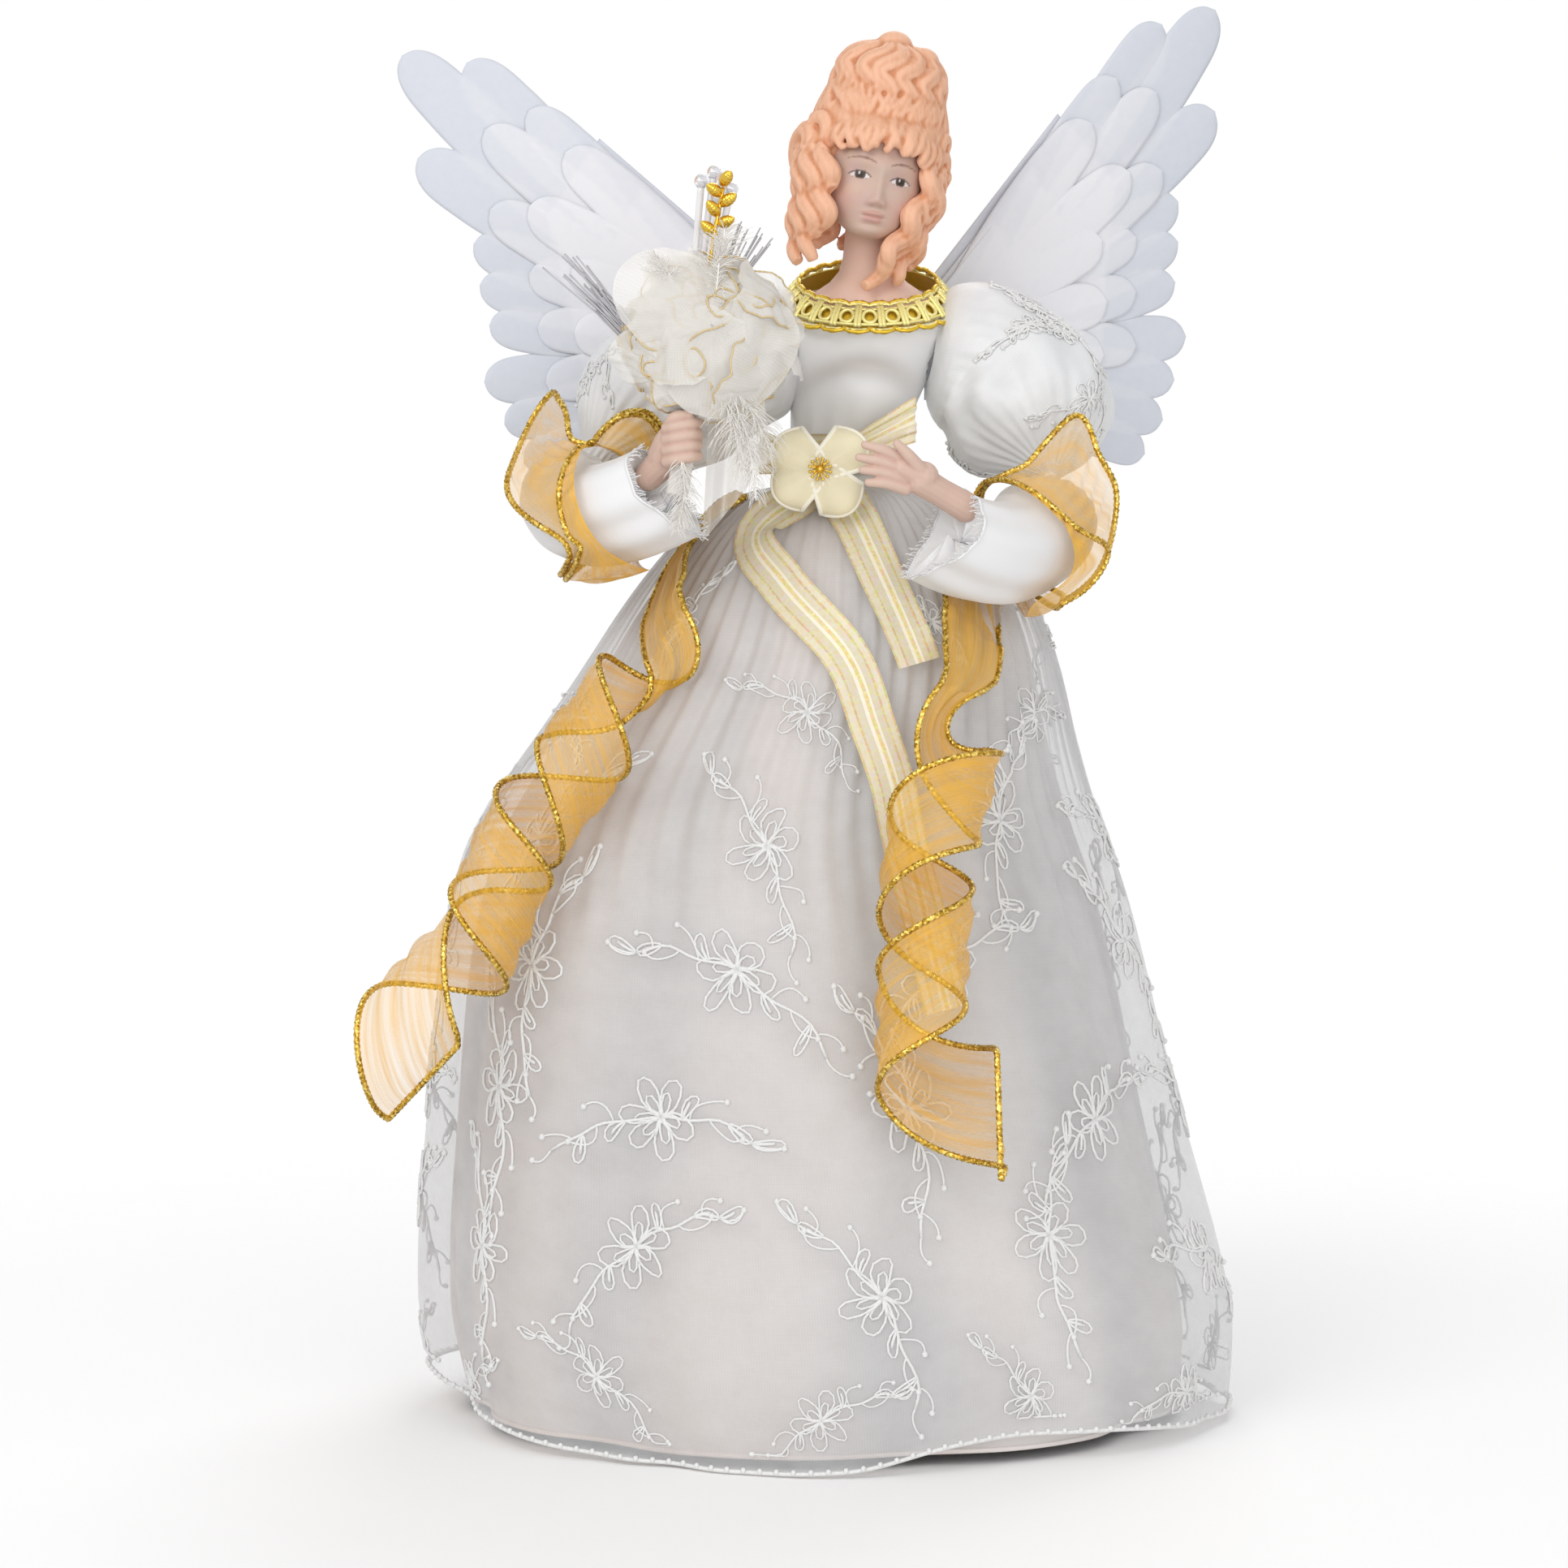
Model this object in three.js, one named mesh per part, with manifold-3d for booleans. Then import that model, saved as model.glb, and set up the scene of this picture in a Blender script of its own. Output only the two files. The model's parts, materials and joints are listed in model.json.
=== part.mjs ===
// Angel tree topper: a doll angel on a hollow cone that slips over the leader of a Christmas tree.
// Millimetres, +Z up. The angel faces -Y, and the origin is the centre of the cone's bottom rim.
// Left and right are the angel's own: its left arm is on +X.

import * as THREE from 'three';
import { mergeVertices } from 'three/addons/utils/BufferGeometryUtils.js';
import Module from 'manifold-3d';

const wasm = await Module();
wasm.setup();

// Clearances
const seatGap = 0.3;
const clothGap = 0.6;

// Cone that holds the tree's leader
const coneBaseRadius = 60;
const coneTopRadius = 16;
const coneHeight = 222;
const coneWall = 1.6;

// Torso: its axis leans from the cone to the waist and on to the neck
const waistHeight = 268;
const waistShift = 4.5;
const waistHalfWidth = 13;
const torsoTop = 309;
const neckShift = 12;
const shoulderHalfWidth = 22;
const shoulderHalfDepth = 16;
const shoulderHeight = 303;
const spigotDepth = 12;
const bodiceThickness = 1.2;
const armholeRadius = 9.5;

// Skirt: half its width at heights above the floor, for the outermost cloth
const skirtTop = 264;
const skirtHemRadius = 112;
const skirtWidestRadius = 115.5;
const skirtWidestHeight = 30;
const skirtHipRadius = 74;
const skirtHipHeight = 200;
const skirtDepthRatio = 0.9;
const skirtSway = -10.5;
const skirtSwayHeight = 160;
const skirtFolds = 8;
const skirtFoldDepth = 7;
const skirtGatherDepth = 1.2;
const liningFolds = 9;
const liningFoldDepth = 4.5;
const liningThickness = 1.2;
const liningHem = 3;
const overlayThickness = 0.8;
const overlayHem = 0.9;
const overlayHemLift = 10;
const skirtLayerGap = 1.6;
const waistSeat = 0.5;
const waistLayerGap = 2.2;

// Head, hair and shoulder plate
const headHeight = 355;
const headForward = 7;
const headHalfWidth = 14.7;
const headHalfDepth = 17;
const headHalfHeight = 21;
const headTurn = THREE.MathUtils.degToRad(12);
const headRoll = THREE.MathUtils.degToRad(11);
const skinWall = 2.2;
const neckRadius = 7;
const neckBore = 4;
const plateRise = 13;
const hairThickness = 2.6;
const curlRadius = 6.4;
const bunRadius = 9;

// Collar braid
const braidWidth = 9;
const braidThickness = 1.6;
const braidFrontDrop = 6.7;
const braidLean = THREE.MathUtils.degToRad(38);

// Sash, bow and ribbon flower
const sashRibbonWidth = 13;
const sashThickness = 0.8;
const sashBandHeight = 11;
const bowLoopLength = 27;
const petalLength = 15.5;
const petalWidth = 13;
const flowerHeight = 269;
const stamenRadius = 1.5;
const heartRadius = 3.2;

// Gold organza ribbon
const goldRibbonWidth = 28;
const goldRibbonThickness = 0.8;
const goldCurlRadius = 12;

// Arms
const armWireRadius = 1.2;
const sleeveThickness = 0.9;
const puffRadius = 26;
const puffGathers = 6;
const puffGatherDepth = 1.6;
const wrapStandOff = 4.4;
const wrapSeat = 1.6;
const elbowRadius = 16;
const cuffRadius = 15.5;
const palmRadius = 5.6;
const fingerRadius = 1.7;
const fibreBundleRadius = 1.2;
const fibreBundleOffset = 3.6;

// Bouquet
const holderRadius = 3;
const holderLength = 40;
const ruffleRadius = 31;
const ruffleRise = 21;
const ruffleDepthRatio = 0.56;
const ruffleWaves = 9;
const ruffleWaveHeight = 4.5;
const innerRuffleRadius = 19;
const innerRuffleRise = 26;
const ruffleThickness = 0.8;
const berryRadius = 2;
const goldBerryLength = 3.4;
const goldBerryRadius = 2;
const fibreStrandRadius = 0.4;

// Wings
const wingThickness = 0.7;
const wingLayerGap = 0.4;
const wingPinRadius = 1;
const wingPinLength = 18;
const knuckleWall = 1.4;
const rightKnuckleOut = 15;
const leftKnuckleOut = 10;
const wingRootHeight = 305;
const rightWingSweep = THREE.MathUtils.degToRad(5);
const leftWingSweep = THREE.MathUtils.degToRad(26);
const rightWingTilt = THREE.MathUtils.degToRad(-8.5);
const leftWingTilt = THREE.MathUtils.degToRad(0);
const bracketThickness = 2;

// Lamp, fibre and battery box
const lampBelowConeTop = 36;
const lampHeight = coneHeight - lampBelowConeTop;
const lampDepth = 20;
const ledRadius = 2.5;
const ledLength = 8.6;
const fibreTrunkRadius = 2.2;
const ferruleWall = 2;
const ferruleLength = 13;
const leadRadius = 0.9;
const leadHoleRadius = 1.9;
const cellRadius = 5.25;
const cellLength = 44.5;
const cellCount = 3;
const contactThickness = 0.5;
const boxWall = 2;
const boxBottom = 14;
const doorThickness = 1.5;
const doorLip = 1.4;
const switchTravel = 3;

const TAU = Math.PI * 2;
const point = (x, y, z) => new THREE.Vector3(x, y, z);

// Materials, one for each finish
const finish = (color, roughness, metalness = 0) =>
  new THREE.MeshStandardMaterial({ color, roughness, metalness });
const cardboard = finish(0xc9b79a, 0.9);
const foam = finish(0xf1efe9, 0.95);
const beech = finish(0xcaa679, 0.7);
const liningCloth = finish(0xeeecea, 0.85);
const organza = finish(0xe2e1e0, 0.6);
const satin = finish(0xf2f2f0, 0.4);
const goldBraid = finish(0xd9b84a, 0.4, 0.6);
const ivoryRibbon = finish(0xefe2b4, 0.45);
const goldOrganza = finish(0xe5a93c, 0.5);
const skin = finish(0xd0bab4, 0.75);
const hairPaint = finish(0xf0b08f, 0.8);
const wire = finish(0x9a9a9c, 0.35, 0.9);
const tulle = finish(0xf0ebe0, 0.7);
const clearBerry = finish(0xeef0f0, 0.15);
const goldBead = finish(0xc9a227, 0.2, 0.9);
const fibre = finish(0xb9b9bd, 0.2);
const featherSheet = finish(0xdcdde6, 0.7);
const moulding = finish(0xe9e7e2, 0.5);
const cellSleeve = finish(0x4c4f55, 0.4, 0.3);
const leadJacket = finish(0xf0eeea, 0.5);

// Smooth curve through [position, value] pairs, level beyond its ends
function through(pairs) {
  const slopes = pairs.map((_, i) => {
    const before = pairs[Math.max(i - 1, 0)];
    const after = pairs[Math.min(i + 1, pairs.length - 1)];
    return (after[1] - before[1]) / (after[0] - before[0]);
  });
  return (s) => {
    const last = pairs.length - 1;
    if (s <= pairs[0][0]) return pairs[0][1];
    if (s >= pairs[last][0]) return pairs[last][1];
    const i = pairs.findIndex((pair) => pair[0] > s) - 1;
    const span = pairs[i + 1][0] - pairs[i][0];
    const t = (s - pairs[i][0]) / span;
    const rise = pairs[i + 1][1] - pairs[i][1];
    const a = slopes[i] * span - rise;
    const b = rise - slopes[i + 1] * span;
    return pairs[i][1] + rise * t + t * (1 - t) * (a * (1 - t) + b * t);
  };
}

// Closed geometry from corners and faces, turned so that its faces point out
function closedGeometry(corners, faces) {
  let volume = 0;
  for (const [a, b, c] of faces) {
    volume += corners[a].dot(corners[b].clone().cross(corners[c]));
  }
  const turned = volume < 0 ? faces.map(([a, b, c]) => [a, c, b]) : faces;
  const geometry = new THREE.BufferGeometry().setFromPoints(corners);
  geometry.setIndex(turned.flat());
  return geometry;
}

// Cloth of an even thickness on the surface (u, v), with u closed into a ring or open
function sheet(surface, columns, rows, thickness, closed = false) {
  const across = closed ? columns : columns + 1;
  const nudge = 1e-3;
  const corners = [];
  for (const side of [0.5, -0.5]) {
    for (let j = 0; j <= rows; j++) {
      for (let i = 0; i < across; i++) {
        const u = i / columns;
        const v = j / rows;
        const du = surface(u + nudge, v).sub(surface(u - nudge, v));
        const dv = surface(u, v + nudge).sub(surface(u, v - nudge));
        const normal = du.cross(dv).normalize();
        corners.push(surface(u, v).addScaledVector(normal, side * thickness));
      }
    }
  }
  const layer = across * (rows + 1);
  const at = (side, i, j) => side * layer + j * across + (i % across);
  const faces = [];
  const quad = (a, b, c, d) => faces.push([a, b, c], [a, c, d]);
  for (let i = 0; i < columns; i++) {
    for (let j = 0; j < rows; j++) {
      quad(at(0, i, j), at(0, i + 1, j), at(0, i + 1, j + 1), at(0, i, j + 1));
      quad(at(1, i, j), at(1, i, j + 1), at(1, i + 1, j + 1), at(1, i + 1, j));
    }
    quad(at(0, i, 0), at(1, i, 0), at(1, i + 1, 0), at(0, i + 1, 0));
    quad(at(0, i, rows), at(0, i + 1, rows), at(1, i + 1, rows), at(1, i, rows));
  }
  if (!closed) {
    for (let j = 0; j < rows; j++) {
      quad(at(0, 0, j), at(0, 0, j + 1), at(1, 0, j + 1), at(1, 0, j));
      quad(at(0, columns, j), at(1, columns, j), at(1, columns, j + 1), at(0, columns, j + 1));
    }
  }
  return closedGeometry(corners, faces);
}

// Solid through rings of as many points each, closed at both ends
function loft(rings) {
  const count = rings[0].length;
  const corners = rings.flat();
  const faces = [];
  for (let j = 0; j + 1 < rings.length; j++) {
    for (let i = 0; i < count; i++) {
      const a = j * count + i;
      const b = j * count + ((i + 1) % count);
      faces.push([a, b, b + count], [a, b + count, a + count]);
    }
  }
  const lastRing = (rings.length - 1) * count;
  for (let i = 1; i + 1 < count; i++) {
    faces.push([0, i + 1, i], [lastRing, lastRing + i, lastRing + i + 1]);
  }
  return closedGeometry(corners, faces);
}

// Level oval ring of points
function ovalRing(centreX, centreY, height, halfWidth, halfDepth, count) {
  return Array.from({ length: count }, (_, i) => {
    const turn = (i / count) * TAU;
    return point(centreX + halfWidth * Math.cos(turn), centreY + halfDepth * Math.sin(turn), height);
  });
}

// Round rod or cord along points
function tube(points, radius, sides = 8, stepsPerSpan = 3) {
  const curve = points.length === 2
    ? new THREE.LineCurve3(points[0], points[1])
    : new THREE.CatmullRomCurve3(points, false, 'centripetal');
  const section = new THREE.Shape().absarc(0, 0, radius, 0, TAU);
  const steps = points.length === 2 ? 1 : (points.length - 1) * stepsPerSpan;
  return facingOut(new THREE.ExtrudeGeometry(section, {
    steps, curveSegments: sides / 2, extrudePath: curve, bevelEnabled: false,
  }));
}

// The same geometry with merged corners and its faces pointing out
function facingOut(geometry) {
  const bare = geometry.index ? geometry.toNonIndexed() : geometry.clone();
  bare.deleteAttribute('normal');
  bare.deleteAttribute('uv');
  const merged = mergeVertices(bare, 1e-4);
  const place = merged.getAttribute('position');
  const corners = Array.from({ length: place.count }, (_, i) => point().fromBufferAttribute(place, i));
  const faces = [];
  for (let i = 0; i < merged.index.count; i += 3) {
    const face = [merged.index.getX(i), merged.index.getX(i + 1), merged.index.getX(i + 2)];
    if (new Set(face).size === 3) faces.push(face);
  }
  return closedGeometry(corners, faces);
}

// Turned solid about the Z axis from [radius, height] pairs
function turned(profile, segments) {
  const outline = profile.map(([radius, height]) => new THREE.Vector2(radius, height));
  return facingOut(new THREE.LatheGeometry(outline, segments).rotateX(Math.PI / 2));
}

// Ring about the Z axis whose section is the closed outline of [radius, height] pairs
const turnedRing = (profile, segments) => turned([...profile, profile[0]], segments);

// Rod along Z from one height to another
const post = (radius, from, to, segments) =>
  turned([[0, from], [radius, from], [radius, to], [0, to]], segments);

// Block between two corners
function block(low, high) {
  const size = high.clone().sub(low);
  const middle = low.clone().add(high).multiplyScalar(0.5);
  return new THREE.BoxGeometry(size.x, size.y, size.z).translate(middle.x, middle.y, middle.z);
}

// Rounded lump with its own half sizes
function lump(centre, halfX, halfY, halfZ, detail = 1) {
  const ball = new THREE.IcosahedronGeometry(1, detail).scale(halfX, halfY, halfZ);
  return ball.translate(centre.x, centre.y, centre.z);
}

function solidOf(geometry) {
  const merged = facingOut(geometry);
  return new wasm.Manifold(new wasm.Mesh({
    numProp: 3,
    vertProperties: new Float32Array(merged.getAttribute('position').array),
    triVerts: new Uint32Array(merged.index.array),
  }));
}

function geometryOf(solid) {
  const mesh = solid.getMesh();
  const geometry = new THREE.BufferGeometry();
  geometry.setAttribute('position', new THREE.BufferAttribute(new Float32Array(mesh.vertProperties), 3));
  geometry.setIndex(new THREE.BufferAttribute(new Uint32Array(mesh.triVerts), 1));
  return geometry;
}

const join = (...pieces) => geometryOf(pieces.map(solidOf).reduce((whole, piece) => whole.add(piece)));
const cut = (piece, ...tools) =>
  geometryOf(tools.map(solidOf).reduce((left, tool) => left.subtract(tool), solidOf(piece)));
const thinned = (piece, tolerance) => geometryOf(solidOf(piece).simplify(tolerance));

const angel = new THREE.Group();

function add(name, geometry, material, parent = angel) {
  const mesh = new THREE.Mesh(geometry, material);
  mesh.name = name;
  parent.add(mesh);
  return mesh;
}

// Cone and torso share these curves
const coneRadiusAt = (height) =>
  coneBaseRadius + ((coneTopRadius - coneBaseRadius) * height) / coneHeight;
const coneBoreAt = (height) => coneRadiusAt(height) - coneWall;
const axisAt = through([[coneHeight, 0], [waistHeight, waistShift], [torsoTop, neckShift]]);
const torsoWidthAt = through([
  [coneHeight, coneTopRadius],
  [waistHeight, waistHalfWidth],
  [waistHeight + 23, waistHalfWidth + 3.5],
  [torsoTop - 4, shoulderHalfWidth],
  [torsoTop, shoulderHalfWidth],
]);
const torsoDepthAt = through([
  [coneHeight, coneTopRadius],
  [waistHeight, waistHalfWidth - 1.5],
  [waistHeight + 23, waistHalfWidth + 1],
  [torsoTop - 4, shoulderHalfDepth],
  [torsoTop, shoulderHalfDepth],
]);
const shoulderX = axisAt(shoulderHeight);
const torsoSides = 16;
const bodiceBottom = waistHeight;
const bodiceRows = 4;
const bodiceHeight = (row) => bodiceBottom + ((torsoTop - bodiceBottom) * row) / bodiceRows;

function torsoRing(height, standOff) {
  const halfWidth = torsoWidthAt(height) + standOff;
  const halfDepth = torsoDepthAt(height) + standOff;
  return ovalRing(axisAt(height), 0, height, halfWidth, halfDepth, torsoSides);
}

function buildCone() {
  const wall = turnedRing([
    [coneBaseRadius, 0],
    [coneTopRadius, coneHeight],
    [coneTopRadius - coneWall, coneHeight],
    [coneBaseRadius - coneWall, 0],
  ], 32);
  const leadHole = tube([point(0, coneBoreAt(lampHeight) - 4, lampHeight),
    point(0, coneRadiusAt(lampHeight) + 4, lampHeight)], leadHoleRadius);
  add('cone_core', cut(wall, leadHole), cardboard);
}

function buildTorso() {
  const spigotRadius = coneTopRadius - coneWall - seatGap;
  const spigotRing = (height, radius) => ovalRing(0, 0, height, radius, radius, torsoSides);
  const heights = [coneHeight + seatGap, (coneHeight + waistHeight) / 2];
  for (let row = 0; row <= bodiceRows; row++) heights.push(bodiceHeight(row));
  const block = loft([
    spigotRing(coneHeight - spigotDepth, spigotRadius),
    spigotRing(coneHeight + seatGap, spigotRadius),
    ...heights.map((height) => torsoRing(height, 0)),
  ]);
  const armBore = tube([point(shoulderX - 40, 0, shoulderHeight),
    point(shoulderX + 40, 0, shoulderHeight)],
    armWireRadius + seatGap);
  const trunkBore = tube(trunkRoute(), fibreTrunkRadius + seatGap, 8, 2);
  const ferruleBore = post(fibreTrunkRadius + ferruleWall + seatGap, 0, ferruleTop + seatGap, 16);
  const dowelBore = post(neckBore - seatGap, torsoTop - dowelDepth, torsoTop + 5, 12)
    .translate(neckShift, 0, 0);
  add('torso_block', cut(block, armBore, trunkBore, ferruleBore, dowelBore), foam);
  const dowel = post(neckBore - 2 * seatGap, torsoTop - dowelDepth + seatGap, torsoTop + dowelRise, 12);
  add('neck_dowel', dowel.translate(neckShift, 0, 0), beech);
}

// Skirt: a lining with soft folds, and an overlay that stands off it in gathered folds of its own
const skirtProfile = through([
  [0, skirtHemRadius],
  [skirtWidestHeight, skirtWidestRadius],
  [80, 109],
  [150, 96],
  [skirtHipHeight, skirtHipRadius],
  [227, 61],
  [245, 49],
  [256, 38],
  [262, 28],
  [skirtTop, torsoWidthAt(skirtTop) + waistSeat + liningThickness + waistLayerGap + overlayThickness
    + skirtGatherDepth],
]);
const skirtDepthRatioAt = through([
  [225, skirtDepthRatio],
  [245, skirtDepthRatio - 0.12],
  [257, skirtDepthRatio - 0.16],
  [skirtTop, skirtDepthRatio],
]);
const layerGapAt = through([[skirtTop - 40, skirtLayerGap], [skirtTop - 20, waistLayerGap],
  [skirtTop, waistLayerGap]]);
const skirtShift = through([[0, 0], [skirtSwayHeight, skirtSway], [220, 0],
  [skirtTop, axisAt(skirtTop)]]);
const foldDepthAt = through([[0, skirtFoldDepth], [180, skirtFoldDepth * 0.7],
  [skirtTop, skirtGatherDepth]]);
const hemLiftAt = through([
  [-20, 1], [60, 3], [120, 4], [180, overlayHemLift], [215, overlayHemLift * 0.4],
  [240, 0], [272, 0], [290, overlayHemLift * 0.6], [312, overlayHemLift * 0.6], [340, 1], [420, 3],
]);
const cornerBearing = THREE.MathUtils.degToRad(342);
const cornerSpread = 0.3;
const cornerReach = 9;
const cornerHeight = 110;
const overlayInside = (height) => skirtProfile(height) - foldDepthAt(height) - overlayThickness / 2;
const liningRadius = (height) => overlayInside(height) - layerGapAt(height) - liningThickness / 2;

function overlayFold(turn, height) {
  const wander = 0.5 * Math.sin(2 * turn + height / 60);
  return foldDepthAt(height) * 0.5 * (1 + Math.cos(skirtFolds * turn + wander));
}

const liningFoldDepthAt = through([[195, liningFoldDepth], [225, liningFoldDepth / 2], [255, 0]]);

// How far the lining falls in from its outermost line
function liningFold(turn, height) {
  const wander = 1.3 * Math.sin(2 * turn + height / 90);
  const crease = 0.5 * (1 + Math.cos(liningFolds * turn + wander));
  return liningFoldDepthAt(height) * crease ** 2;
}

function skirtPoint(turn, height, radius) {
  const across = skirtShift(height) + radius * Math.cos(turn);
  return point(across, skirtDepthRatioAt(height) * radius * Math.sin(turn), height);
}

// Point clear of every fold of the skirt, at a distance out from it
const overSkirt = (turn, height, standOff) =>
  skirtPoint(turn, height, skirtProfile(height) + overlayThickness + standOff);

function buildSkirt() {
  const rowSpacing = (v) => v ** 1.6;
  const lining = (u, v) => {
    const height = skirtTop + (liningHem - skirtTop) * rowSpacing(Math.max(v, 0));
    const turn = u * TAU;
    return skirtPoint(turn, height, liningRadius(height) - liningFold(turn, height));
  };
  const overlay = (u, v) => {
    const turn = u * TAU;
    const hem = overlayHem + hemLiftAt(THREE.MathUtils.radToDeg(turn) % 360);
    const height = skirtTop + (hem - skirtTop) * rowSpacing(Math.max(v, 0));
    const nearCorner = Math.exp(-(((turn - cornerBearing) / cornerSpread) ** 2));
    const corner = nearCorner * cornerReach * Math.max(0, 1 - height / cornerHeight);
    const radius = overlayInside(height) + overlayThickness / 2 + overlayFold(turn, height) + corner;
    return skirtPoint(turn, height, radius);
  };
  add('skirt_lining', sheet(lining, 45, 7, liningThickness, true), liningCloth);
  add('skirt_overlay', sheet(overlay, 40, 7, overlayThickness, true), organza);
}

function buildBodice() {
  const middle = clothGap + bodiceThickness / 2;
  const cloth = (u, v) => {
    const height = bodiceHeight(v * bodiceRows);
    const turn = u * TAU;
    return point(
      axisAt(height) + (torsoWidthAt(height) + middle) * Math.cos(turn),
      (torsoDepthAt(height) + middle) * Math.sin(turn),
      height,
    );
  };
  const armholes = tube([point(shoulderX - 40, 0, shoulderHeight),
    point(shoulderX + 40, 0, shoulderHeight)],
    armholeRadius, 12);
  const notch = block(point(shoulderX - 40, -armholeRadius, shoulderHeight),
    point(shoulderX + 40, armholeRadius, torsoTop + 5));
  add('bodice', cut(sheet(cloth, torsoSides, bodiceRows, bodiceThickness, true), join(armholes, notch)),
    satin);
}

// Head: an oval with a narrower jaw, turned and tilted on the neck
const headPlace = new THREE.Matrix4()
  .makeTranslation(neckShift + 1.5, -headForward, headHeight)
  .multiply(new THREE.Matrix4().makeRotationZ(headTurn))
  .multiply(new THREE.Matrix4().makeRotationY(headRoll));
const headFacetRoom = 0.9;
const curlFacet = 0.5;
const ringletStretch = 1.3;
const dowelDepth = 5;
const plateBottom = torsoTop + seatGap;
const plateTop = plateBottom + plateRise;
const dowelRise = plateRise + 10;

function headOval(inset, detail) {
  const oval = new THREE.IcosahedronGeometry(1, detail);
  const place = oval.getAttribute('position');
  for (let i = 0; i < place.count; i++) {
    const p = point().fromBufferAttribute(place, i);
    const low = Math.max(0, -p.z);
    const jaw = 1 - 0.34 * low ** 1.6;
    const back = p.y > 0 ? 1 - 0.25 * low : 1 + 0.06 * low;
    place.setXYZ(
      i,
      p.x * jaw * (headHalfWidth - inset),
      p.y * back * (headHalfDepth - inset),
      p.z * (headHalfHeight - inset),
    );
  }
  return oval.applyMatrix4(headPlace);
}

function nose() {
  return new THREE.ConeGeometry(2.1, 8, 6)
    .rotateX(-0.35)
    .rotateX(Math.PI / 2)
    .translate(0, -headHalfDepth + 0.6, -3.5)
    .applyMatrix4(headPlace);
}

function buildHead() {
  const sides = 20;
  const plateRing = (height, halfWidth, halfDepth) =>
    ovalRing(neckShift, 0, height, halfWidth, halfDepth, sides);
  const plate = loft([
    plateRing(plateBottom, shoulderHalfWidth, shoulderHalfDepth),
    plateRing(plateBottom + plateRise * 0.5, shoulderHalfWidth - 2, shoulderHalfDepth - 2),
    plateRing(plateTop, neckRadius + 3.5, neckRadius + 3),
    plateRing(plateTop + 5, neckRadius, neckRadius),
  ]);
  const neck = tube([point(neckShift, 0, plateTop), point(neckShift, -1, plateTop + 8),
    point(neckShift + 1, -headForward * 0.5, headHeight - headHalfHeight * 0.4)], neckRadius, 12, 2);
  const boreTop = plateBottom + dowelRise + 3;
  const bore = post(neckBore, plateBottom - 5, boreTop, 12).translate(neckShift, 0, 0);
  const throat = tube([point(neckShift, 0, boreTop - 3),
    point(neckShift + 1, -headForward * 0.5, headHeight)], neckBore - 0.5);
  const shell = join(plate, neck, headOval(0, 3), nose());
  add('head_and_shoulder_plate', cut(shell, join(bore, throat, headOval(skinWall, 1))), skin);
}

// Hair: a combed cap, a bun of fat curls, a curly fringe and ringlets down both sides.
// A curl is placed by its bearing round the head, its height in head heights and its size in curl radii.
const sideCurls = [
  [190, 0.3, 1.6], [196, -0.3, 1.5], [204, -0.9, 1.15],
  [-8, 0.4, 1.25], [-16, -0.3, 1.15], [-34, -0.9, 1.0],
];
const fringeCurls = [[-138, 0.55, 0.9], [-106, 0.63, 0.9], [-74, 0.62, 0.9], [-42, 0.53, 0.9]];
const bunCurls = [[-140, 0.85], [-50, 0.85], [40, 0.85], [130, 0.85]];

function buildHair() {
  const onHead = (bearing, level, size, tall) => {
    const turn = THREE.MathUtils.degToRad(bearing);
    const spread = level > 0 ? Math.sqrt(1 - level * level) : 1;
    const radius = size * curlRadius;
    const centre = point(
      spread * (headHalfWidth + hairThickness * 0.4) * Math.cos(turn),
      spread * (headHalfDepth + hairThickness * 0.4) * Math.sin(turn),
      level * headHalfHeight,
    ).applyMatrix4(headPlace);
    return lump(centre, radius, radius, radius * tall, 1);
  };
  const bunCentre = point(0, 1, headHalfHeight + bunRadius * 0.55).applyMatrix4(headPlace);
  const bun = bunCurls.map(([bearing, size]) => {
    const turn = THREE.MathUtils.degToRad(bearing);
    const reach = bunRadius * 1.1;
    const centre = bunCentre.clone().add(point(reach * Math.cos(turn), reach * 0.8 * Math.sin(turn), 0));
    return lump(centre, size * bunRadius, size * bunRadius, size * bunRadius, 1);
  });
  const crown = lump(bunCentre.clone().add(point(0, 0, bunRadius * 0.75)), bunRadius, bunRadius * 0.9,
    bunRadius * 0.7, 1);
  const bunCore = lump(bunCentre, bunRadius, bunRadius, bunRadius, 1);
  const cap = headOval(-hairThickness, 2);
  const faceWindow = lump(point(0, -headHalfDepth, -headHalfHeight * 0.32), headHalfWidth * 0.98,
    headHalfDepth * 1.05, headHalfHeight * 1.02, 1).applyMatrix4(headPlace);
  const neckWindow = block(point(-40, -40, -60),
    point(40, 40, -headHalfHeight * 0.72)).applyMatrix4(headPlace);
  const curls = [
    ...sideCurls.map((curl) => onHead(...curl, ringletStretch)),
    ...fringeCurls.map((curl) => onHead(...curl, 1)),
  ];
  const combed = cut(cap, faceWindow, neckWindow);
  const neckRoom = tube([point(neckShift, 0, plateTop - 4), point(neckShift, -1, plateTop + 8),
    point(neckShift + 1, -headForward * 0.5, headHeight - headHalfHeight * 0.4)], neckRadius + seatGap,
      12, 2);
  const hair = cut(join(combed, bunCore, crown, ...bun, ...curls), headOval(-seatGap - headFacetRoom, 2),
    neckRoom);
  add('moulded_hair', thinned(hair, curlFacet), hairPaint);
}

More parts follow.
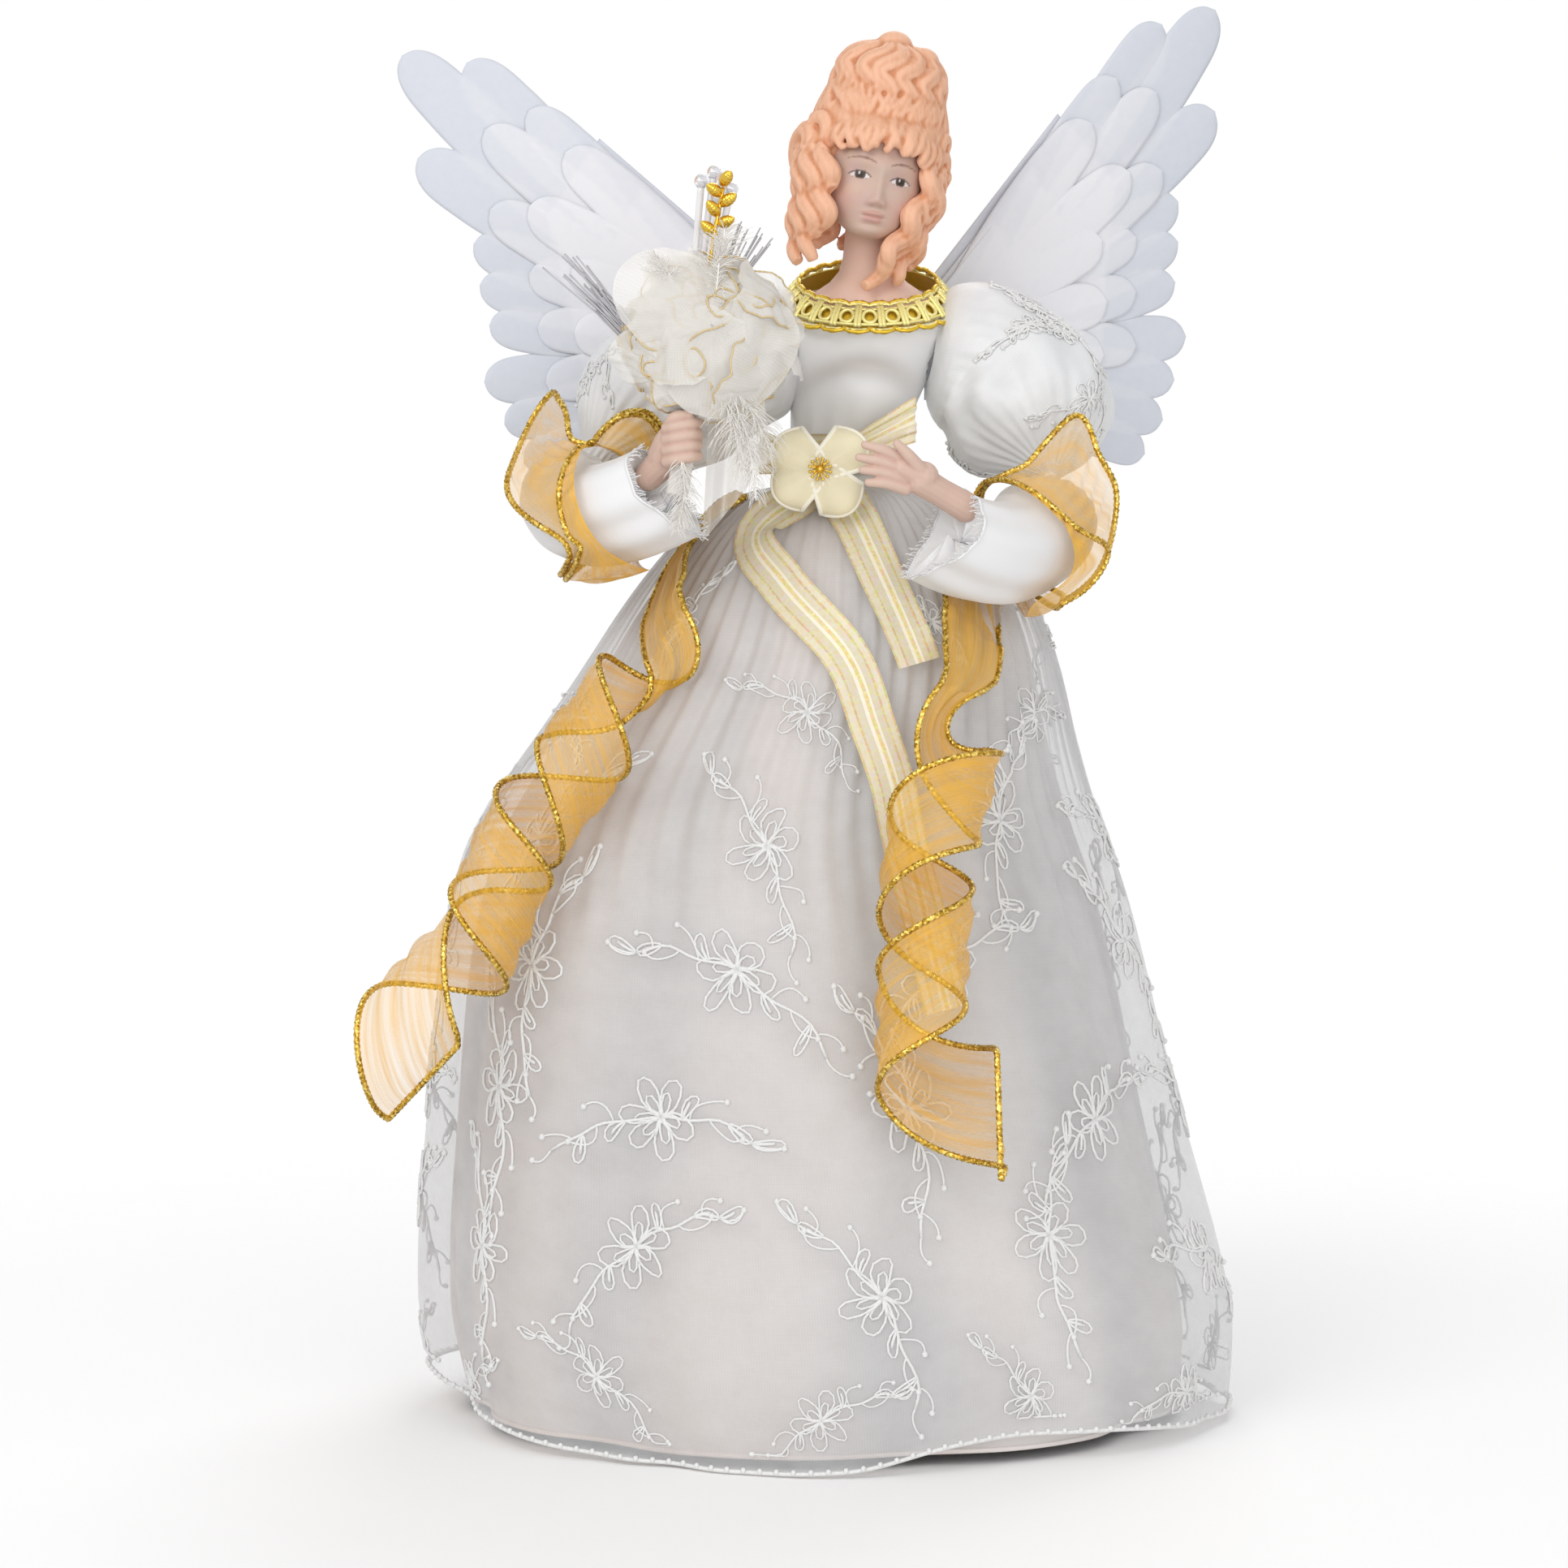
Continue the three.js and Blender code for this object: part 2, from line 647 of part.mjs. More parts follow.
// Braid round the neckline, lower in front and lying back on the shoulders
function buildCollar() {
  const braid = (u, v) => {
    const turn = u * TAU;
    const flare = (v - 0.5) * braidWidth * Math.sin(braidLean);
    const drop = (v - 0.5) * braidWidth * Math.cos(braidLean);
    const height = plateBottom + 8.7 + braidFrontDrop * Math.sin(turn) - drop;
    return point(
      neckShift + (shoulderHalfWidth + seatGap + flare) * Math.cos(turn),
      (shoulderHalfDepth + bodiceThickness + clothGap + braidThickness + flare) * Math.sin(turn),
      height,
    );
  };
  add('collar_braid', sheet(braid, 28, 1, braidThickness, true), goldBraid);
}

// Sash, bow, tails and flower at the waist
const sashBottom = skirtTop - 1;
const sashStandOff = clothGap + bodiceThickness + clothGap + sashThickness / 2;
const knotHalfDepth = 3;
const knotY = -(torsoDepthAt(flowerHeight) + sashStandOff + sashThickness / 2 + seatGap + knotHalfDepth);
const flowerX = -2;
const flowerY = knotY - 14;

function buildSash() {
  const band = (u, v) => {
    const turn = u * TAU;
    const height = sashBottom + 6 + sashBandHeight * (v - 0.1);
    const halfWidth = torsoWidthAt(height) + sashStandOff;
    const halfDepth = torsoDepthAt(height) + sashStandOff;
    return point(axisAt(height) + halfWidth * Math.cos(turn), halfDepth * Math.sin(turn), height);
  };
  add('waist_sash', sheet(band, torsoSides, 2, sashThickness, true), ivoryRibbon);

  const knot = point(flowerX, knotY, flowerHeight + 1);
  const loop = (reachX, reachZ, lean) => (u, v) => {
    const turn = 0.5 + u * (TAU - 1);
    const out = 0.5 * (1 - Math.cos(turn));
    const bulge = 2.6 * Math.sin(turn);
    const across = (v - 0.5) * sashRibbonWidth * (0.35 + 0.65 * out);
    return point(knot.x + reachX * out, knot.y + bulge + lean * out, knot.z + reachZ * out + across);
  };
  const loops = [[bowLoopLength, 13, -3], [-bowLoopLength * 0.62, 4, -1]].map(
    ([x, z, lean]) => sheet(loop(x, z, lean), 14, 1, sashThickness));
  const knotCore = lump(knot, 4.5, knotHalfDepth, 4.5, 1);
  add('sash_bow', join(knotCore, ...loops), ivoryRibbon);

  const tail = (bearingAt, top, bottom, standOff) => {
    const place = (u) => {
      const height = top + (bottom - top) * u;
      return overSkirt(THREE.MathUtils.degToRad(bearingAt(height)), height, standOff + sashThickness / 2);
    };
    return (u, v) => {
      const middle = place(u);
      const run = place(u + 0.01).sub(middle).normalize();
      const turn = THREE.MathUtils.degToRad(bearingAt(top + (bottom - top) * u));
      const out = point(Math.cos(turn), Math.sin(turn), 0.3).normalize();
      const side = out.cross(run).normalize();
      return middle.addScaledVector(side, (v - 0.5) * sashRibbonWidth);
    };
  };
  const longBearing = through([[110, -66], [125, -67], [180, -72], [200, -78], [220, -87], [238, -105],
    [252, -124]]);
  const shortBearing = through([[205, -64], [252, -82]]);
  add('sash_tail_long', sheet(tail(longBearing, 246, 124, 2.5 * clothGap), 26, 1, sashThickness),
    ivoryRibbon);
  add('sash_tail_short', sheet(tail(shortBearing, 256, 216, clothGap), 8, 1, sashThickness), ivoryRibbon);
}

function buildFlower() {
  const petals = [35, 125, 215, 305].map((bearing) => {
    const half = petalLength * 0.5;
    const petal = lump(point(half, 0, 0), half, petalWidth * 0.32, petalWidth * 0.5, 1);
    return petal.rotateY(-THREE.MathUtils.degToRad(bearing)).translate(flowerX, flowerY, flowerHeight);
  });
  const heartBack = knotY - knotHalfDepth - seatGap;
  const heart = limb(point(flowerX, flowerY, flowerHeight),
    point(flowerX, heartBack - heartRadius * 0.5, flowerHeight), heartRadius);
  const hollow = lump(point(flowerX, flowerY - petalWidth * 0.32, flowerHeight), 4.2, 4, 4.2, 1);
  add('ribbon_flower', cut(join(heart, ...petals), hollow), ivoryRibbon);
  const seat = flowerY - petalWidth * 0.32;
  const beads = Array.from({ length: 6 }, (_, i) => {
    const turn = (i / 6) * TAU;
    return lump(point(flowerX + 1.9 * Math.cos(turn), seat - 0.4, flowerHeight + 1.9 * Math.sin(turn)),
      stamenRadius, stamenRadius, stamenRadius, 0);
  });
  const pad = lump(point(flowerX, seat, flowerHeight), 3.4, 3.4, 3.4, 1);
  add('flower_stamens', join(pad, ...beads), goldBead);
}

// Curled ribbon that hangs down the skirt: straight at the top, then winding about its own line
function curledTail(bearingAt, heightAt, turns, startTurn, handed) {
  const radiusAt = through([[0, 0.4], [0.16, 3], [0.34, goldCurlRadius], [0.85, goldCurlRadius],
    [1, goldCurlRadius * 1.6]]);
  const widthAt = through([[0, 0.55], [0.2, 0.62], [0.4, 0.85], [1, 1]]);
  const standOffAt = through([[0, seatGap], [0.16, goldRibbonThickness + sashThickness + 4 * clothGap]]);
  const line = (t) => overSkirt(bearingAt(t), heightAt(t), radiusAt(t) * 1.12 + standOffAt(t));
  return (u, v) => {
    const t = u;
    const down = line(t + 0.01).sub(line(t - 0.01)).normalize();
    const out = point(Math.cos(bearingAt(t)), Math.sin(bearingAt(t)), 0);
    const side = down.clone().cross(out).normalize();
    const face = side.clone().cross(down).normalize();
    const wound = startTurn + handed * turns * TAU * Math.max(0, (t - 0.2) / 0.8);
    const radius = radiusAt(t);
    const flat = through([[0.12, 0], [0.34, 1]])(t);
    const breadth = goldRibbonWidth * widthAt(t) * (v - 0.5);
    return line(t)
      .addScaledVector(side, radius * Math.cos(wound))
      .addScaledVector(face, radius * Math.sin(wound))
      .addScaledVector(down, breadth * flat)
      .addScaledVector(side, breadth * (1 - flat));
  };
}

function buildGoldTails() {
  const degrees = THREE.MathUtils.degToRad;
  const rightBearing = through([
    [-0.1, degrees(-160)], [0.02, degrees(-149)], [0.12, degrees(-138)], [0.25, degrees(-127)],
    [0.55, degrees(-132)], [0.85, degrees(-138)], [1.1, degrees(-153)],
  ]);
  const rightHeight = through([[-0.1, 262], [0.25, 214], [1.1, 104]]);
  const leftBearing = through([
    [-0.1, degrees(-47)], [0.15, degrees(-57)], [0.3, degrees(-65)],
    [0.6, degrees(-71)], [1.1, degrees(-76)],
  ]);
  const leftHeight = through([[-0.1, 238], [0.3, 194], [1.1, 84]]);
  add('right_gold_tail', sheet(curledTail(rightBearing, rightHeight, 3, Math.PI, 1), 48, 1,
    goldRibbonThickness), goldOrganza);
  add('left_gold_tail', sheet(curledTail(leftBearing, leftHeight, 2.6, 0, -1), 48, 1,
    goldRibbonThickness), goldOrganza);
}

// Each arm is a wire from the shoulder round the elbow to the hand. The sleeve follows the same curve.
const sleeveStart = shoulderHalfWidth + bodiceThickness + 2 * clothGap + 0.6;
const leftArm = {
  name: 'left',
  shoulder: point(shoulderX + sleeveStart, 0, shoulderHeight),
  upper: point(shoulderX + sleeveStart + 36, 0, shoulderHeight - 11),
  elbow: point(73, -38, 231),
  mouth: point(34, -58, 250),
  grip: point(34, -58, 261),
  wireEnd: point(32, -59, 262),
  puff: puffRadius,
  pinch: armWireRadius + clothGap,
};
const rightArm = {
  name: 'right',
  shoulder: point(shoulderX - sleeveStart, 0, shoulderHeight),
  upper: point(shoulderX - sleeveStart - 42, 0, shoulderHeight - 6),
  elbow: point(-99, -28, 239),
  mouth: point(-47, -50, 262),
  grip: point(-40, -57, 276),
  wireEnd: point(-45.5, -54, 272),
  puff: puffRadius - 1.5,
  pinch: fibreBundleOffset + fibreBundleRadius + clothGap,
};

const sleeveCurve = (arm) => new THREE.CubicBezierCurve3(arm.shoulder, arm.upper, arm.elbow, arm.mouth);

// Frame of the sleeve at t: its centre and two directions across it
function sleeveFrame(arm, t) {
  const curve = sleeveCurve(arm);
  const along = curve.getTangent(Math.min(Math.max(t, 0), 1));
  const bend = arm.elbow.clone().sub(arm.shoulder).cross(arm.mouth.clone().sub(arm.elbow)).normalize();
  const first = bend.addScaledVector(along, -bend.dot(along)).normalize();
  const second = along.clone().cross(first);
  return { centre: curve.getPoint(t), first, second };
}

function sleeveSurface(arm, from, to, radiusAt, gathers, gatherDepth) {
  return (u, v) => {
    const t = from + (to - from) * Math.min(Math.max(v, 0), 1);
    const { centre, first, second } = sleeveFrame(arm, t);
    const turn = u * TAU;
    const radius = radiusAt(t) - gatherDepth(t) * 0.5 * (1 - Math.cos(gathers * turn));
    return centre
      .addScaledVector(first, radius * Math.cos(turn))
      .addScaledVector(second, radius * Math.sin(turn));
  };
}

const elbowAt = 0.5;
const wireBends = [0.1, 0.24, 0.38, elbowAt, 0.64];
const wrapFrom = 0.36;
const wrapTo = 0.7;

function puffRadiusAt(arm) {
  return through([
    [0, armholeRadius],
    [0.03, arm.puff * 0.7],
    [0.1, arm.puff * 0.88],
    [0.24, arm.puff],
    [0.36, arm.puff * 0.82],
    [elbowAt - 0.02, arm.pinch],
  ]);
}

function cuffRadiusAt(arm) {
  return through([
    [elbowAt + 0.03, arm.pinch],
    [elbowAt + 0.1, elbowRadius * 0.86],
    [0.8, elbowRadius * 0.92],
    [1, cuffRadius],
  ]);
}

function wrapRadiusAt(arm) {
  const puff = puffRadiusAt(arm);
  const from = wrapFrom;
  const to = wrapTo;
  const upper = puff(from) + wrapSeat;
  const lower = cuffRadiusAt(arm)(to) + wrapStandOff;
  return through([[from, upper], [0.44, Math.max(upper, elbowRadius + 4)], [0.6, elbowRadius + 3],
    [to, lower]]);
}

function buildSleeves(arm) {
  const puffGather = through([[0, 0], [0.1, puffGatherDepth], [0.36, puffGatherDepth],
    [elbowAt - 0.02, 0]]);
  const none = () => 0;
  const cuffGather = through([[0.7, 0], [1, 2.4]]);
  add(`${arm.name}_puff_sleeve`, sheet(
    sleeveSurface(arm, 0, elbowAt - 0.02, puffRadiusAt(arm), puffGathers, puffGather), 18, 5,
      sleeveThickness, true), organza);
  add(`${arm.name}_elbow_wrap`, sheet(
    sleeveSurface(arm, wrapFrom, wrapTo, wrapRadiusAt(arm), 1, none), 18, 4, goldRibbonThickness, true),
      goldOrganza);
  add(`${arm.name}_cuff`, sheet(
    sleeveSurface(arm, elbowAt + 0.03, 1, cuffRadiusAt(arm), 5, cuffGather), 15, 5, sleeveThickness,
      true), satin);
}

// Route of the arm's wire, from inside the torso to the hand
function wireRoute(arm) {
  const inward = Math.sign(shoulderX - arm.shoulder.x);
  const curve = sleeveCurve(arm);
  const start = point(shoulderX - inward * 3, 0, shoulderHeight);
  const leaving = point(shoulderX - inward * shoulderHalfWidth, 0, shoulderHeight);
  const bends = wireBends.map((t) => curve.getPoint(t));
  return [start, leaving, arm.shoulder.clone(), ...bends, curve.getPoint(0.82), arm.wireEnd.clone()];
}

function buildArmWire(arm) {
  add(`${arm.name}_arm_wire`, tube(wireRoute(arm), armWireRadius, 6, 2), wire);
}

// Lump stretched between two points
function limb(from, to, radius, detail = 1) {
  const run = to.clone().sub(from);
  const halfLength = run.length() / 2 + radius * 0.5;
  const ball = new THREE.IcosahedronGeometry(1, detail).scale(radius, radius, halfLength);
  const aim = new THREE.Quaternion().setFromUnitVectors(point(0, 0, 1), run.clone().normalize());
  const middle = from.clone().add(to).multiplyScalar(0.5);
  return ball.applyQuaternion(aim).translate(middle.x, middle.y, middle.z);
}

const holderBottom = point(rightArm.grip.x - 1.2, rightArm.grip.y - 0.4, rightArm.grip.z - 14);
const holderAxis = point(0.16, 0.08, 0.98).normalize();
const holderTop = holderBottom.clone().addScaledVector(holderAxis, holderLength);

function buildHands() {
  const fist = rightArm.grip;
  const room = tube(wireRoute(rightArm), armWireRadius + seatGap, 6, 2);
  const rodRoom = tube([holderBottom.clone().addScaledVector(holderAxis, -5), holderTop],
    holderRadius + seatGap);
  const knuckles = Array.from({ length: 4 }, (_, i) => {
    const height = fist.z + 4.4 - 2.9 * i;
    return limb(point(fist.x - 4, fist.y - 4.2, height), point(fist.x + 3.6, fist.y - 4.6, height + 0.8),
      fingerRadius * 1.15, 0);
  });
  const palm = lump(fist, palmRadius, palmRadius, palmRadius * 1.12, 1);
  add('right_hand', cut(join(palm, ...knuckles), room, rodRoom), skin);

  const wrist = leftArm.grip;
  const open = point(wrist.x - 10, wrist.y - 4, wrist.z + 6);
  const fingers = Array.from({ length: 4 }, (_, i) => {
    const root = point(open.x - 3, open.y - 0.8, open.z + 4.2 - 2.6 * i);
    return limb(root, point(root.x - 13 + Math.abs(i - 1.2) * 1.6, root.y - 1.6, root.z + 4.6 - i * 0.7),
      fingerRadius, 0);
  });
  const thumb = limb(point(open.x, open.y - 2.5, open.z + 3), point(open.x - 5, open.y - 4.5, open.z + 9),
    fingerRadius, 0);
  const forearm = limb(point(wrist.x + 3, wrist.y + 0.5, wrist.z - 1.5), open, palmRadius * 0.78, 1);
  const palmLeft = limb(point(wrist.x - 6, wrist.y - 2.4, wrist.z + 3.6),
    point(open.x - 3, open.y - 1, open.z + 1.5), palmRadius * 0.9, 1);
  const leftRoom = tube(wireRoute(leftArm), armWireRadius + seatGap, 6, 2);
  add('left_hand', cut(join(forearm, palmLeft, thumb, ...fingers), leftRoom), skin);
}

// Optical fibre: a trunk from the lamp up the torso, and a bundle down the right sleeve to the bouquet
const ferruleBottom = lampHeight + lampDepth / 2 + seatGap;
const ferruleTop = ferruleBottom + ferruleLength;

function trunkRoute() {
  const side = shoulderX - shoulderHalfWidth - 1;
  return [
    point(0, 0, ferruleBottom + 2),
    point(0, 0, coneHeight + 4),
    point(axisAt(250), 1, 250),
    point(axisAt(280) - 1, 4, 282),
    point(shoulderX - 6, 5.2, shoulderHeight - 5),
    point(side, 5.2, shoulderHeight),
  ];
}

function buildFibre() {
  add('fibre_trunk', tube(trunkRoute(), fibreTrunkRadius, 8, 2), fibre);
  const beside = [0.03, ...wireBends, 0.78].map((t) => {
    const { centre, first } = sleeveFrame(rightArm, t);
    return centre.addScaledVector(first, -fibreBundleOffset);
  });
  const foot = holderBottom.clone().addScaledVector(holderAxis, -seatGap);
  const turnIn = foot.clone().addScaledVector(holderAxis, -4);
  add('arm_fibre_bundle', tube([...beside, point(turnIn.x - 10, turnIn.y + 6, turnIn.z - 1), turnIn,
    foot], fibreBundleRadius, 6, 2), fibre);
}

// Bouquet: two ruffled cones on a holder, with the picks, plume and fibre ends standing in them
function ruffleSurface(base, radius, rise, waves, waveHeight) {
  return (u, v) => {
    const turn = u * TAU;
    const spread = holderRadius + seatGap + ruffleThickness / 2 + (radius - holderRadius) * v;
    const wave = waveHeight * v * Math.sin(waves * turn);
    return point(
      base.x + spread * Math.cos(turn),
      base.y + spread * (1 + (ruffleDepthRatio - 1) * v) * Math.sin(turn),
      base.z + rise * Math.max(v, 0) ** 1.25 + wave,
    );
  };
}

function strands(root, tips, radius) {
  const stub = lump(root, radius * 3, radius * 3, radius * 3, 1);
  return join(stub, ...tips.map((tip) => tube([root, tip], radius, 4)));
}

function buildBouquet() {
  add('bouquet_holder', tube([holderBottom, holderTop], holderRadius, 12), moulding);
  const outerBase = holderBottom.clone().addScaledVector(holderAxis, holderLength * 0.56);
  const innerBase = holderBottom.clone().addScaledVector(holderAxis, holderLength * 0.88);
  add('bouquet_ruffle_back', sheet(
    ruffleSurface(outerBase, ruffleRadius, ruffleRise, ruffleWaves, ruffleWaveHeight), 36, 2,
      ruffleThickness, true), tulle);
  add('bouquet_ruffle_front', sheet(
    ruffleSurface(innerBase, innerRuffleRadius, innerRuffleRise, ruffleWaves - 2, ruffleWaveHeight * 0.7),
      28, 2, ruffleThickness, true), tulle);

  const stand = (x, y) => holderTop.clone().add(point(x, y, 2 * seatGap + 0.2));
  const pickRoot = stand(-1.3, 0.4).add(point(0, 0, 3));
  const pickTips = [[1.6, 42], [5, 44.5], [7.6, 42.5], [9.6, 40], [6, 37.5]].map(
    ([x, z], i) => pickRoot.clone().add(point(x, i % 2 ? 1.6 : -0.6, z)));
  const stems = pickTips.map((tip) => tube([pickRoot, tip], 0.9, 4));
  const berries = pickTips.map((tip) => lump(tip, berryRadius, berryRadius, berryRadius, 0));
  add('berry_pick', join(post(1.4, 0, 5, 8).translate(pickRoot.x, pickRoot.y, pickRoot.z - 3), ...stems,
    ...berries), clearBerry);

  const sprigRoot = stand(1.3, -1.4);
  const sprigTop = sprigRoot.clone().add(point(5, -6, 47));
  const goldBerries = Array.from({ length: 7 }, (_, i) => {
    const along = 0.68 + 0.044 * i;
    const lean = i % 2 ? 1 : -1;
    const root = sprigRoot.clone().lerp(sprigTop, along);
    const tip = root.clone().add(point(lean * goldBerryLength * 1.2, -1.2, goldBerryLength));
    return limb(root, tip, goldBerryRadius * 0.8, 0);
  });
  add('gold_berry_sprig', join(tube([sprigRoot, sprigTop], 0.8, 4), ...goldBerries), goldBead);

  const tuftRoot = holderBottom.clone().addScaledVector(holderAxis, holderLength * 0.72);
  const outerRoot = tuftRoot.clone().add(point(-(holderRadius + seatGap + 1.3), 0, 0));
  const outerTips = Array.from({ length: 7 }, (_, i) =>
    outerRoot.clone().add(point(-33 + 1.8 * i, 2 - i, 31 + 1.6 * i - 0.25 * i * i)));
  add('fibre_tuft_outer', strands(outerRoot, outerTips, fibreStrandRadius), fibre);
  const innerRoot = stand(1.1, 1.7).add(point(0, 0, 1.2));
  const innerTips = Array.from({ length: 6 }, (_, i) =>
    innerRoot.clone().add(point(9 + 2.2 * i, 3, 34 - 0.9 * i)));
  add('fibre_tuft_inner', strands(innerRoot, innerTips, fibreStrandRadius), fibre);

  const plumeRoot = tuftRoot.clone().add(point(0, -(holderRadius + seatGap + 0.6), 0));
  const plume = (u, v) => {
    const wide = 9 * Math.sin(Math.PI * Math.min(0.94, 0.06 + 0.88 * u)) ** 0.8;
    return plumeRoot.clone().add(point(7 * u + (v - 0.5) * wide, -9.5 * u ** 0.8, 33 * u));
  };
  add('marabou_plume', sheet((u, v) => plume(Math.max(u, 0.02), v), 8, 1, 0.8), tulle);
}

// Wings: three layers of die-cut feathers a side.
// A feather has its tip [out, up], its bearing, its length and its width.
const backFeathers = [
  [87, 95.5, 55, 90, 18], [105.4, 100.5, 53, 99, 19], [105.4, 70.5, 40, 88, 19], [93, 43.5, 28, 70, 16],
  [93, 31.5, 22, 68, 15], [92, 19.5, 15, 66, 15], [96, 3.5, 5, 68, 16], [92, -9.5, -5, 66, 15],
  [88, -21.5, -13, 64, 15], [82, -31.5, -20, 60, 14],
];
const middleFeathers = [
  [71, 79, 53, 78, 16], [84.5, 75.5, 48, 81, 17], [86.5, 52.5, 37, 70, 16], [78, 32.5, 24, 60, 15],
  [78, 16.5, 12, 58, 15], [78, 0.5, 0, 58, 15],
];
const frontFeathers = [
  [62, 65.5, 49, 74, 17], [75, 51.5, 38, 73, 17], [65.5, 31.5, 26, 59, 16], [67.5, 13.5, 12, 57, 16],
  [66.5, -2.5, -3, 55, 16],
];

function featherShape(length, width) {
  const half = width / 2;
  const shape = new THREE.Shape();
  shape.moveTo(0, -half * 0.4);
  shape.quadraticCurveTo(length * 0.45, -half * 1.12, length * 0.8, -half * 0.9);
  shape.quadraticCurveTo(length, -half * 0.72, length, 0);
  shape.quadraticCurveTo(length, half * 0.72, length * 0.8, half * 0.9);
  shape.quadraticCurveTo(length * 0.45, half * 1.12, 0, half * 0.4);
  return shape;
}

// Flat sheet of joined feathers in the wing's own plane, with X out, Z up and its face on -Y
function featherLayer(feathers, palm, hand, front) {
  const settings = { depth: wingThickness, curveSegments: 2, bevelEnabled: false };
  const cutOuts = feathers.map(([out, up, bearing, length, width]) => {
    const turn = THREE.MathUtils.degToRad(bearing);
    const blade = new THREE.ExtrudeGeometry(featherShape(length, width), settings).rotateZ(turn);
    return blade.translate(out - length * Math.cos(turn), up - length * Math.sin(turn), 0);
  });
  const palmShape = new THREE.Shape(palm.map(([out, up]) => new THREE.Vector2(out, up)));
  const flat = join(new THREE.ExtrudeGeometry(palmShape, settings), ...cutOuts);
  const upright = flat.rotateX(Math.PI / 2);
  if (hand < 0) upright.scale(-1, 1, 1);
  return facingOut(upright.translate(0, -front, 0));
}

const wingPinY = shoulderHalfDepth + bodiceThickness + clothGap + seatGap + bracketThickness
  + wingPinRadius + seatGap + knuckleWall;
const wingPinX = (hand) => shoulderX + (hand > 0 ? leftKnuckleOut : -rightKnuckleOut);
const knuckleLength = wingPinLength - 4;
const knuckleTop = wingRootHeight;
const wingReach = 62;

function buildWing(name, hand, sweep, tilt) {
  const wing = new THREE.Group();
  wing.position.set(wingPinX(hand), wingPinY, wingRootHeight);
  wing.rotation.z = hand * sweep;
  angel.add(wing);
  const lift = wingPinRadius + seatGap + 0.4;
  const armTip = point(hand * wingReach * Math.cos(0.75 + tilt), 0, wingReach * Math.sin(0.75 + tilt));
  const pinTop = point(0, 0, lift + 1.5);
  add(`${name}_wing_wire`, tube([point(0, 0, -wingPinLength + 1), point(0, 0, -6), point(0, 0, lift),
    pinTop.clone().add(point(hand * 3, 0, 3.5)),
    armTip.clone().multiplyScalar(0.6), armTip], wingPinRadius, 8, 3), wire, wing);
  const palms = [
    [[8, -16], [8, 17], [52, 68], [70, 48], [65, -14]],
    [[7, -10], [7, 12], [42, 52], [53, 35], [48, -8]],
    [[6, -8], [6, 9], [30, 36], [40, 22], [38, -8]],
  ];
  const layers = [['back', backFeathers], ['middle', middleFeathers], ['front', frontFeathers]];
  layers.forEach(([layer, feathers], i) => {
    const front = wingPinRadius + seatGap + i * (wingThickness + wingLayerGap);
    const sheetMesh = add(`${name}_wing_feathers_${layer}`, featherLayer(feathers, palms[i], hand, front),
      featherSheet, wing);
    sheetMesh.rotation.y = -hand * tilt;
  });
}

function buildWingBracket() {
  const plateFront = shoulderHalfDepth + bodiceThickness + clothGap + seatGap + 0.6;
  const margin = 3;
  const low = knuckleTop - knuckleLength;
  const plate = block(point(wingPinX(-1) - margin, plateFront, low),
    point(wingPinX(1) + margin, plateFront + bracketThickness, knuckleTop));
  const outer = wingPinRadius + seatGap + knuckleWall;
  const knuckles = [1, -1].map((hand) =>
    post(outer, low, knuckleTop, 14).translate(wingPinX(hand), wingPinY, 0));
  const bores = [1, -1].map((hand) =>
    post(wingPinRadius + seatGap, low - 3, knuckleTop + 3, 12).translate(wingPinX(hand), wingPinY, 0));
  add('wing_bracket', cut(join(plate, ...knuckles), ...bores), moulding);
}

function buildLamp() {
  const low = lampHeight - lampDepth / 2;
  const high = lampHeight + lampDepth / 2;
  const well = ledRadius + seatGap;
  const body = turned([[0, low], [coneBoreAt(low) - seatGap, low], [coneBoreAt(high) - seatGap, high],
    [0, high]], 32);
  const leadBore = tube([point(0, 2, lampHeight), point(0, coneRadiusAt(low), lampHeight)],
    leadHoleRadius);
  const ledTop = high - 1;
  const ledFoot = ledTop - ledLength;
  add('lamp_housing', cut(body, post(well, ledFoot - seatGap, high + 2, 12), leadBore,
    post(well, lampHeight - 1.2, high, 12)), moulding);
  add('led_lamp', turned([[0, ledFoot], [ledRadius, ledFoot], [ledRadius, ledTop - ledRadius],
    [ledRadius * 0.7, ledTop - ledRadius * 0.3],
    [0, ledTop]], 12), clearBerry);
  const bore = fibreTrunkRadius + seatGap;
  add('fibre_ferrule', turnedRing([[bore, ferruleBottom], [bore + ferruleWall, ferruleBottom],
    [bore + ferruleWall, ferruleTop],
    [bore, ferruleTop]], 16), moulding);
}

// Battery box behind the cone, open to the rear under a sliding door, with a slide switch in its floor
const cellPitch = 2 * cellRadius + 0.6;
const pocketHalfWidth = (cellPitch * cellCount) / 2 + 0.4;
const pocketHeight = cellLength + 2 * (contactThickness + 2 * seatGap) + 1;
const boxTop = boxBottom + pocketHeight + 2 * boxWall;
const boxFront = coneRadiusAt(boxBottom) + seatGap + 0.5;
const pocketFront = boxFront + boxWall;
const pocketBack = pocketFront + 2 * cellRadius + 1;
const doorFront = pocketBack + seatGap;
const doorBack = doorFront + doorThickness;
const boxBack = doorBack + seatGap + doorLip;
const switchWide = 11;
const boxRight = pocketHalfWidth + boxWall;
const boxLeft = -(pocketHalfWidth + boxWall);
const switchLeft = boxLeft - switchWide;

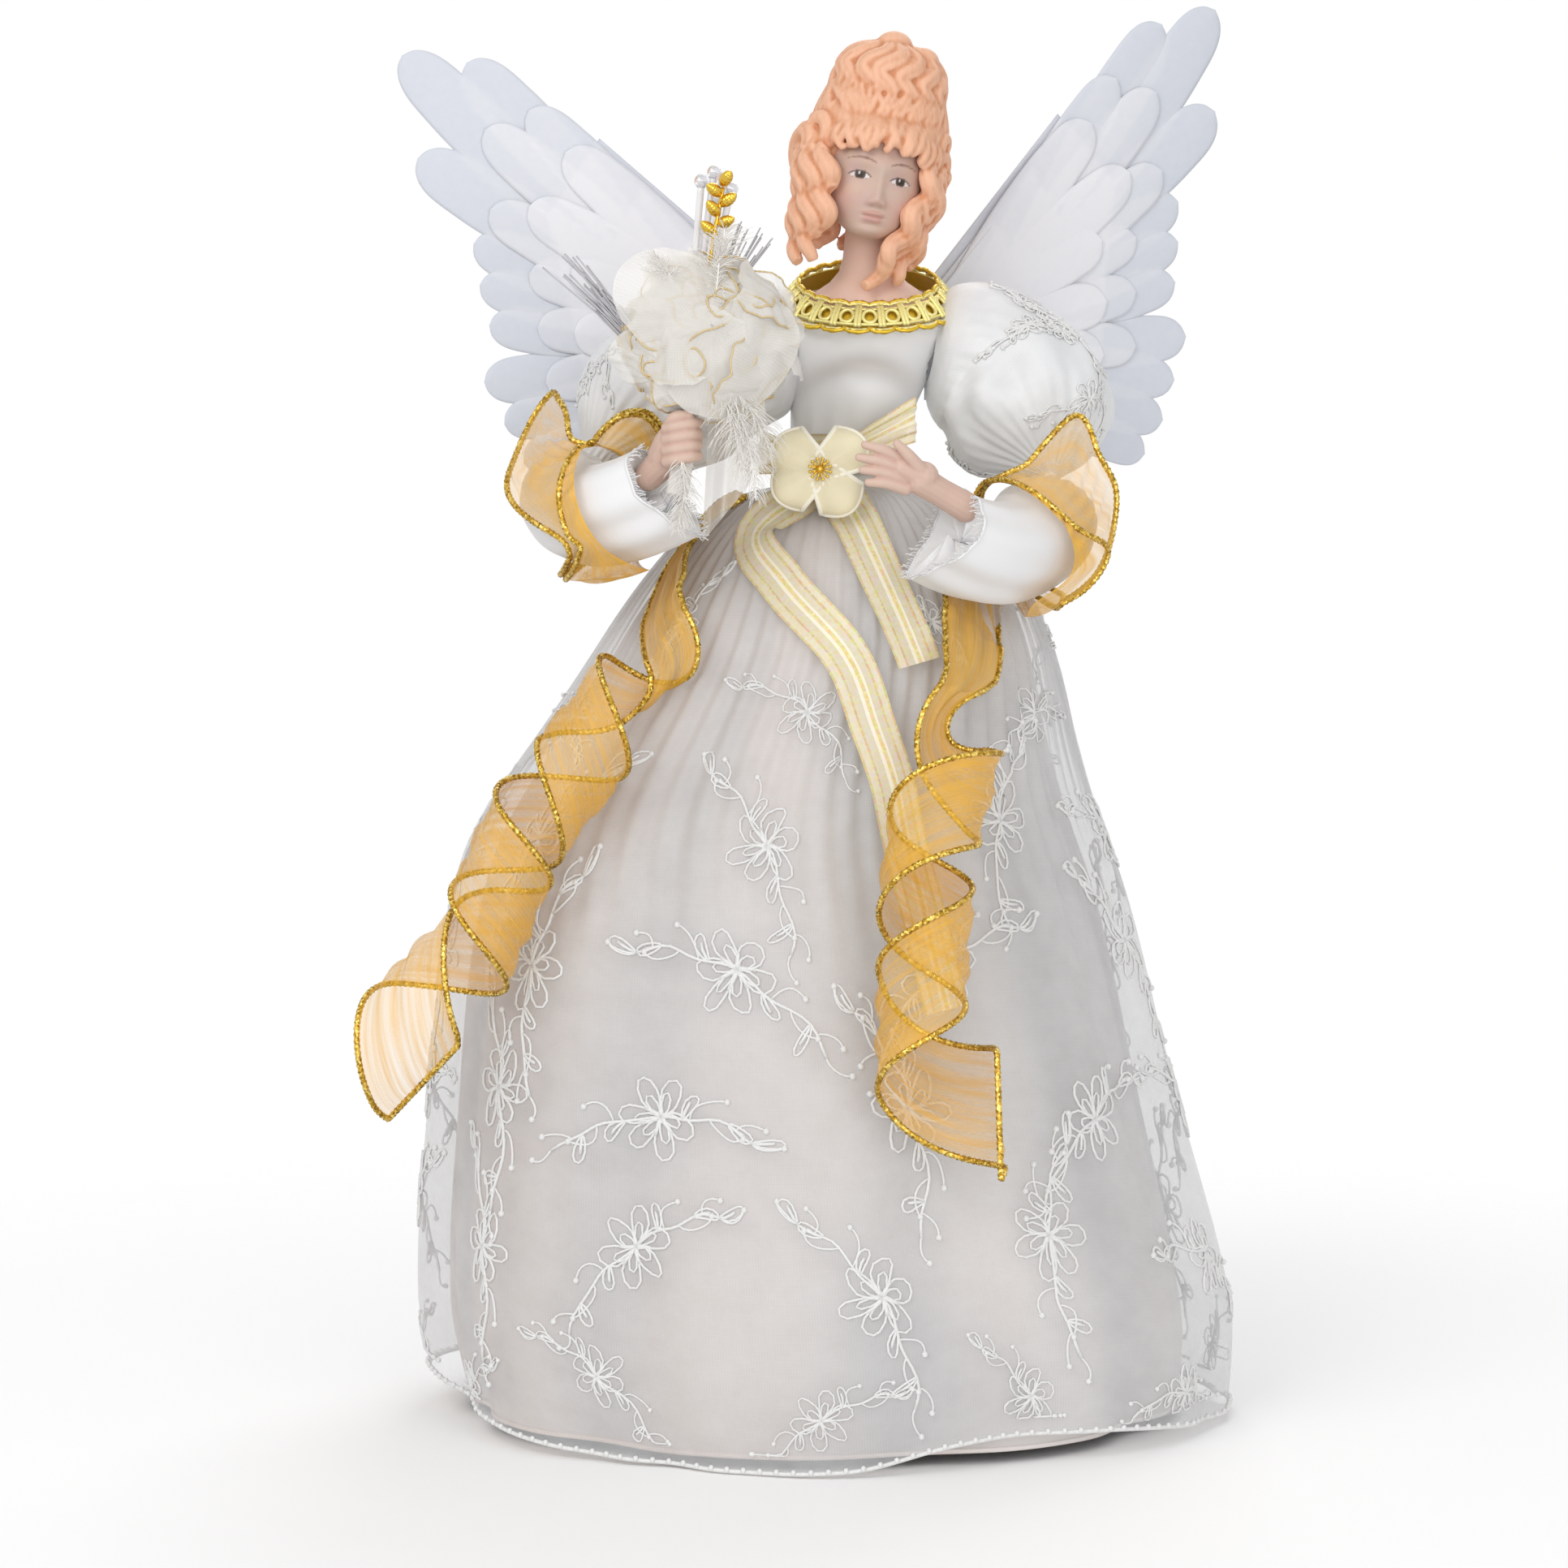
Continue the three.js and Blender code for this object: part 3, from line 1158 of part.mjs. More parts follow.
function buildBatteryBox() {
  const shell = join(
    block(point(boxLeft, boxFront, boxBottom), point(boxRight, boxBack, boxTop)),
    block(point(switchLeft, boxFront, boxBottom), point(boxLeft + 0.5, pocketBack, boxBottom + 14)),
    block(point(-12, coneRadiusAt(boxTop) - 4, boxTop - 22), point(12, boxFront + 0.5, boxTop - 6)),
  );
  const coneRoom = turned([[0, -5], [coneRadiusAt(-5) + seatGap, -5],
    [coneRadiusAt(boxTop + 20) + seatGap, boxTop + 20],
    [0, boxTop + 20]], 32);
  const pocket = block(point(-pocketHalfWidth, pocketFront, boxBottom + boxWall),
    point(pocketHalfWidth, boxBack + 2, boxTop - boxWall));
  const railLow = boxBottom + boxWall - doorLip;
  const railHigh = boxTop - boxWall + doorLip;
  const doorWay = block(point(boxLeft + boxWall * 0.5, pocketBack, railLow),
    point(boxRight + 2, doorBack + seatGap, railHigh));
  const doorMouth = block(point(boxLeft + boxWall + doorLip, doorFront, boxBottom + boxWall + 0.2),
    point(boxRight + 2, boxBack + 2, boxTop - boxWall - 0.2));
  const chamber = block(point(switchLeft + 1.5, boxFront + 2, boxBottom + boxWall),
    point(boxLeft - 1, pocketBack - 2, boxBottom + 11));
  const slotMiddle = (boxFront + pocketBack) / 2;
  const slot = block(point(switchSlotLeft, slotMiddle - 1.5, boxBottom - 2),
    point(switchSlotRight, slotMiddle + 1.5, boxBottom + boxWall + 1));
  const leadHole = post(leadRadius + seatGap, boxTop - boxWall - 2, boxTop + 2, 8).translate(0, leadY, 0);
  add('battery_box', cut(shell, coneRoom, pocket, doorWay, doorMouth, chamber, slot, leadHole), moulding);

  const doorLow = railLow + seatGap;
  const doorHigh = railHigh - seatGap;
  const panel = block(point(boxLeft + boxWall * 0.5 + seatGap, doorFront, doorLow),
    point(boxRight, doorBack, doorHigh));
  const ridges = [0, 1, 2].map((i) => block(point(boxRight - 4 - 2.4 * i, doorBack - 0.3, boxBottom + 18),
    point(boxRight - 2.8 - 2.4 * i, doorBack + 0.9, boxTop - 18)));
  add('battery_door', join(panel, ...ridges), moulding);

  const stemLeft = switchSlotLeft + seatGap;
  const stem = block(point(stemLeft, slotMiddle - 1.2, boxBottom - 2.6),
    point(stemLeft + stemLength, slotMiddle + 1.2, boxBottom + boxWall + 1.4));
  const flange = block(point(stemLeft - 0.8, slotMiddle - 2.6, boxBottom + boxWall + seatGap),
    point(stemLeft + stemLength + 0.8, slotMiddle + 2.6, boxBottom + boxWall + 1.8));
  const knob = block(point(stemLeft - 0.8, slotMiddle - 2.2, boxBottom - 2.8),
    point(stemLeft + stemLength + 0.8, slotMiddle + 2.2, boxBottom - seatGap));
  add('switch_slider', join(stem, flange, knob), cellSleeve);
}

const stemLength = 2.4;
const switchSlotLeft = switchLeft + 3;
const switchSlotRight = switchSlotLeft + stemLength + switchTravel + 2 * seatGap;
const leadY = boxFront + boxWall + cellRadius;

function buildCells() {
  const floor = boxBottom + boxWall + seatGap;
  const cellBottom = floor + contactThickness + seatGap + 0.5;
  const middle = pocketFront + cellRadius + seatGap;
  for (let i = 0; i < cellCount; i++) {
    const x = cellPitch * (i - (cellCount - 1) / 2);
    const flip = i % 2;
    const nub = 0.8;
    const can = turned(flip
      ? [[0, 0], [1.9, 0], [1.9, nub], [cellRadius, nub], [cellRadius, cellLength], [0, cellLength]]
      : [[0, 0], [cellRadius, 0], [cellRadius, cellLength - nub], [1.9, cellLength - nub],
        [1.9, cellLength], [0, cellLength]], 16);
    add(`battery_cell_${i + 1}`, can.translate(x, middle, cellBottom), cellSleeve);
  }
  const plate = (low) => block(point(-pocketHalfWidth + seatGap, pocketFront + seatGap, low),
    point(pocketHalfWidth - seatGap, pocketFront + 2 * cellRadius, low + contactThickness));
  add('contact_plate_bottom', plate(floor), wire);
  const topLow = boxTop - boxWall - seatGap - contactThickness;
  add('contact_plate_top', cut(plate(topLow),
    post(leadRadius + seatGap, topLow - 2, topLow + 3, 8).translate(0, leadY, 0)), wire);
}

function buildLead() {
  const standOff = leadRadius + clothGap + 1.2;
  const lampFoot = lampHeight - lampDepth / 2;
  const climb = [0.28, 0.53, 0.78].map((share) => {
    const height = boxTop + (lampHeight - boxTop) * share;
    return point(0, coneRadiusAt(height) + standOff, height);
  });
  add('lamp_lead', tube([
    point(0, leadY, boxTop - boxWall + 0.5),
    point(0, leadY, boxTop + 4),
    ...climb,
    point(0, coneRadiusAt(lampFoot) + standOff + 0.5, lampFoot + 1),
    point(0, coneRadiusAt(lampHeight) + 2, lampHeight),
    point(0, coneBoreAt(lampHeight) - 6, lampHeight),
    point(0, ledRadius + 3, lampHeight),
  ], leadRadius, 6, 2), leadJacket);
}

buildCone();
buildTorso();
buildSkirt();
buildBodice();
buildHead();
buildHair();
buildCollar();
buildSash();
buildFlower();
buildGoldTails();
for (const arm of [rightArm, leftArm]) {
  buildArmWire(arm);
  buildSleeves(arm);
}
buildHands();
buildFibre();
buildBouquet();
buildWingBracket();
buildWing('right', -1, rightWingSweep, rightWingTilt);
buildWing('left', 1, leftWingSweep, leftWingTilt);
buildLamp();
buildBatteryBox();
buildCells();
buildLead();

export default angel;
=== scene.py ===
"""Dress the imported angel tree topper: cloth, ribbons, hair, face, feathers and finishes.

Lengths in the code are millimetres in the frame's own axes, and MM turns them to metres.
The angel faces -Y. Left and right are the angel's own.
"""

import json
import math
import random

import bpy
import numpy as np
from bpy.props import FloatProperty, FloatVectorProperty, IntProperty, PointerProperty
from mathutils import Matrix, Vector

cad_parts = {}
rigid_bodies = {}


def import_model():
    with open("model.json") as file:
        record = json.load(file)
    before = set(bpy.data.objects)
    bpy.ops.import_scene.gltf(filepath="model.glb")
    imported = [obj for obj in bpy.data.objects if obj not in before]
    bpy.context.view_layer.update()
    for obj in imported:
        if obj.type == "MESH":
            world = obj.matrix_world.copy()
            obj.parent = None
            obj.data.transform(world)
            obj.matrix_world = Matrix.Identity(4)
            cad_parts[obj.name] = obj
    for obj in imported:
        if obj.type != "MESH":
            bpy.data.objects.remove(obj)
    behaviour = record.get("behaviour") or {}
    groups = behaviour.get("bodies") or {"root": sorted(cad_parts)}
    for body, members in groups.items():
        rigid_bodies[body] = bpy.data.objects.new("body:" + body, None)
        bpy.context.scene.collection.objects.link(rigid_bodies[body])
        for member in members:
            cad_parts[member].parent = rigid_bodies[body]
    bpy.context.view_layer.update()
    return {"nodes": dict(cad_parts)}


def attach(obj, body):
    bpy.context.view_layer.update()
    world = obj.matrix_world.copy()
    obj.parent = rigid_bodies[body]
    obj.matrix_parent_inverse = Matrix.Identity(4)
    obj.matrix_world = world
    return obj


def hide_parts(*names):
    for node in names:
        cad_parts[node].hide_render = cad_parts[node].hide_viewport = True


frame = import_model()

bl_info = {
    "name": "Angel tree topper",
    "version": (1, 0, 0),
    "blender": (4, 5, 0),
    "location": "View3D > Sidebar > Angel",
    "description": "Builds the cloth, ribbons, hair, face and feathers of an angel tree topper",
    "category": "Add Mesh",
}

MM = 0.001
TAU = math.tau
# Every finish by a short name, once it is mixed
FINISH = {}


# Colour and nodes

def linear(hex_colour):
    """Linear RGB of an sRGB hex colour."""
    channels = [int(hex_colour[i:i + 2], 16) / 255 for i in (1, 3, 5)]
    return tuple(c / 12.92 if c <= 0.04045 else ((c + 0.055) / 1.055) ** 2.4 for c in channels)


def opaque(colour):
    """The same colour with full alpha, as a node socket takes it."""
    return (*colour, 1.0)


def add_node(tree, kind, settings=None, links=None):
    """Add one node with its settings and the sockets that feed its inputs."""
    node = tree.nodes.new(kind)
    for key, value in (settings or {}).items():
        if isinstance(key, str) and hasattr(node, key):
            setattr(node, key, value)
        else:
            node.inputs[key].default_value = value
    for key, socket in (links or {}).items():
        tree.links.new(socket, node.inputs[key])
    return node


def new_finish(name, settings):
    """A material with one Principled shader: the material, its tree and the shader."""
    finish = bpy.data.materials.new(name)
    finish.use_nodes = True
    tree = finish.node_tree
    shader = tree.nodes["Principled BSDF"]
    for socket, value in settings.items():
        shader.inputs[socket].default_value = value
    return finish, tree, shader


def bands(spacing):
    """Scale of a Wave Texture whose bands are this far apart."""
    return TAU / (20 * spacing)


# Curves and meshes

def through(pairs):
    """Smooth curve through (position, value) pairs, level beyond its ends."""
    at = np.array([pair[0] for pair in pairs], float)
    value = np.array([pair[1] for pair in pairs], float)
    before = np.maximum(np.arange(len(at)) - 1, 0)
    after = np.minimum(np.arange(len(at)) + 1, len(at) - 1)
    slope = (value[after] - value[before]) / (at[after] - at[before])

    def curve(s):
        s = np.asarray(s, float)
        i = np.clip(np.searchsorted(at, s, side="right") - 1, 0, len(at) - 2)
        span = at[i + 1] - at[i]
        t = np.clip((s - at[i]) / span, 0, 1)
        rise = value[i + 1] - value[i]
        lead = slope[i] * span - rise
        trail = rise - slope[i + 1] * span
        return value[i] + rise * t + t * (1 - t) * (lead * (1 - t) + trail * t)

    return curve


def compass(degrees):
    """Cosine and sine of a bearing in degrees."""
    turn = math.radians(degrees)
    return math.cos(turn), math.sin(turn)


def rotation(degrees, axis):
    """Rotation about one axis."""
    return Matrix.Rotation(math.radians(degrees), 3, axis)


def unit(vectors):
    """Vectors of length one."""
    length = np.linalg.norm(vectors, axis=-1, keepdims=True)
    return vectors / np.maximum(length, 1e-9)


def place(x, y, z):
    """Stack coordinates of any like shape into points."""
    return np.stack(np.broadcast_arrays(x, y, z), axis=-1).astype(float)


def smooth_path(points, per_span=8):
    """Catmull-Rom path through given points."""
    p = np.array(points, float)
    p = np.vstack([2 * p[0] - p[1], p, 2 * p[-1] - p[-2]])
    t = np.linspace(0, 1, per_span, endpoint=False)[:, None]
    spans = []
    for a, b, c, d in zip(p[:-3], p[1:-2], p[2:-1], p[3:]):
        spans.append(0.5 * (2 * b + (c - a) * t + (2 * a - 5 * b + 4 * c - d) * t ** 2
                            + (3 * b - a - 3 * c + d) * t ** 3))
    return np.vstack([*spans, p[-2:-1]])


def even_path(points, step):
    """The same path with points about one step apart."""
    run = np.concatenate([[0], np.cumsum(np.linalg.norm(np.diff(points, axis=0), axis=1))])
    count = max(2, int(round(run[-1] / step)) + 1)
    at = np.linspace(0, run[-1], count)
    return np.stack([np.interp(at, run, points[:, k]) for k in range(3)], axis=1)


def path_frames(path, closed=False):
    """Two directions across a path that turn with it and don't twist."""
    if closed:
        along = unit(np.roll(path, -1, axis=0) - np.roll(path, 1, axis=0))
    else:
        along = unit(np.gradient(path, axis=0))
    across = np.cross(along[0], (0, 0, 1))
    if np.linalg.norm(across) < 0.2:
        across = np.cross(along[0], (1, 0, 0))
    first = np.empty_like(path)
    for i, direction in enumerate(along):
        across = across - direction * np.dot(across, direction)
        across = across / max(np.linalg.norm(across), 1e-9)
        first[i] = across
    second = np.cross(along, first)
    if closed:
        slip = math.atan2(np.dot(first[-1], second[0]), np.dot(first[-1], first[0]))
        turn = -slip * np.arange(len(path)) / len(path)
        c, s = np.cos(turn)[:, None], np.sin(turn)[:, None]
        first, second = first * c + second * s, second * c - first * s
    return first, second


class Piece:
    """Corners, faces and pattern coordinates of one piece, gathered in millimetres."""

    def __init__(self):
        self.points, self.faces, self.weave, self.finish, self.tone = [], [], [], [], []
        self.count = 0

    def add(self, points, faces, weave, finish=0, tone=0.0):
        """Add corners and faces, with a pattern coordinate for each face corner."""
        points = np.asarray(points, float).reshape(-1, 3)
        self.points.append(points)
        self.faces += [[corner + self.count for corner in face] for face in faces]
        self.weave += [np.asarray(weave, float).reshape(-1, 2)]
        self.finish += [finish] * len(faces)
        self.tone.append(np.broadcast_to(np.asarray(tone, float).reshape(-1), (len(points),)))
        self.count += len(points)

    def grid(self, points, closed=False, weave=None, finish=0, tone=0.0, keep=None):
        """Surface through rows of points, closed into a ring or open, with only the kept faces."""
        rows, columns = points.shape[:2]
        across = columns if closed else columns - 1
        if weave is None:
            weave = surface_run(points, closed)
        j, i = np.meshgrid(np.arange(rows - 1), np.arange(across), indexing="ij")
        after = (i + 1) % columns
        faces = np.stack([j * columns + i, j * columns + after,
                          (j + 1) * columns + after, (j + 1) * columns + i], axis=-1).reshape(-1, 4)
        corners = np.stack([weave[j, i], weave[j, i + 1], weave[j + 1, i + 1], weave[j + 1, i]], axis=2)
        corners = corners.reshape(-1, 4, 2)
        if keep is not None:
            faces, corners = faces[keep.ravel()], corners[keep.ravel()]
        tone = np.broadcast_to(tone, (rows, columns)) if np.ndim(tone) else tone
        self.add(points, faces.tolist(), corners, finish, tone)

    def tube(self, path, radius, sides=6, closed=False, finish=0, tone=0.0, ridges=None, groove_shade=0.0):
        """Round cord along a path, capped at its ends.

        Ridges is (count, depth, pitch) of a twist; the last argument is how much painted shade its hollows
        take on in their tone.
        """
        path = np.asarray(path, float)
        first, second = path_frames(path, closed)
        turn = np.arange(sides) / sides * TAU
        radius = np.broadcast_to(np.asarray(radius, float), (len(path),))[:, None]
        run = np.concatenate([[0], np.cumsum(np.linalg.norm(np.diff(path, axis=0), axis=1))])
        wave = np.ones((len(path), sides))
        if ridges:
            strands, depth, pitch = ridges
            wave = np.cos(strands * turn[None] - TAU * run[:, None] / pitch)
            radius = radius * (1 + depth * wave)
        ring = (path[:, None] + radius[..., None] * (first[:, None] * np.cos(turn)[None, :, None]
                                                     + second[:, None] * np.sin(turn)[None, :, None]))
        weave = place(run[:, None], np.linspace(0, TAU * radius.mean(), sides + 1)[None], 0)[..., :2]
        tone = np.broadcast_to(np.asarray(tone, float), (len(path),))[:, None] + groove_shade * (1 - wave) / 2
        if closed:
            ring = np.concatenate([ring, ring[:1]])
            weave = np.concatenate([weave, weave[-1:] + (run[1], 0)])
            tone = np.concatenate([tone, tone[:1]])
        self.grid(ring, True, weave, finish, tone)
        if not closed:
            start = self.count - ring.shape[0] * sides
            last = self.count - sides
            self.faces += [list(range(start + sides - 1, start - 1, -1)), list(range(last, last + sides))]
            self.weave += [np.zeros((2 * sides, 2))]
            self.finish += [finish] * 2

    def ball(self, centre, radius, sides=8, finish=0, tone=0.0):
        """Small round bead or knot, with its own half sizes if radius holds three."""
        low, high = -math.pi / 2, math.pi / 2
        rise = np.linspace(low, high, sides // 2 + 2)[1:-1, None]
        turn = (np.arange(sides) / sides * TAU)[None]
        shell = place(np.cos(rise) * np.cos(turn), np.cos(rise) * np.sin(turn), np.sin(rise))
        size = np.broadcast_to(np.asarray(radius, float), (3,))
        self.grid(np.asarray(centre) + shell * size, True, None, finish, tone)
        rings = shell.shape[0]
        start = self.count - rings * sides
        poles = np.asarray(centre) + np.array([(0, 0, -1), (0, 0, 1)]) * size
        self.points.append(poles)
        self.tone.append(np.full(2, float(np.mean(tone))))
        bottom, top = self.count, self.count + 1
        last = start + (rings - 1) * sides
        for i in range(sides):
            after = (i + 1) % sides
            self.faces += [[bottom, start + after, start + i], [top, last + i, last + after]]
        self.weave += [np.zeros((6 * sides, 2))]
        self.finish += [finish] * (2 * sides)
        self.count += 2

    def publish(self, name, body, slot, finishes, replaces=(), rides=True):
        """Make the Blender object, then hide the nodes it stands for and set it on its body."""
        mesh = bpy.data.meshes.new(name)
        mesh.from_pydata((np.vstack(self.points) * MM).tolist(), [], self.faces)
        weave = mesh.uv_layers.new(name="weave")
        weave.data.foreach_set("uv", np.vstack(self.weave).astype(np.float32).ravel())
        tone = mesh.attributes.new("tone", "FLOAT", "POINT")
        tone.data.foreach_set("value", np.concatenate(self.tone).astype(np.float32))
        mesh.polygons.foreach_set("material_index", np.array(self.finish, np.int32))
        mesh.polygons.foreach_set("use_smooth", np.ones(len(mesh.polygons), bool))
        for finish in finishes:
            mesh.materials.append(FINISH[finish])
        mesh.validate(clean_customdata=False)
        mesh.update()
        piece = bpy.data.objects.new(name, mesh)
        bpy.context.scene.collection.objects.link(piece)
        hand_over(piece, body, replaces, rides)
        return piece


def hand_over(piece, body, replaces=(), rides=True):
    """Hide the nodes a piece stands for, and set it on the body it rides on."""
    if replaces:
        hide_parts(*replaces)
    if rides:
        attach(piece, body)


def surface_run(points, closed):
    """Pattern coordinates in millimetres along the columns and rows of a surface."""
    ring = np.concatenate([points, points[:, :1]], axis=1) if closed else points
    across = np.linalg.norm(np.diff(ring, axis=1), axis=2).mean(axis=0)
    down = np.linalg.norm(np.diff(points, axis=0), axis=2).mean(axis=1)
    u = np.concatenate([[0], np.cumsum(across)])
    v = np.concatenate([[0], np.cumsum(down)])
    return place(u[None, :], v[:, None], 0)[..., :2]


def uneven(amount, seed):
    """Seeded random number either side of nought."""
    return random.Random(seed).uniform(-amount, amount)


def length_of(points):
    """Length along a row of points, in metres."""
    return float(np.linalg.norm(np.diff(points, axis=0), axis=1).sum()) * MM


# Lines of the construction that the cloth follows

WAIST_HEIGHT = 268
TORSO_TOP = 309
NECK_SHIFT = 12
SHOULDER_HEIGHT = 303
SKIRT_TOP = 264
SKIRT_FOLDS = 8
ORGANZA_STAND_OFF = 0.4

axis_at = through([(222, 0), (WAIST_HEIGHT, 4.5), (TORSO_TOP, NECK_SHIFT)])
torso_width_at = through([(222, 16), (WAIST_HEIGHT, 13), (291, 16.5), (305, 22), (TORSO_TOP, 22)])
torso_depth_at = through([(222, 16), (WAIST_HEIGHT, 11.5), (291, 14), (305, 16), (TORSO_TOP, 16)])
skirt_profile = through([
    (0, 112), (30, 115.5), (80, 109), (150, 96), (200, 74),
    (227, 61), (245, 49), (256, 38), (262, 28), (SKIRT_TOP, 19),
])
skirt_ratio_at = through([(225, 0.9), (245, 0.78), (257, 0.74), (SKIRT_TOP, 0.9)])
skirt_shift = through([(0, 0), (160, -10.5), (220, 0), (SKIRT_TOP, 4.2)])
fold_depth_at = through([(0, 7), (180, 4.9), (SKIRT_TOP, 1.2)])
layer_gap_at = through([(224, 1.6), (244, 2.2), (SKIRT_TOP, 2.2)])
hem_lift_at = through([
    (-20, 1), (60, 3), (120, 4), (180, 10), (215, 4), (240, 0),
    (272, 0), (290, 6), (312, 6), (340, 1), (420, 3),
])


def skirt_point(turn, height, radius):
    """Point of the skirt at a bearing, a height and a radius."""
    return place(skirt_shift(height) + radius * np.cos(turn),
                 skirt_ratio_at(height) * radius * np.sin(turn), height)


def torso_point(turn, height, stand_off):
    """Point that stands off the torso at a bearing and a height."""
    return place(axis_at(height) + (torso_width_at(height) + stand_off) * np.cos(turn),
                 (torso_depth_at(height) + stand_off) * np.sin(turn), height)


def over_skirt(turn, height, stand_off):
    """Point clear of every fold of the skirt."""
    return skirt_point(turn, height, skirt_profile(height) + 0.8 + stand_off)


def overlay_radius(turn, height):
    """Radius of the organza: broad folds at the hem that break up into gathers at the waist."""
    depth = fold_depth_at(height)
    wander = 0.5 * np.sin(2 * turn + height / 60)
    broad = 0.5 * (1 + np.cos(SKIRT_FOLDS * turn + wander))
    narrow = 0.5 * (1 + np.cos(21 * turn + 1.6 * np.sin(3 * turn + height / 47) + height / 80))
    gathers = 0.5 * (1 + np.cos(67 * turn + 2.2 * np.sin(5 * turn) + 0.9 * np.sin(height / 13)))
    high = np.clip((height - 130) / 110, 0, 1)
    fold = broad * (1 - 0.55 * high) + narrow * 0.32 * (1 - broad) + (gathers * 0.75 - 0.15) * high
    fold = np.clip(fold, 0, 1)
    bearing = np.mod(turn, TAU)
    corner = np.exp(-((bearing - math.radians(342)) / 0.3) ** 2) * 9 * np.maximum(0, 1 - height / 110)
    return skirt_profile(height) - depth * (1 - fold) + corner


def lining_fold(turn, height):
    """How deep in a fold a point of the lining is: nought on a crest, one in a hollow."""
    fold = 0.5 * (1 + np.cos(9 * turn + 1.3 * np.sin(2 * turn + height / 90)))
    return fold ** 2 * np.clip((255 - height) / 60, 0, 1)


def lining_painted_light(turn, height):
    """Painted light and shade on the lining: paler in front and on one low swell, greyer beside it and in its
    folds.
    """
    def near(bearing, spread, level, rise):
        return np.exp(-((np.degrees(turn) - bearing) / spread) ** 2 - ((height - level) / rise) ** 2)

    shade = 0.35 + 0.5 * lining_fold(turn, height)
    shade = shade + 0.45 * near(280, 9, 30, 28) + 0.2 * near(320, 22, 120, 90)
    return np.clip(shade - 0.45 * near(297, 13, 56, 20) - 0.5 * near(264, 11, 240, 60), 0, 1)


def lining_radius(turn, height):
    """Radius of the lining, a little inside the organza and with a few deep soft folds of its own."""
    inside = skirt_profile(height) - fold_depth_at(height) - layer_gap_at(height) - 1.2
    return inside - 4.5 * lining_fold(turn, height)


# Finishes

# Thread spacings in millimetres, drawn coarser than real ones so that they show
TAFFETA_WEFT, ORGANZA_THREADS, STITCH_TWIST = 0.5, 0.6, 0.9
# Patterns on a cloth's own UV map, per millimetre: patches of 11, streaks of 1.7 and glitter of 0.9
ORGANZA_CLOUDS, GOLD_STREAKS, RIBBON_GLITTER = 0.09, 0.6, 1.1
# Patterns in space, per metre: casts of 110 millimetres, painted glints of 0.7, mottle of 4 and strands of
# 1.2
LINING_CASTS, CORD_PAINTED_GLINTS, BISQUE_MOTTLE, HAIR_STRANDS = 9.0, 1500.0, 260.0, 850.0
# Soft patches of 2.4 millimetres in plating and of 3.3 in acrylic, per metre too
PLATING_PATCHES, ACRYLIC_CLOUDS = 420.0, 300.0


def lining_finish(colours):
    """Polyester taffeta: plain woven and matt, white with a warm cast on one side, and painted shade in its
    folds.
    """
    finish, tree, shader = new_finish("white_taffeta", {"Roughness": 0.78, "Sheen Weight": 0.15})
    where = add_node(tree, "ShaderNodeTexCoord")
    split = add_node(tree, "ShaderNodeSeparateXYZ", None, {"Vector": where.outputs["Object"]})
    side = add_node(tree, "ShaderNodeMapRange",
                    {"From Min": 0.06, "From Max": -0.06, "To Min": -0.25, "To Max": 0.45},
                    {"Value": split.outputs["X"]})
    drift = add_node(tree, "ShaderNodeTexNoise", {"Scale": LINING_CASTS, "Detail": 1.0},
                     {"Vector": where.outputs["Object"]})
    cast = add_node(tree, "ShaderNodeMath", {"operation": "ADD", "use_clamp": True},
                    {0: drift.outputs["Fac"], 1: side.outputs["Result"]})
    tint = add_node(tree, "ShaderNodeMix",
                    {"data_type": "RGBA", 6: opaque(colours.lining), 7: opaque(colours.lining_warm)},
                    {0: cast.outputs[0]})
    # Painted shade and light: the tone mixes in the fold colour, greyer in folds and beside the front, paler
    # in front
    tone = add_node(tree, "ShaderNodeAttribute", {"attribute_name": "tone"})
    folded = add_node(tree, "ShaderNodeMix", {"data_type": "RGBA", 7: opaque(colours.lining_fold)},
                      {0: tone.outputs["Fac"], 6: tint.outputs[2]})
    weft = add_node(tree, "ShaderNodeTexWave",
                    {"Scale": bands(TAFFETA_WEFT), "bands_direction": "Y", "Distortion": 0.6},
                    {"Vector": where.outputs["UV"]})
    relief = add_node(tree, "ShaderNodeBump", {"Strength": 0.12, "Distance": 0.0002},
                      {"Height": weft.outputs["Fac"]})
    tree.links.new(folded.outputs[2], shader.inputs["Base Color"])
    tree.links.new(relief.outputs["Normal"], shader.inputs["Normal"])
    return finish


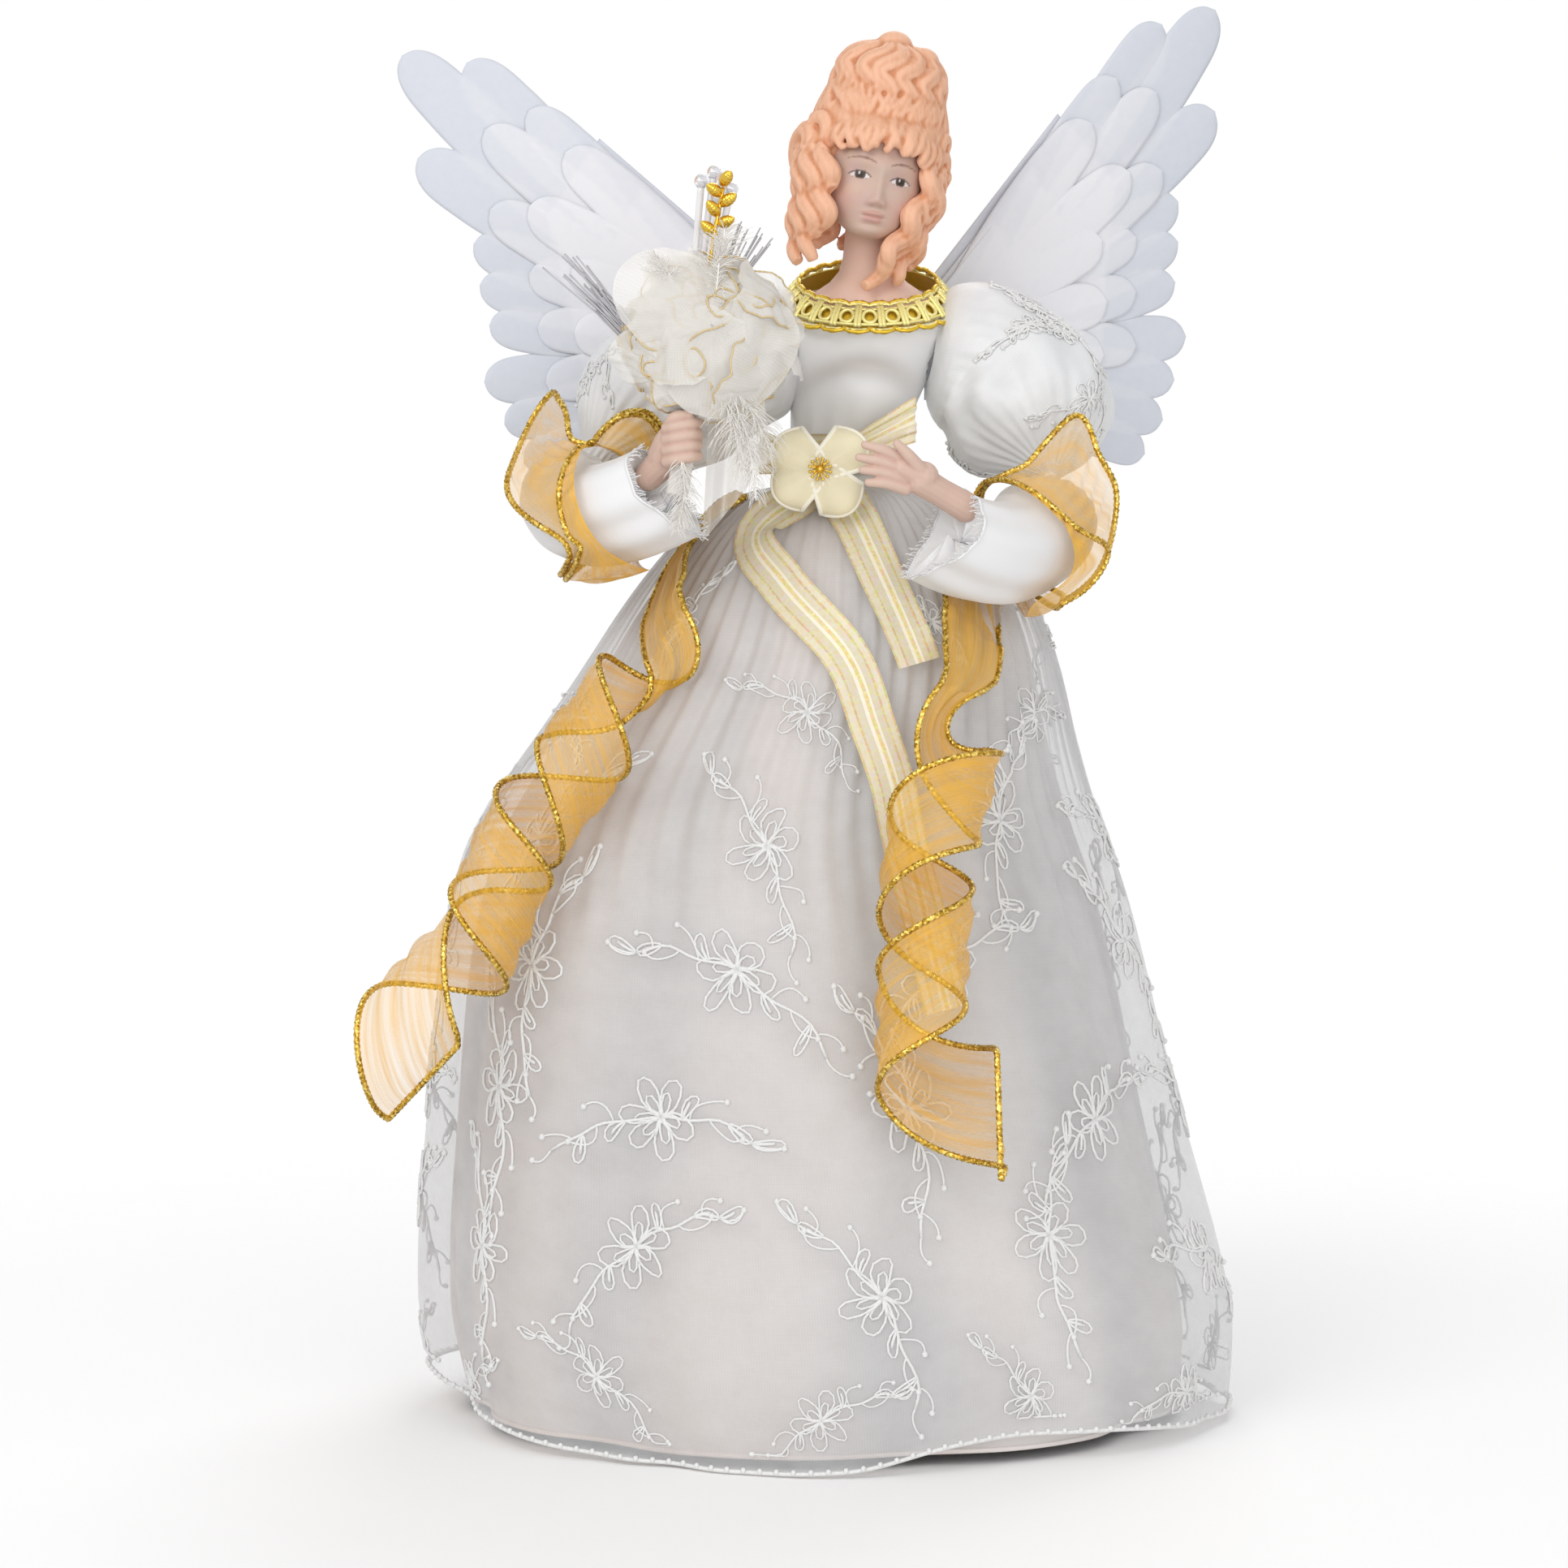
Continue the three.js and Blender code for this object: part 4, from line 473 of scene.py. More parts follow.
def organza_finish(name, colour, alpha):
    """Nylon organza: crisp open weave that shows the layer below, with a faint cross-thread shimmer."""
    finish, tree, shader = new_finish(name, {
        "Base Color": opaque(colour), "Roughness": 0.5, "Sheen Weight": 0.3, "Sheen Roughness": 0.4})
    where = add_node(tree, "ShaderNodeTexCoord")
    warp = add_node(tree, "ShaderNodeTexWave",
                    {"Scale": bands(ORGANZA_THREADS), "bands_direction": "X", "Distortion": 0.8},
                    {"Vector": where.outputs["UV"]})
    weft = add_node(tree, "ShaderNodeTexWave",
                    {"Scale": bands(ORGANZA_THREADS), "bands_direction": "Y", "Distortion": 0.8},
                    {"Vector": where.outputs["UV"]})
    cross = add_node(tree, "ShaderNodeMath", {"operation": "MAXIMUM"},
                     {0: warp.outputs["Fac"], 1: weft.outputs["Fac"]})
    cloud = add_node(tree, "ShaderNodeTexNoise", {"Scale": ORGANZA_CLOUDS, "Detail": 3.0},
                     {"Vector": where.outputs["UV"]})
    dense = add_node(tree, "ShaderNodeMath", {"operation": "MULTIPLY_ADD", 1: 0.06, 2: alpha - 0.11},
                     {0: cross.outputs[0]})
    cloudy = add_node(tree, "ShaderNodeMath", {"operation": "MULTIPLY_ADD", 1: 0.22},
                      {0: cloud.outputs["Fac"], 2: dense.outputs[0]})
    relief = add_node(tree, "ShaderNodeBump", {"Strength": 0.1, "Distance": 0.0002},
                      {"Height": cross.outputs[0]})
    tree.links.new(cloudy.outputs[0], shader.inputs["Alpha"])
    tree.links.new(relief.outputs["Normal"], shader.inputs["Normal"])
    return finish


def stitch_finish(colours):
    """Rayon embroidery thread: bright, dense and softly glossy, with the slant of its twist."""
    finish, tree, shader = new_finish("rayon_stitching", {
        "Base Color": opaque(colours.stitching), "Roughness": 0.42, "Sheen Weight": 0.4})
    where = add_node(tree, "ShaderNodeTexCoord")
    twist = add_node(tree, "ShaderNodeTexWave", {"Scale": bands(STITCH_TWIST), "bands_direction": "DIAGONAL"},
                     {"Vector": where.outputs["UV"]})
    relief = add_node(tree, "ShaderNodeBump", {"Strength": 0.4, "Distance": 0.0002},
                      {"Height": twist.outputs["Fac"]})
    tree.links.new(relief.outputs["Normal"], shader.inputs["Normal"])
    return finish


def satin_finish(colours):
    """Polyester satin: long floats that run one way and give broad soft highlights along the folds."""
    finish, tree, shader = new_finish("white_satin", {
        "Base Color": opaque(colours.satin), "Roughness": 0.45, "Anisotropic": 0.45, "Sheen Weight": 0.25})
    where = add_node(tree, "ShaderNodeTexCoord")
    drawn = add_node(tree, "ShaderNodeMapping", {"Scale": (0.12, 1.8, 1.0)}, {"Vector": where.outputs["UV"]})
    floats = add_node(tree, "ShaderNodeTexNoise", {"Scale": 1.0, "Detail": 2.0},
                      {"Vector": drawn.outputs["Vector"]})
    gloss = add_node(tree, "ShaderNodeMath", {"operation": "MULTIPLY_ADD", 1: 0.2, 2: 0.36},
                     {0: floats.outputs["Fac"]})
    relief = add_node(tree, "ShaderNodeBump", {"Strength": 0.18, "Distance": 0.0002},
                      {"Height": floats.outputs["Fac"]})
    tree.links.new(gloss.outputs[0], shader.inputs["Roughness"])
    tree.links.new(relief.outputs["Normal"], shader.inputs["Normal"])
    return finish


def gold_organza_finish(colours):
    """Gold organza: see-through where it lies single, deep amber where its tone says it is gathered."""
    finish, tree, shader = new_finish("gold_organza", {
        "Roughness": 0.45, "Sheen Weight": 0.12, "Sheen Tint": opaque(colours.gold_organza)})
    where = add_node(tree, "ShaderNodeTexCoord")
    tone = add_node(tree, "ShaderNodeAttribute", {"attribute_name": "tone"})
    stretched = add_node(tree, "ShaderNodeMapping", {"Scale": (0.035, 1.0, 1.0)},
                         {"Vector": where.outputs["UV"]})
    streaks = add_node(tree, "ShaderNodeTexNoise", {"Scale": GOLD_STREAKS, "Detail": 3.0, "Roughness": 0.6},
                       {"Vector": stretched.outputs["Vector"]})
    gathered = add_node(tree, "ShaderNodeMath", {"operation": "MULTIPLY_ADD", 1: 0.5, 2: 0.14},
                        {0: tone.outputs["Fac"]})
    thread = add_node(tree, "ShaderNodeMapRange",
                      {"From Min": 0.3, "From Max": 0.7, "To Min": 0.0, "To Max": 0.5},
                      {"Value": streaks.outputs["Fac"]})
    alpha = add_node(tree, "ShaderNodeMath", {"operation": "ADD", "use_clamp": True},
                     {0: thread.outputs["Result"], 1: gathered.outputs[0]})
    amber = add_node(tree, "ShaderNodeMix",
                     {"data_type": "RGBA", 6: opaque(colours.gold_organza),
                      7: opaque(colours.gold_organza_deep)},
                     {0: streaks.outputs["Fac"]})
    relief = add_node(tree, "ShaderNodeBump", {"Strength": 0.5, "Distance": 0.0006},
                      {"Height": streaks.outputs["Fac"]})
    tree.links.new(amber.outputs[2], shader.inputs["Base Color"])
    tree.links.new(alpha.outputs[0], shader.inputs["Alpha"])
    tree.links.new(relief.outputs["Normal"], shader.inputs["Normal"])
    return finish


def gold_cord_finish(colours):
    """Metallised yarn wound on a wire: small painted glints, bright and dark, along a twisted edge."""
    finish, tree, shader = new_finish("gold_metallised_cord", {"Metallic": 0.75, "Roughness": 0.34})
    where = add_node(tree, "ShaderNodeTexCoord")
    glints = add_node(tree, "ShaderNodeTexVoronoi", {"Scale": CORD_PAINTED_GLINTS},
                      {"Vector": where.outputs["Object"]})
    # Painted glints: random cells of bright and dark gold in the cord's colour
    shades = add_node(tree, "ShaderNodeValToRGB", None, {"Fac": glints.outputs["Color"]})
    shades.color_ramp.elements[0].position = 0.15
    shades.color_ramp.elements[0].color = opaque(colours.cord_painted_dark)
    shades.color_ramp.elements[1].position = 0.8
    shades.color_ramp.elements[1].color = opaque(colours.cord_painted_glint)
    middle = shades.color_ramp.elements.new(0.5)
    middle.color = opaque(colours.cord)
    relief = add_node(tree, "ShaderNodeBump", {"Strength": 0.5, "Distance": 0.0003},
                      {"Height": glints.outputs["Distance"]})
    tree.links.new(shades.outputs["Color"], shader.inputs["Base Color"])
    tree.links.new(relief.outputs["Normal"], shader.inputs["Normal"])
    return finish


def ivory_ribbon_finish(colours, width):
    """Sheer ivory ribbon: satin and gold stripes run its length, with see-through cloth between them."""
    finish, tree, shader = new_finish("striped_ivory_ribbon", {"Roughness": 0.4, "Sheen Weight": 0.3})
    where = add_node(tree, "ShaderNodeTexCoord")
    split = add_node(tree, "ShaderNodeSeparateXYZ", None, {"Vector": where.outputs["UV"]})
    across = add_node(tree, "ShaderNodeMath", {"operation": "DIVIDE", 1: width}, {0: split.outputs["Y"]})
    colour = add_node(tree, "ShaderNodeValToRGB", None, {"Fac": across.outputs[0]}).color_ramp
    dense = add_node(tree, "ShaderNodeValToRGB", None, {"Fac": across.outputs[0]}).color_ramp
    stripes = [(0.0, colours.ribbon_edge, 0.9), (0.05, colours.ribbon, 0.7), (0.2, colours.ribbon_edge, 0.95),
               (0.25, colours.ribbon, 0.65), (0.42, colours.ribbon_satin, 0.85),
               (0.5, colours.ribbon_glint, 1.0), (0.58, colours.ribbon_satin, 0.85),
               (0.64, colours.ribbon, 0.65), (0.78, colours.ribbon_edge, 0.95), (0.83, colours.ribbon, 0.7),
               (0.95, colours.ribbon_edge, 0.9)]
    for ramp in (colour, dense):
        ramp.interpolation = "CONSTANT"
        ramp.elements.remove(ramp.elements[1])
        for position, _, _ in stripes[1:]:
            ramp.elements.new(position)
    for i, (_, stripe, alpha) in enumerate(stripes):
        colour.elements[i].color = opaque(stripe)
        dense.elements[i].color = (alpha, alpha, alpha, 1.0)
    ramps = [node for node in tree.nodes if node.type == "VALTORGB"]
    glitter = add_node(tree, "ShaderNodeTexVoronoi", {"Scale": RIBBON_GLITTER},
                       {"Vector": where.outputs["UV"]})
    lift = add_node(tree, "ShaderNodeMix", {"data_type": "RGBA", "blend_type": "OVERLAY", 0: 0.3},
                    {6: ramps[0].outputs["Color"], 7: glitter.outputs["Color"]})
    faded = add_node(tree, "ShaderNodeHueSaturation", {"Saturation": 0.9}, {"Color": lift.outputs[2]})
    relief = add_node(tree, "ShaderNodeBump", {"Strength": 0.4, "Distance": 0.0002},
                      {"Height": ramps[1].outputs["Color"]})
    tree.links.new(faded.outputs["Color"], shader.inputs["Base Color"])
    tree.links.new(ramps[1].outputs["Color"], shader.inputs["Alpha"])
    tree.links.new(relief.outputs["Normal"], shader.inputs["Normal"])
    return finish


def bisque_finish():
    """Unglazed painted porcelain: dead matt, with a slight mottle; its painted features are an attribute."""
    finish, tree, shader = new_finish("painted_bisque", {
        "Roughness": 0.62, "Subsurface Weight": 0.08, "Subsurface Radius": (0.004, 0.002, 0.001)})
    where = add_node(tree, "ShaderNodeTexCoord")
    paint = add_node(tree, "ShaderNodeAttribute", {"attribute_name": "paint"})
    mottle = add_node(tree, "ShaderNodeTexNoise", {"Scale": BISQUE_MOTTLE, "Detail": 3.0},
                      {"Vector": where.outputs["Object"]})
    shaded = add_node(tree, "ShaderNodeMix", {"data_type": "RGBA", "blend_type": "SOFT_LIGHT", 0: 0.16},
                      {6: paint.outputs["Color"], 7: mottle.outputs["Color"]})
    relief = add_node(tree, "ShaderNodeBump", {"Strength": 0.12, "Distance": 0.0002},
                      {"Height": mottle.outputs["Fac"]})
    tree.links.new(shaded.outputs[2], shader.inputs["Base Color"])
    tree.links.new(relief.outputs["Normal"], shader.inputs["Normal"])
    return finish


def toned_finish(name, crest, hollow, settings, grain, depth=0.12):
    """Matt painted or fibrous surface whose tone mixes a crest and a hollow colour, as painted shade, with a
    fine grain per metre.
    """
    finish, tree, shader = new_finish(name, settings)
    where = add_node(tree, "ShaderNodeTexCoord")
    tone = add_node(tree, "ShaderNodeAttribute", {"attribute_name": "tone"})
    mottle = add_node(tree, "ShaderNodeTexNoise", {"Scale": grain, "Detail": 3.0},
                      {"Vector": where.outputs["Object"]})
    shift = add_node(tree, "ShaderNodeMath", {"operation": "MULTIPLY_ADD", 1: 0.3, 2: -0.15},
                     {0: mottle.outputs["Fac"]})
    level = add_node(tree, "ShaderNodeMath", {"operation": "ADD", "use_clamp": True},
                     {0: tone.outputs["Fac"], 1: shift.outputs[0]})
    colour = add_node(tree, "ShaderNodeMix", {"data_type": "RGBA", 6: opaque(crest), 7: opaque(hollow)},
                      {0: level.outputs[0]})
    relief = add_node(tree, "ShaderNodeBump", {"Strength": depth, "Distance": 0.0003},
                      {"Height": mottle.outputs["Fac"]})
    tree.links.new(colour.outputs[2], shader.inputs["Base Color"])
    tree.links.new(relief.outputs["Normal"], shader.inputs["Normal"])
    return finish


def hair_finish(colours):
    """Painted moulded hair: matt, with painted highlight on the crests and painted shade in the hollows, and
    fine combed strands that run down it.
    """
    finish, tree, shader = new_finish("painted_hair", {"Roughness": 0.62})
    where = add_node(tree, "ShaderNodeTexCoord")
    tone = add_node(tree, "ShaderNodeAttribute", {"attribute_name": "tone"})
    combed = add_node(tree, "ShaderNodeMapping", {"Scale": (1.0, 1.0, 0.22)},
                      {"Vector": where.outputs["Object"]})
    strands = add_node(tree, "ShaderNodeTexNoise", {"Scale": HAIR_STRANDS, "Detail": 3.0, "Distortion": 0.6},
                       {"Vector": combed.outputs["Vector"]})
    shift = add_node(tree, "ShaderNodeMath", {"operation": "MULTIPLY_ADD", 1: 0.9, 2: -0.45},
                     {0: strands.outputs["Fac"]})
    level = add_node(tree, "ShaderNodeMath", {"operation": "ADD", "use_clamp": True},
                     {0: tone.outputs["Fac"], 1: shift.outputs[0]})
    colour = add_node(tree, "ShaderNodeMix",
                      {"data_type": "RGBA", 6: opaque(colours.hair), 7: opaque(colours.hair_shade)},
                      {0: level.outputs[0]})
    relief = add_node(tree, "ShaderNodeBump", {"Strength": 0.45, "Distance": 0.0004},
                      {"Height": strands.outputs["Fac"]})
    tree.links.new(colour.outputs[2], shader.inputs["Base Color"])
    tree.links.new(relief.outputs["Normal"], shader.inputs["Normal"])
    return finish


def plated_finish(name, colour, roughness):
    """Vacuum-plated gold on plastic: a bright mirror skin with slightly soft patches."""
    finish, tree, shader = new_finish(name, {
        "Base Color": opaque(colour), "Metallic": 1.0, "Roughness": roughness})
    where = add_node(tree, "ShaderNodeTexCoord")
    cloud = add_node(tree, "ShaderNodeTexNoise", {"Scale": PLATING_PATCHES, "Detail": 2.0},
                     {"Vector": where.outputs["Object"]})
    gloss = add_node(tree, "ShaderNodeMath", {"operation": "MULTIPLY_ADD", 1: 0.2, 2: roughness - 0.08},
                     {0: cloud.outputs["Fac"]})
    tree.links.new(gloss.outputs[0], shader.inputs["Roughness"])
    return finish


def acrylic_finish(name, colour, transmission):
    """Clear moulded acrylic: it lets light through and has a sharp highlight and faint clouding."""
    finish, tree, shader = new_finish(name, {
        "Base Color": opaque(colour), "IOR": 1.49, "Transmission Weight": transmission, "Roughness": 0.12})
    where = add_node(tree, "ShaderNodeTexCoord")
    cloud = add_node(tree, "ShaderNodeTexNoise", {"Scale": ACRYLIC_CLOUDS},
                     {"Vector": where.outputs["Object"]})
    gloss = add_node(tree, "ShaderNodeMath", {"operation": "MULTIPLY_ADD", 1: 0.22, 2: 0.04},
                     {0: cloud.outputs["Fac"]})
    tree.links.new(gloss.outputs[0], shader.inputs["Roughness"])
    return finish


def speckled_finish(name, light, dark, grain, settings, relief_depth):
    """Plain material of the construction: two close shades in a grain of real size, and a little relief."""
    finish, tree, shader = new_finish(name, settings)
    where = add_node(tree, "ShaderNodeTexCoord")
    mottle = add_node(tree, "ShaderNodeTexNoise",
                      {"Scale": 1 / (grain * MM), "Detail": 4.0, "Roughness": 0.6},
                      {"Vector": where.outputs["Object"]})
    colour = add_node(tree, "ShaderNodeMix", {"data_type": "RGBA", 6: opaque(light), 7: opaque(dark)},
                      {0: mottle.outputs["Fac"]})
    relief = add_node(tree, "ShaderNodeBump", {"Strength": relief_depth, "Distance": 0.0003},
                      {"Height": mottle.outputs["Fac"]})
    tree.links.new(colour.outputs[2], shader.inputs["Base Color"])
    tree.links.new(relief.outputs["Normal"], shader.inputs["Normal"])
    return finish


# Embroidery: one spray drawn flat in millimetres, then laid on a cloth

def arc_line(start, bearing, length, bend, count=9):
    """Flat line that sets out on a bearing and turns evenly by the bend, in degrees."""
    step = length / (count - 1)
    heading = np.radians(bearing + bend * np.linspace(0, 1, count - 1))
    run = np.cumsum(np.stack([np.cos(heading), np.sin(heading)], axis=1) * step, axis=0)
    return np.vstack([start, np.asarray(start) + run])


def leaf_loop(start, bearing, length, width, count=12):
    """Flat teardrop loop, as a petal or leaf is outlined in chain stitch."""
    turn = np.linspace(0, TAU, count)
    along = 0.5 * length * (1 - np.cos(turn))
    side = 0.5 * width * np.sin(turn) * (0.45 + 0.55 * along / length)
    c, s = compass(bearing)
    return np.asarray(start) + np.stack([along * c - side * s, along * s + side * c], axis=1)


def spray_lines():
    """Lines and knots of a spray: a looped flower on a curved stem with tendrils and leaves."""
    lower = arc_line((0, 0), 212, 34, 34, 12)
    upper = arc_line((0, 0), 38, 30, -36, 12)
    lines = [(lower, 0.5), (upper, 0.5)]
    for k in range(6):
        bearing = 20 + 60 * k
        lines.append((leaf_loop((0, 0), bearing, 11.5, 7.5), 0.42))
        lines.append((leaf_loop((0, 0), bearing + 6, 7, 3.6, 9), 0.4))
        lines.append((arc_line((0, 0), bearing + 28, 5.5, 10, 4), 0.62))
    knots = []
    for stem, at, bearing, length, bend in [
        (lower, 4, 150, 11, 90), (lower, 6, 285, 12, -95), (lower, 9, 165, 9, 80), (lower, 11, 262, 8, -70),
        (upper, 4, 100, 12, -90), (upper, 6, -40, 13, 100), (upper, 9, 85, 9, -85), (upper, 11, -25, 9, 80),
    ]:
        tendril = arc_line(stem[at], bearing, length, bend)
        lines.append((tendril, 0.36))
        knots.append((tendril[-1], 0.95))
    for stem, at, bearing in [(lower, 3, 250), (lower, 8, 300), (upper, 3, 80), (upper, 8, 10),
                              (upper, 11, 20)]:
        lines.append((leaf_loop(stem[at], bearing, 8, 4), 0.4))
        lines.append((arc_line(stem[at], bearing, 5.5, 8, 4), 0.5))
    return lines, knots


def embroider(piece, lay, size, swing, mirrored):
    """Stitch one spray on a cloth; lay takes flat x and y to points on it."""
    c, s = math.cos(swing), math.sin(swing)

    def on_cloth(flat):
        x = flat[..., 0] * (-size if mirrored else size)
        y = flat[..., 1] * size
        wander = 0.9 * size * np.sin(0.36 * flat[..., ::-1] + 9 * swing)
        x, y = x + wander[..., 0], y + wander[..., 1]
        return lay(x * c - y * s, x * s + y * c)

    lines, knots = spray_lines()
    for line, radius in lines:
        piece.tube(on_cloth(line), 0.95 * radius * max(size, 0.7), 5)
    for knot, radius in knots:
        piece.ball(on_cloth(knot), radius * max(size, 0.7), 6)


# Skirt

LINING_HEM, OVERLAY_HEM = 3, 0.9
# Loops on the overlay's edge
PICOTS = 150
# Both layers are straight widths, as long round as their hems and gathered at the waist
# Sprays: height of each row, how many are in it and their size
SPRAY_ROWS = [(18, 12, 0.72), (54, 11, 0.95), (94, 10, 1.0), (134, 9, 1.0), (170, 8, 0.9), (202, 6, 0.7),
              (228, 5, 0.5)]


def hang_lining(skirt):
    """The white lining, gathered at the waist and cut with a plain hem."""
    turn = np.linspace(0, TAU, skirt.columns // 2, endpoint=False)[None]
    height = (SKIRT_TOP + (LINING_HEM - SKIRT_TOP) * np.linspace(0, 1, 70) ** 1.15)[:, None]
    cloth = Piece()
    # Its tone is painted light and shade: greyer in its folds and beside the front, paler in front and on a
    # low swell
    cloth.grid(skirt_point(turn, height, lining_radius(turn, height)), True, None, 0,
               lining_painted_light(turn, height))
    low = LINING_HEM + 0.4 + 0 * turn[0]
    hem = skirt_point(turn[0], low, lining_radius(turn[0], low) + 0.2)
    lining = cloth.publish("skirt_lining_cloth", "body", "lining", ["lining"], ["skirt_lining"])
    edge = Piece()
    edge.tube(hem, 0.7, 6, True)
    edge.publish("skirt_lining_hem", "body", "lining", ["lining"])


def hang_overlay(skirt):
    """The sheer organza over it: folds, a rolled hem and the embroidered sprays."""
    turn = np.linspace(0, TAU, skirt.columns, endpoint=False)[None]
    hem = OVERLAY_HEM + hem_lift_at(np.degrees(turn))
    height = SKIRT_TOP + (hem - SKIRT_TOP) * (np.linspace(0, 1, 96) ** 1.2)[:, None]
    cloth = Piece()
    cloth.grid(skirt_point(turn, height, overlay_radius(turn, height)), True)
    overlay = cloth.publish("skirt_organza", "body", "organza", ["organza"], ["skirt_overlay"])

    rolled = Piece()
    edge = skirt_point(turn[0], hem[0] + 0.4, overlay_radius(turn[0], hem[0] + 0.4))
    rolled.tube(edge, 0.6, 6, True)
    for i in range(PICOTS):
        at = (i + 0.5) / PICOTS * TAU
        low = OVERLAY_HEM + float(hem_lift_at(math.degrees(at)))
        rolled.ball(skirt_point(at, low + 0.9, overlay_radius(at, low + 0.9) + 0.5), (0.8, 0.8, 0.9), 6)
    hem_piece = rolled.publish("skirt_rolled_hem", "body", "organza", ["stitching"])

    stitching = Piece()
    for row, (level, count, size) in enumerate(SPRAY_ROWS):
        for i in range(count):
            seed = row * 40 + i
            bearing = (i + 0.5 * (row % 2) + uneven(0.16, seed)) / count * TAU
            middle = level + uneven(7, seed + 7)

            def lay(x, y):
                rise = np.clip(middle + y, 6 + hem_lift_at(np.degrees(bearing)), SKIRT_TOP - 2)
                around = bearing + x / np.maximum(skirt_profile(rise), 20)
                return skirt_point(around, rise, overlay_radius(around, rise) + ORGANZA_STAND_OFF)

            embroider(stitching, lay, size, uneven(0.9, seed + 3), seed % 2 == 0)
    sprays = stitching.publish("skirt_embroidery", "body", "organza", ["stitching"])


# Gold organza tails

RIBBON_WIDTH = 28
CURL_RADIUS = 12
CORD_RADIUS = 0.82
CORD_STEP = 0.6
CORD_TWIST = (2, 0.2, 1.7)
TAIL_ROWS, TAIL_COLUMNS = 15, 320

curl_radius_at = through([(0, 0.4), (0.16, 3), (0.34, CURL_RADIUS), (0.85, CURL_RADIUS),
                          (1, CURL_RADIUS * 1.6)])
tail_stand_off = through([(0, 0.3), (0.16, 4)])
tail_flat_at = through([(0.12, 0), (0.34, 1)])

TAILS = {
    "right": {
        "bearing": through([(-0.1, -160), (0.02, -149), (0.12, -138), (0.25, -127), (0.55, -132),
                            (0.85, -138), (1.1, -153)]),
        "height": through([(-0.1, 262), (0.25, 214), (1.1, 104)]),
        "width": through([(-0.1, 0.3), (0, 0.55), (0.12, 0.8), (0.4, 1.0), (1, 1.2)]),
        "turns": 3, "start": math.pi, "handed": 1,
    },
    "left": {
        "bearing": through([(-0.1, -47), (0.15, -57), (0.3, -65), (0.6, -71), (1.1, -76)]),
        "height": through([(-0.1, 238), (0.3, 194), (1.1, 84)]),
        "width": through([(-0.1, 0.85), (0.04, 0.8), (0.2, 0.68), (0.4, 1.0), (1, 1.2)]),
        "turns": 2.6, "start": 0, "handed": -1,
    },
}


def tail_points(tail, t, v):
    """Curled ribbon down the skirt: straight at the top, then winding about its own line."""
    def line(at):
        bearing = np.radians(tail["bearing"](at))
        return over_skirt(bearing, tail["height"](at), curl_radius_at(at) * 1.12 + tail_stand_off(at))

    bearing = np.radians(tail["bearing"](t))
    down = unit(line(t + 0.01) - line(t - 0.01))
    side = unit(np.cross(down, place(np.cos(bearing), np.sin(bearing), 0)))
    face = unit(np.cross(side, down))
    wound = tail["start"] + tail["handed"] * tail["turns"] * TAU * np.maximum(0, (t - 0.2) / 0.8)
    radius = curl_radius_at(t)[..., None]
    flat = tail_flat_at(t)[..., None]
    breadth = (RIBBON_WIDTH * tail["width"](t) * (v - 0.5))[..., None]
    middle = line(t) + side * radius * np.cos(wound)[..., None] + face * radius * np.sin(wound)[..., None]
    return middle + down * breadth * flat + side * breadth * (1 - flat)


def crinkled(points, depth, waves, drift):
    """The same cloth with shallow lengthwise creases that wander along it."""
    rows, columns = points.shape[:2]
    normal = unit(np.cross(np.gradient(points, axis=1), np.gradient(points, axis=0)))
    v = np.linspace(0, 1, rows)[:, None]
    u = np.linspace(0, 1, columns)[None]
    crease = np.sin(TAU * (waves * v + drift * np.sin(5 * u + 2 * v)))
    crease = crease + 0.5 * np.sin(TAU * (2.3 * waves * v - 3 * u))
    return points + normal * (depth * crease * np.sin(math.pi * v) ** 0.5)[..., None]


def hang_gold_tail(name, tail):
    """One curled gold ribbon and the twisted cords on its two edges and its end."""
    t = np.broadcast_to(np.linspace(-0.1, 1, TAIL_COLUMNS)[None], (TAIL_ROWS, TAIL_COLUMNS))
    v = np.broadcast_to(np.linspace(0, 1, TAIL_ROWS)[:, None], t.shape)
    points = tail_points(tail, t, v)
    gathered = 0.75 * np.clip((1.15 - tail["width"](t)) / 0.5, 0.25, 1) * np.clip((1.02 - t) / 0.12, 0.1, 1)
    ribbon = Piece()
    ribbon.grid(crinkled(points, 0.8, 2.6, 0.5), False, None, 0, gathered)
    cloth = ribbon.publish(f"{name}_tail_ribbon", "body", "gold_organza", ["gold_organza"],
                           [f"{name}_gold_tail"])
    cords = Piece()
    for edge in (points[0], points[-1], points[:, -1]):
        cords.tube(even_path(edge, CORD_STEP), CORD_RADIUS, 7, ridges=CORD_TWIST)
    cord = cords.publish(f"{name}_tail_cords", "body", "gold_organza", ["gold_cord"])
    widest = RIBBON_WIDTH * float(tail["width"](1.0)) * MM


# Sleeves

SHOULDER_X = float(axis_at(SHOULDER_HEIGHT))
SLEEVE_START = 25
ARMS = {
    "left": {
        "shoulder": (SHOULDER_X + SLEEVE_START, 0, SHOULDER_HEIGHT),
        "upper": (SHOULDER_X + SLEEVE_START + 36, 0, SHOULDER_HEIGHT - 11),
        "elbow": (73, -38, 231), "mouth": (34, -58, 250), "puff": 26, "pinch": 1.8,
    },
    "right": {
        "shoulder": (SHOULDER_X - SLEEVE_START, 0, SHOULDER_HEIGHT),
        "upper": (SHOULDER_X - SLEEVE_START - 42, 0, SHOULDER_HEIGHT - 6),
        "elbow": (-99, -28, 239), "mouth": (-47, -50, 262), "puff": 24.5, "pinch": 5.4,
    },
}
PUFF_FROM = -0.055
ELBOW_AT = 0.5
ELBOW_RADIUS = 16
CUFF_RADIUS = 15.5
CUFF_DROOP = 0.035
# The puff tapers to both ends, and the cuff, folded in at its mouth, is twice as long
WRAP_FROM, WRAP_TO = 0.36, 0.7


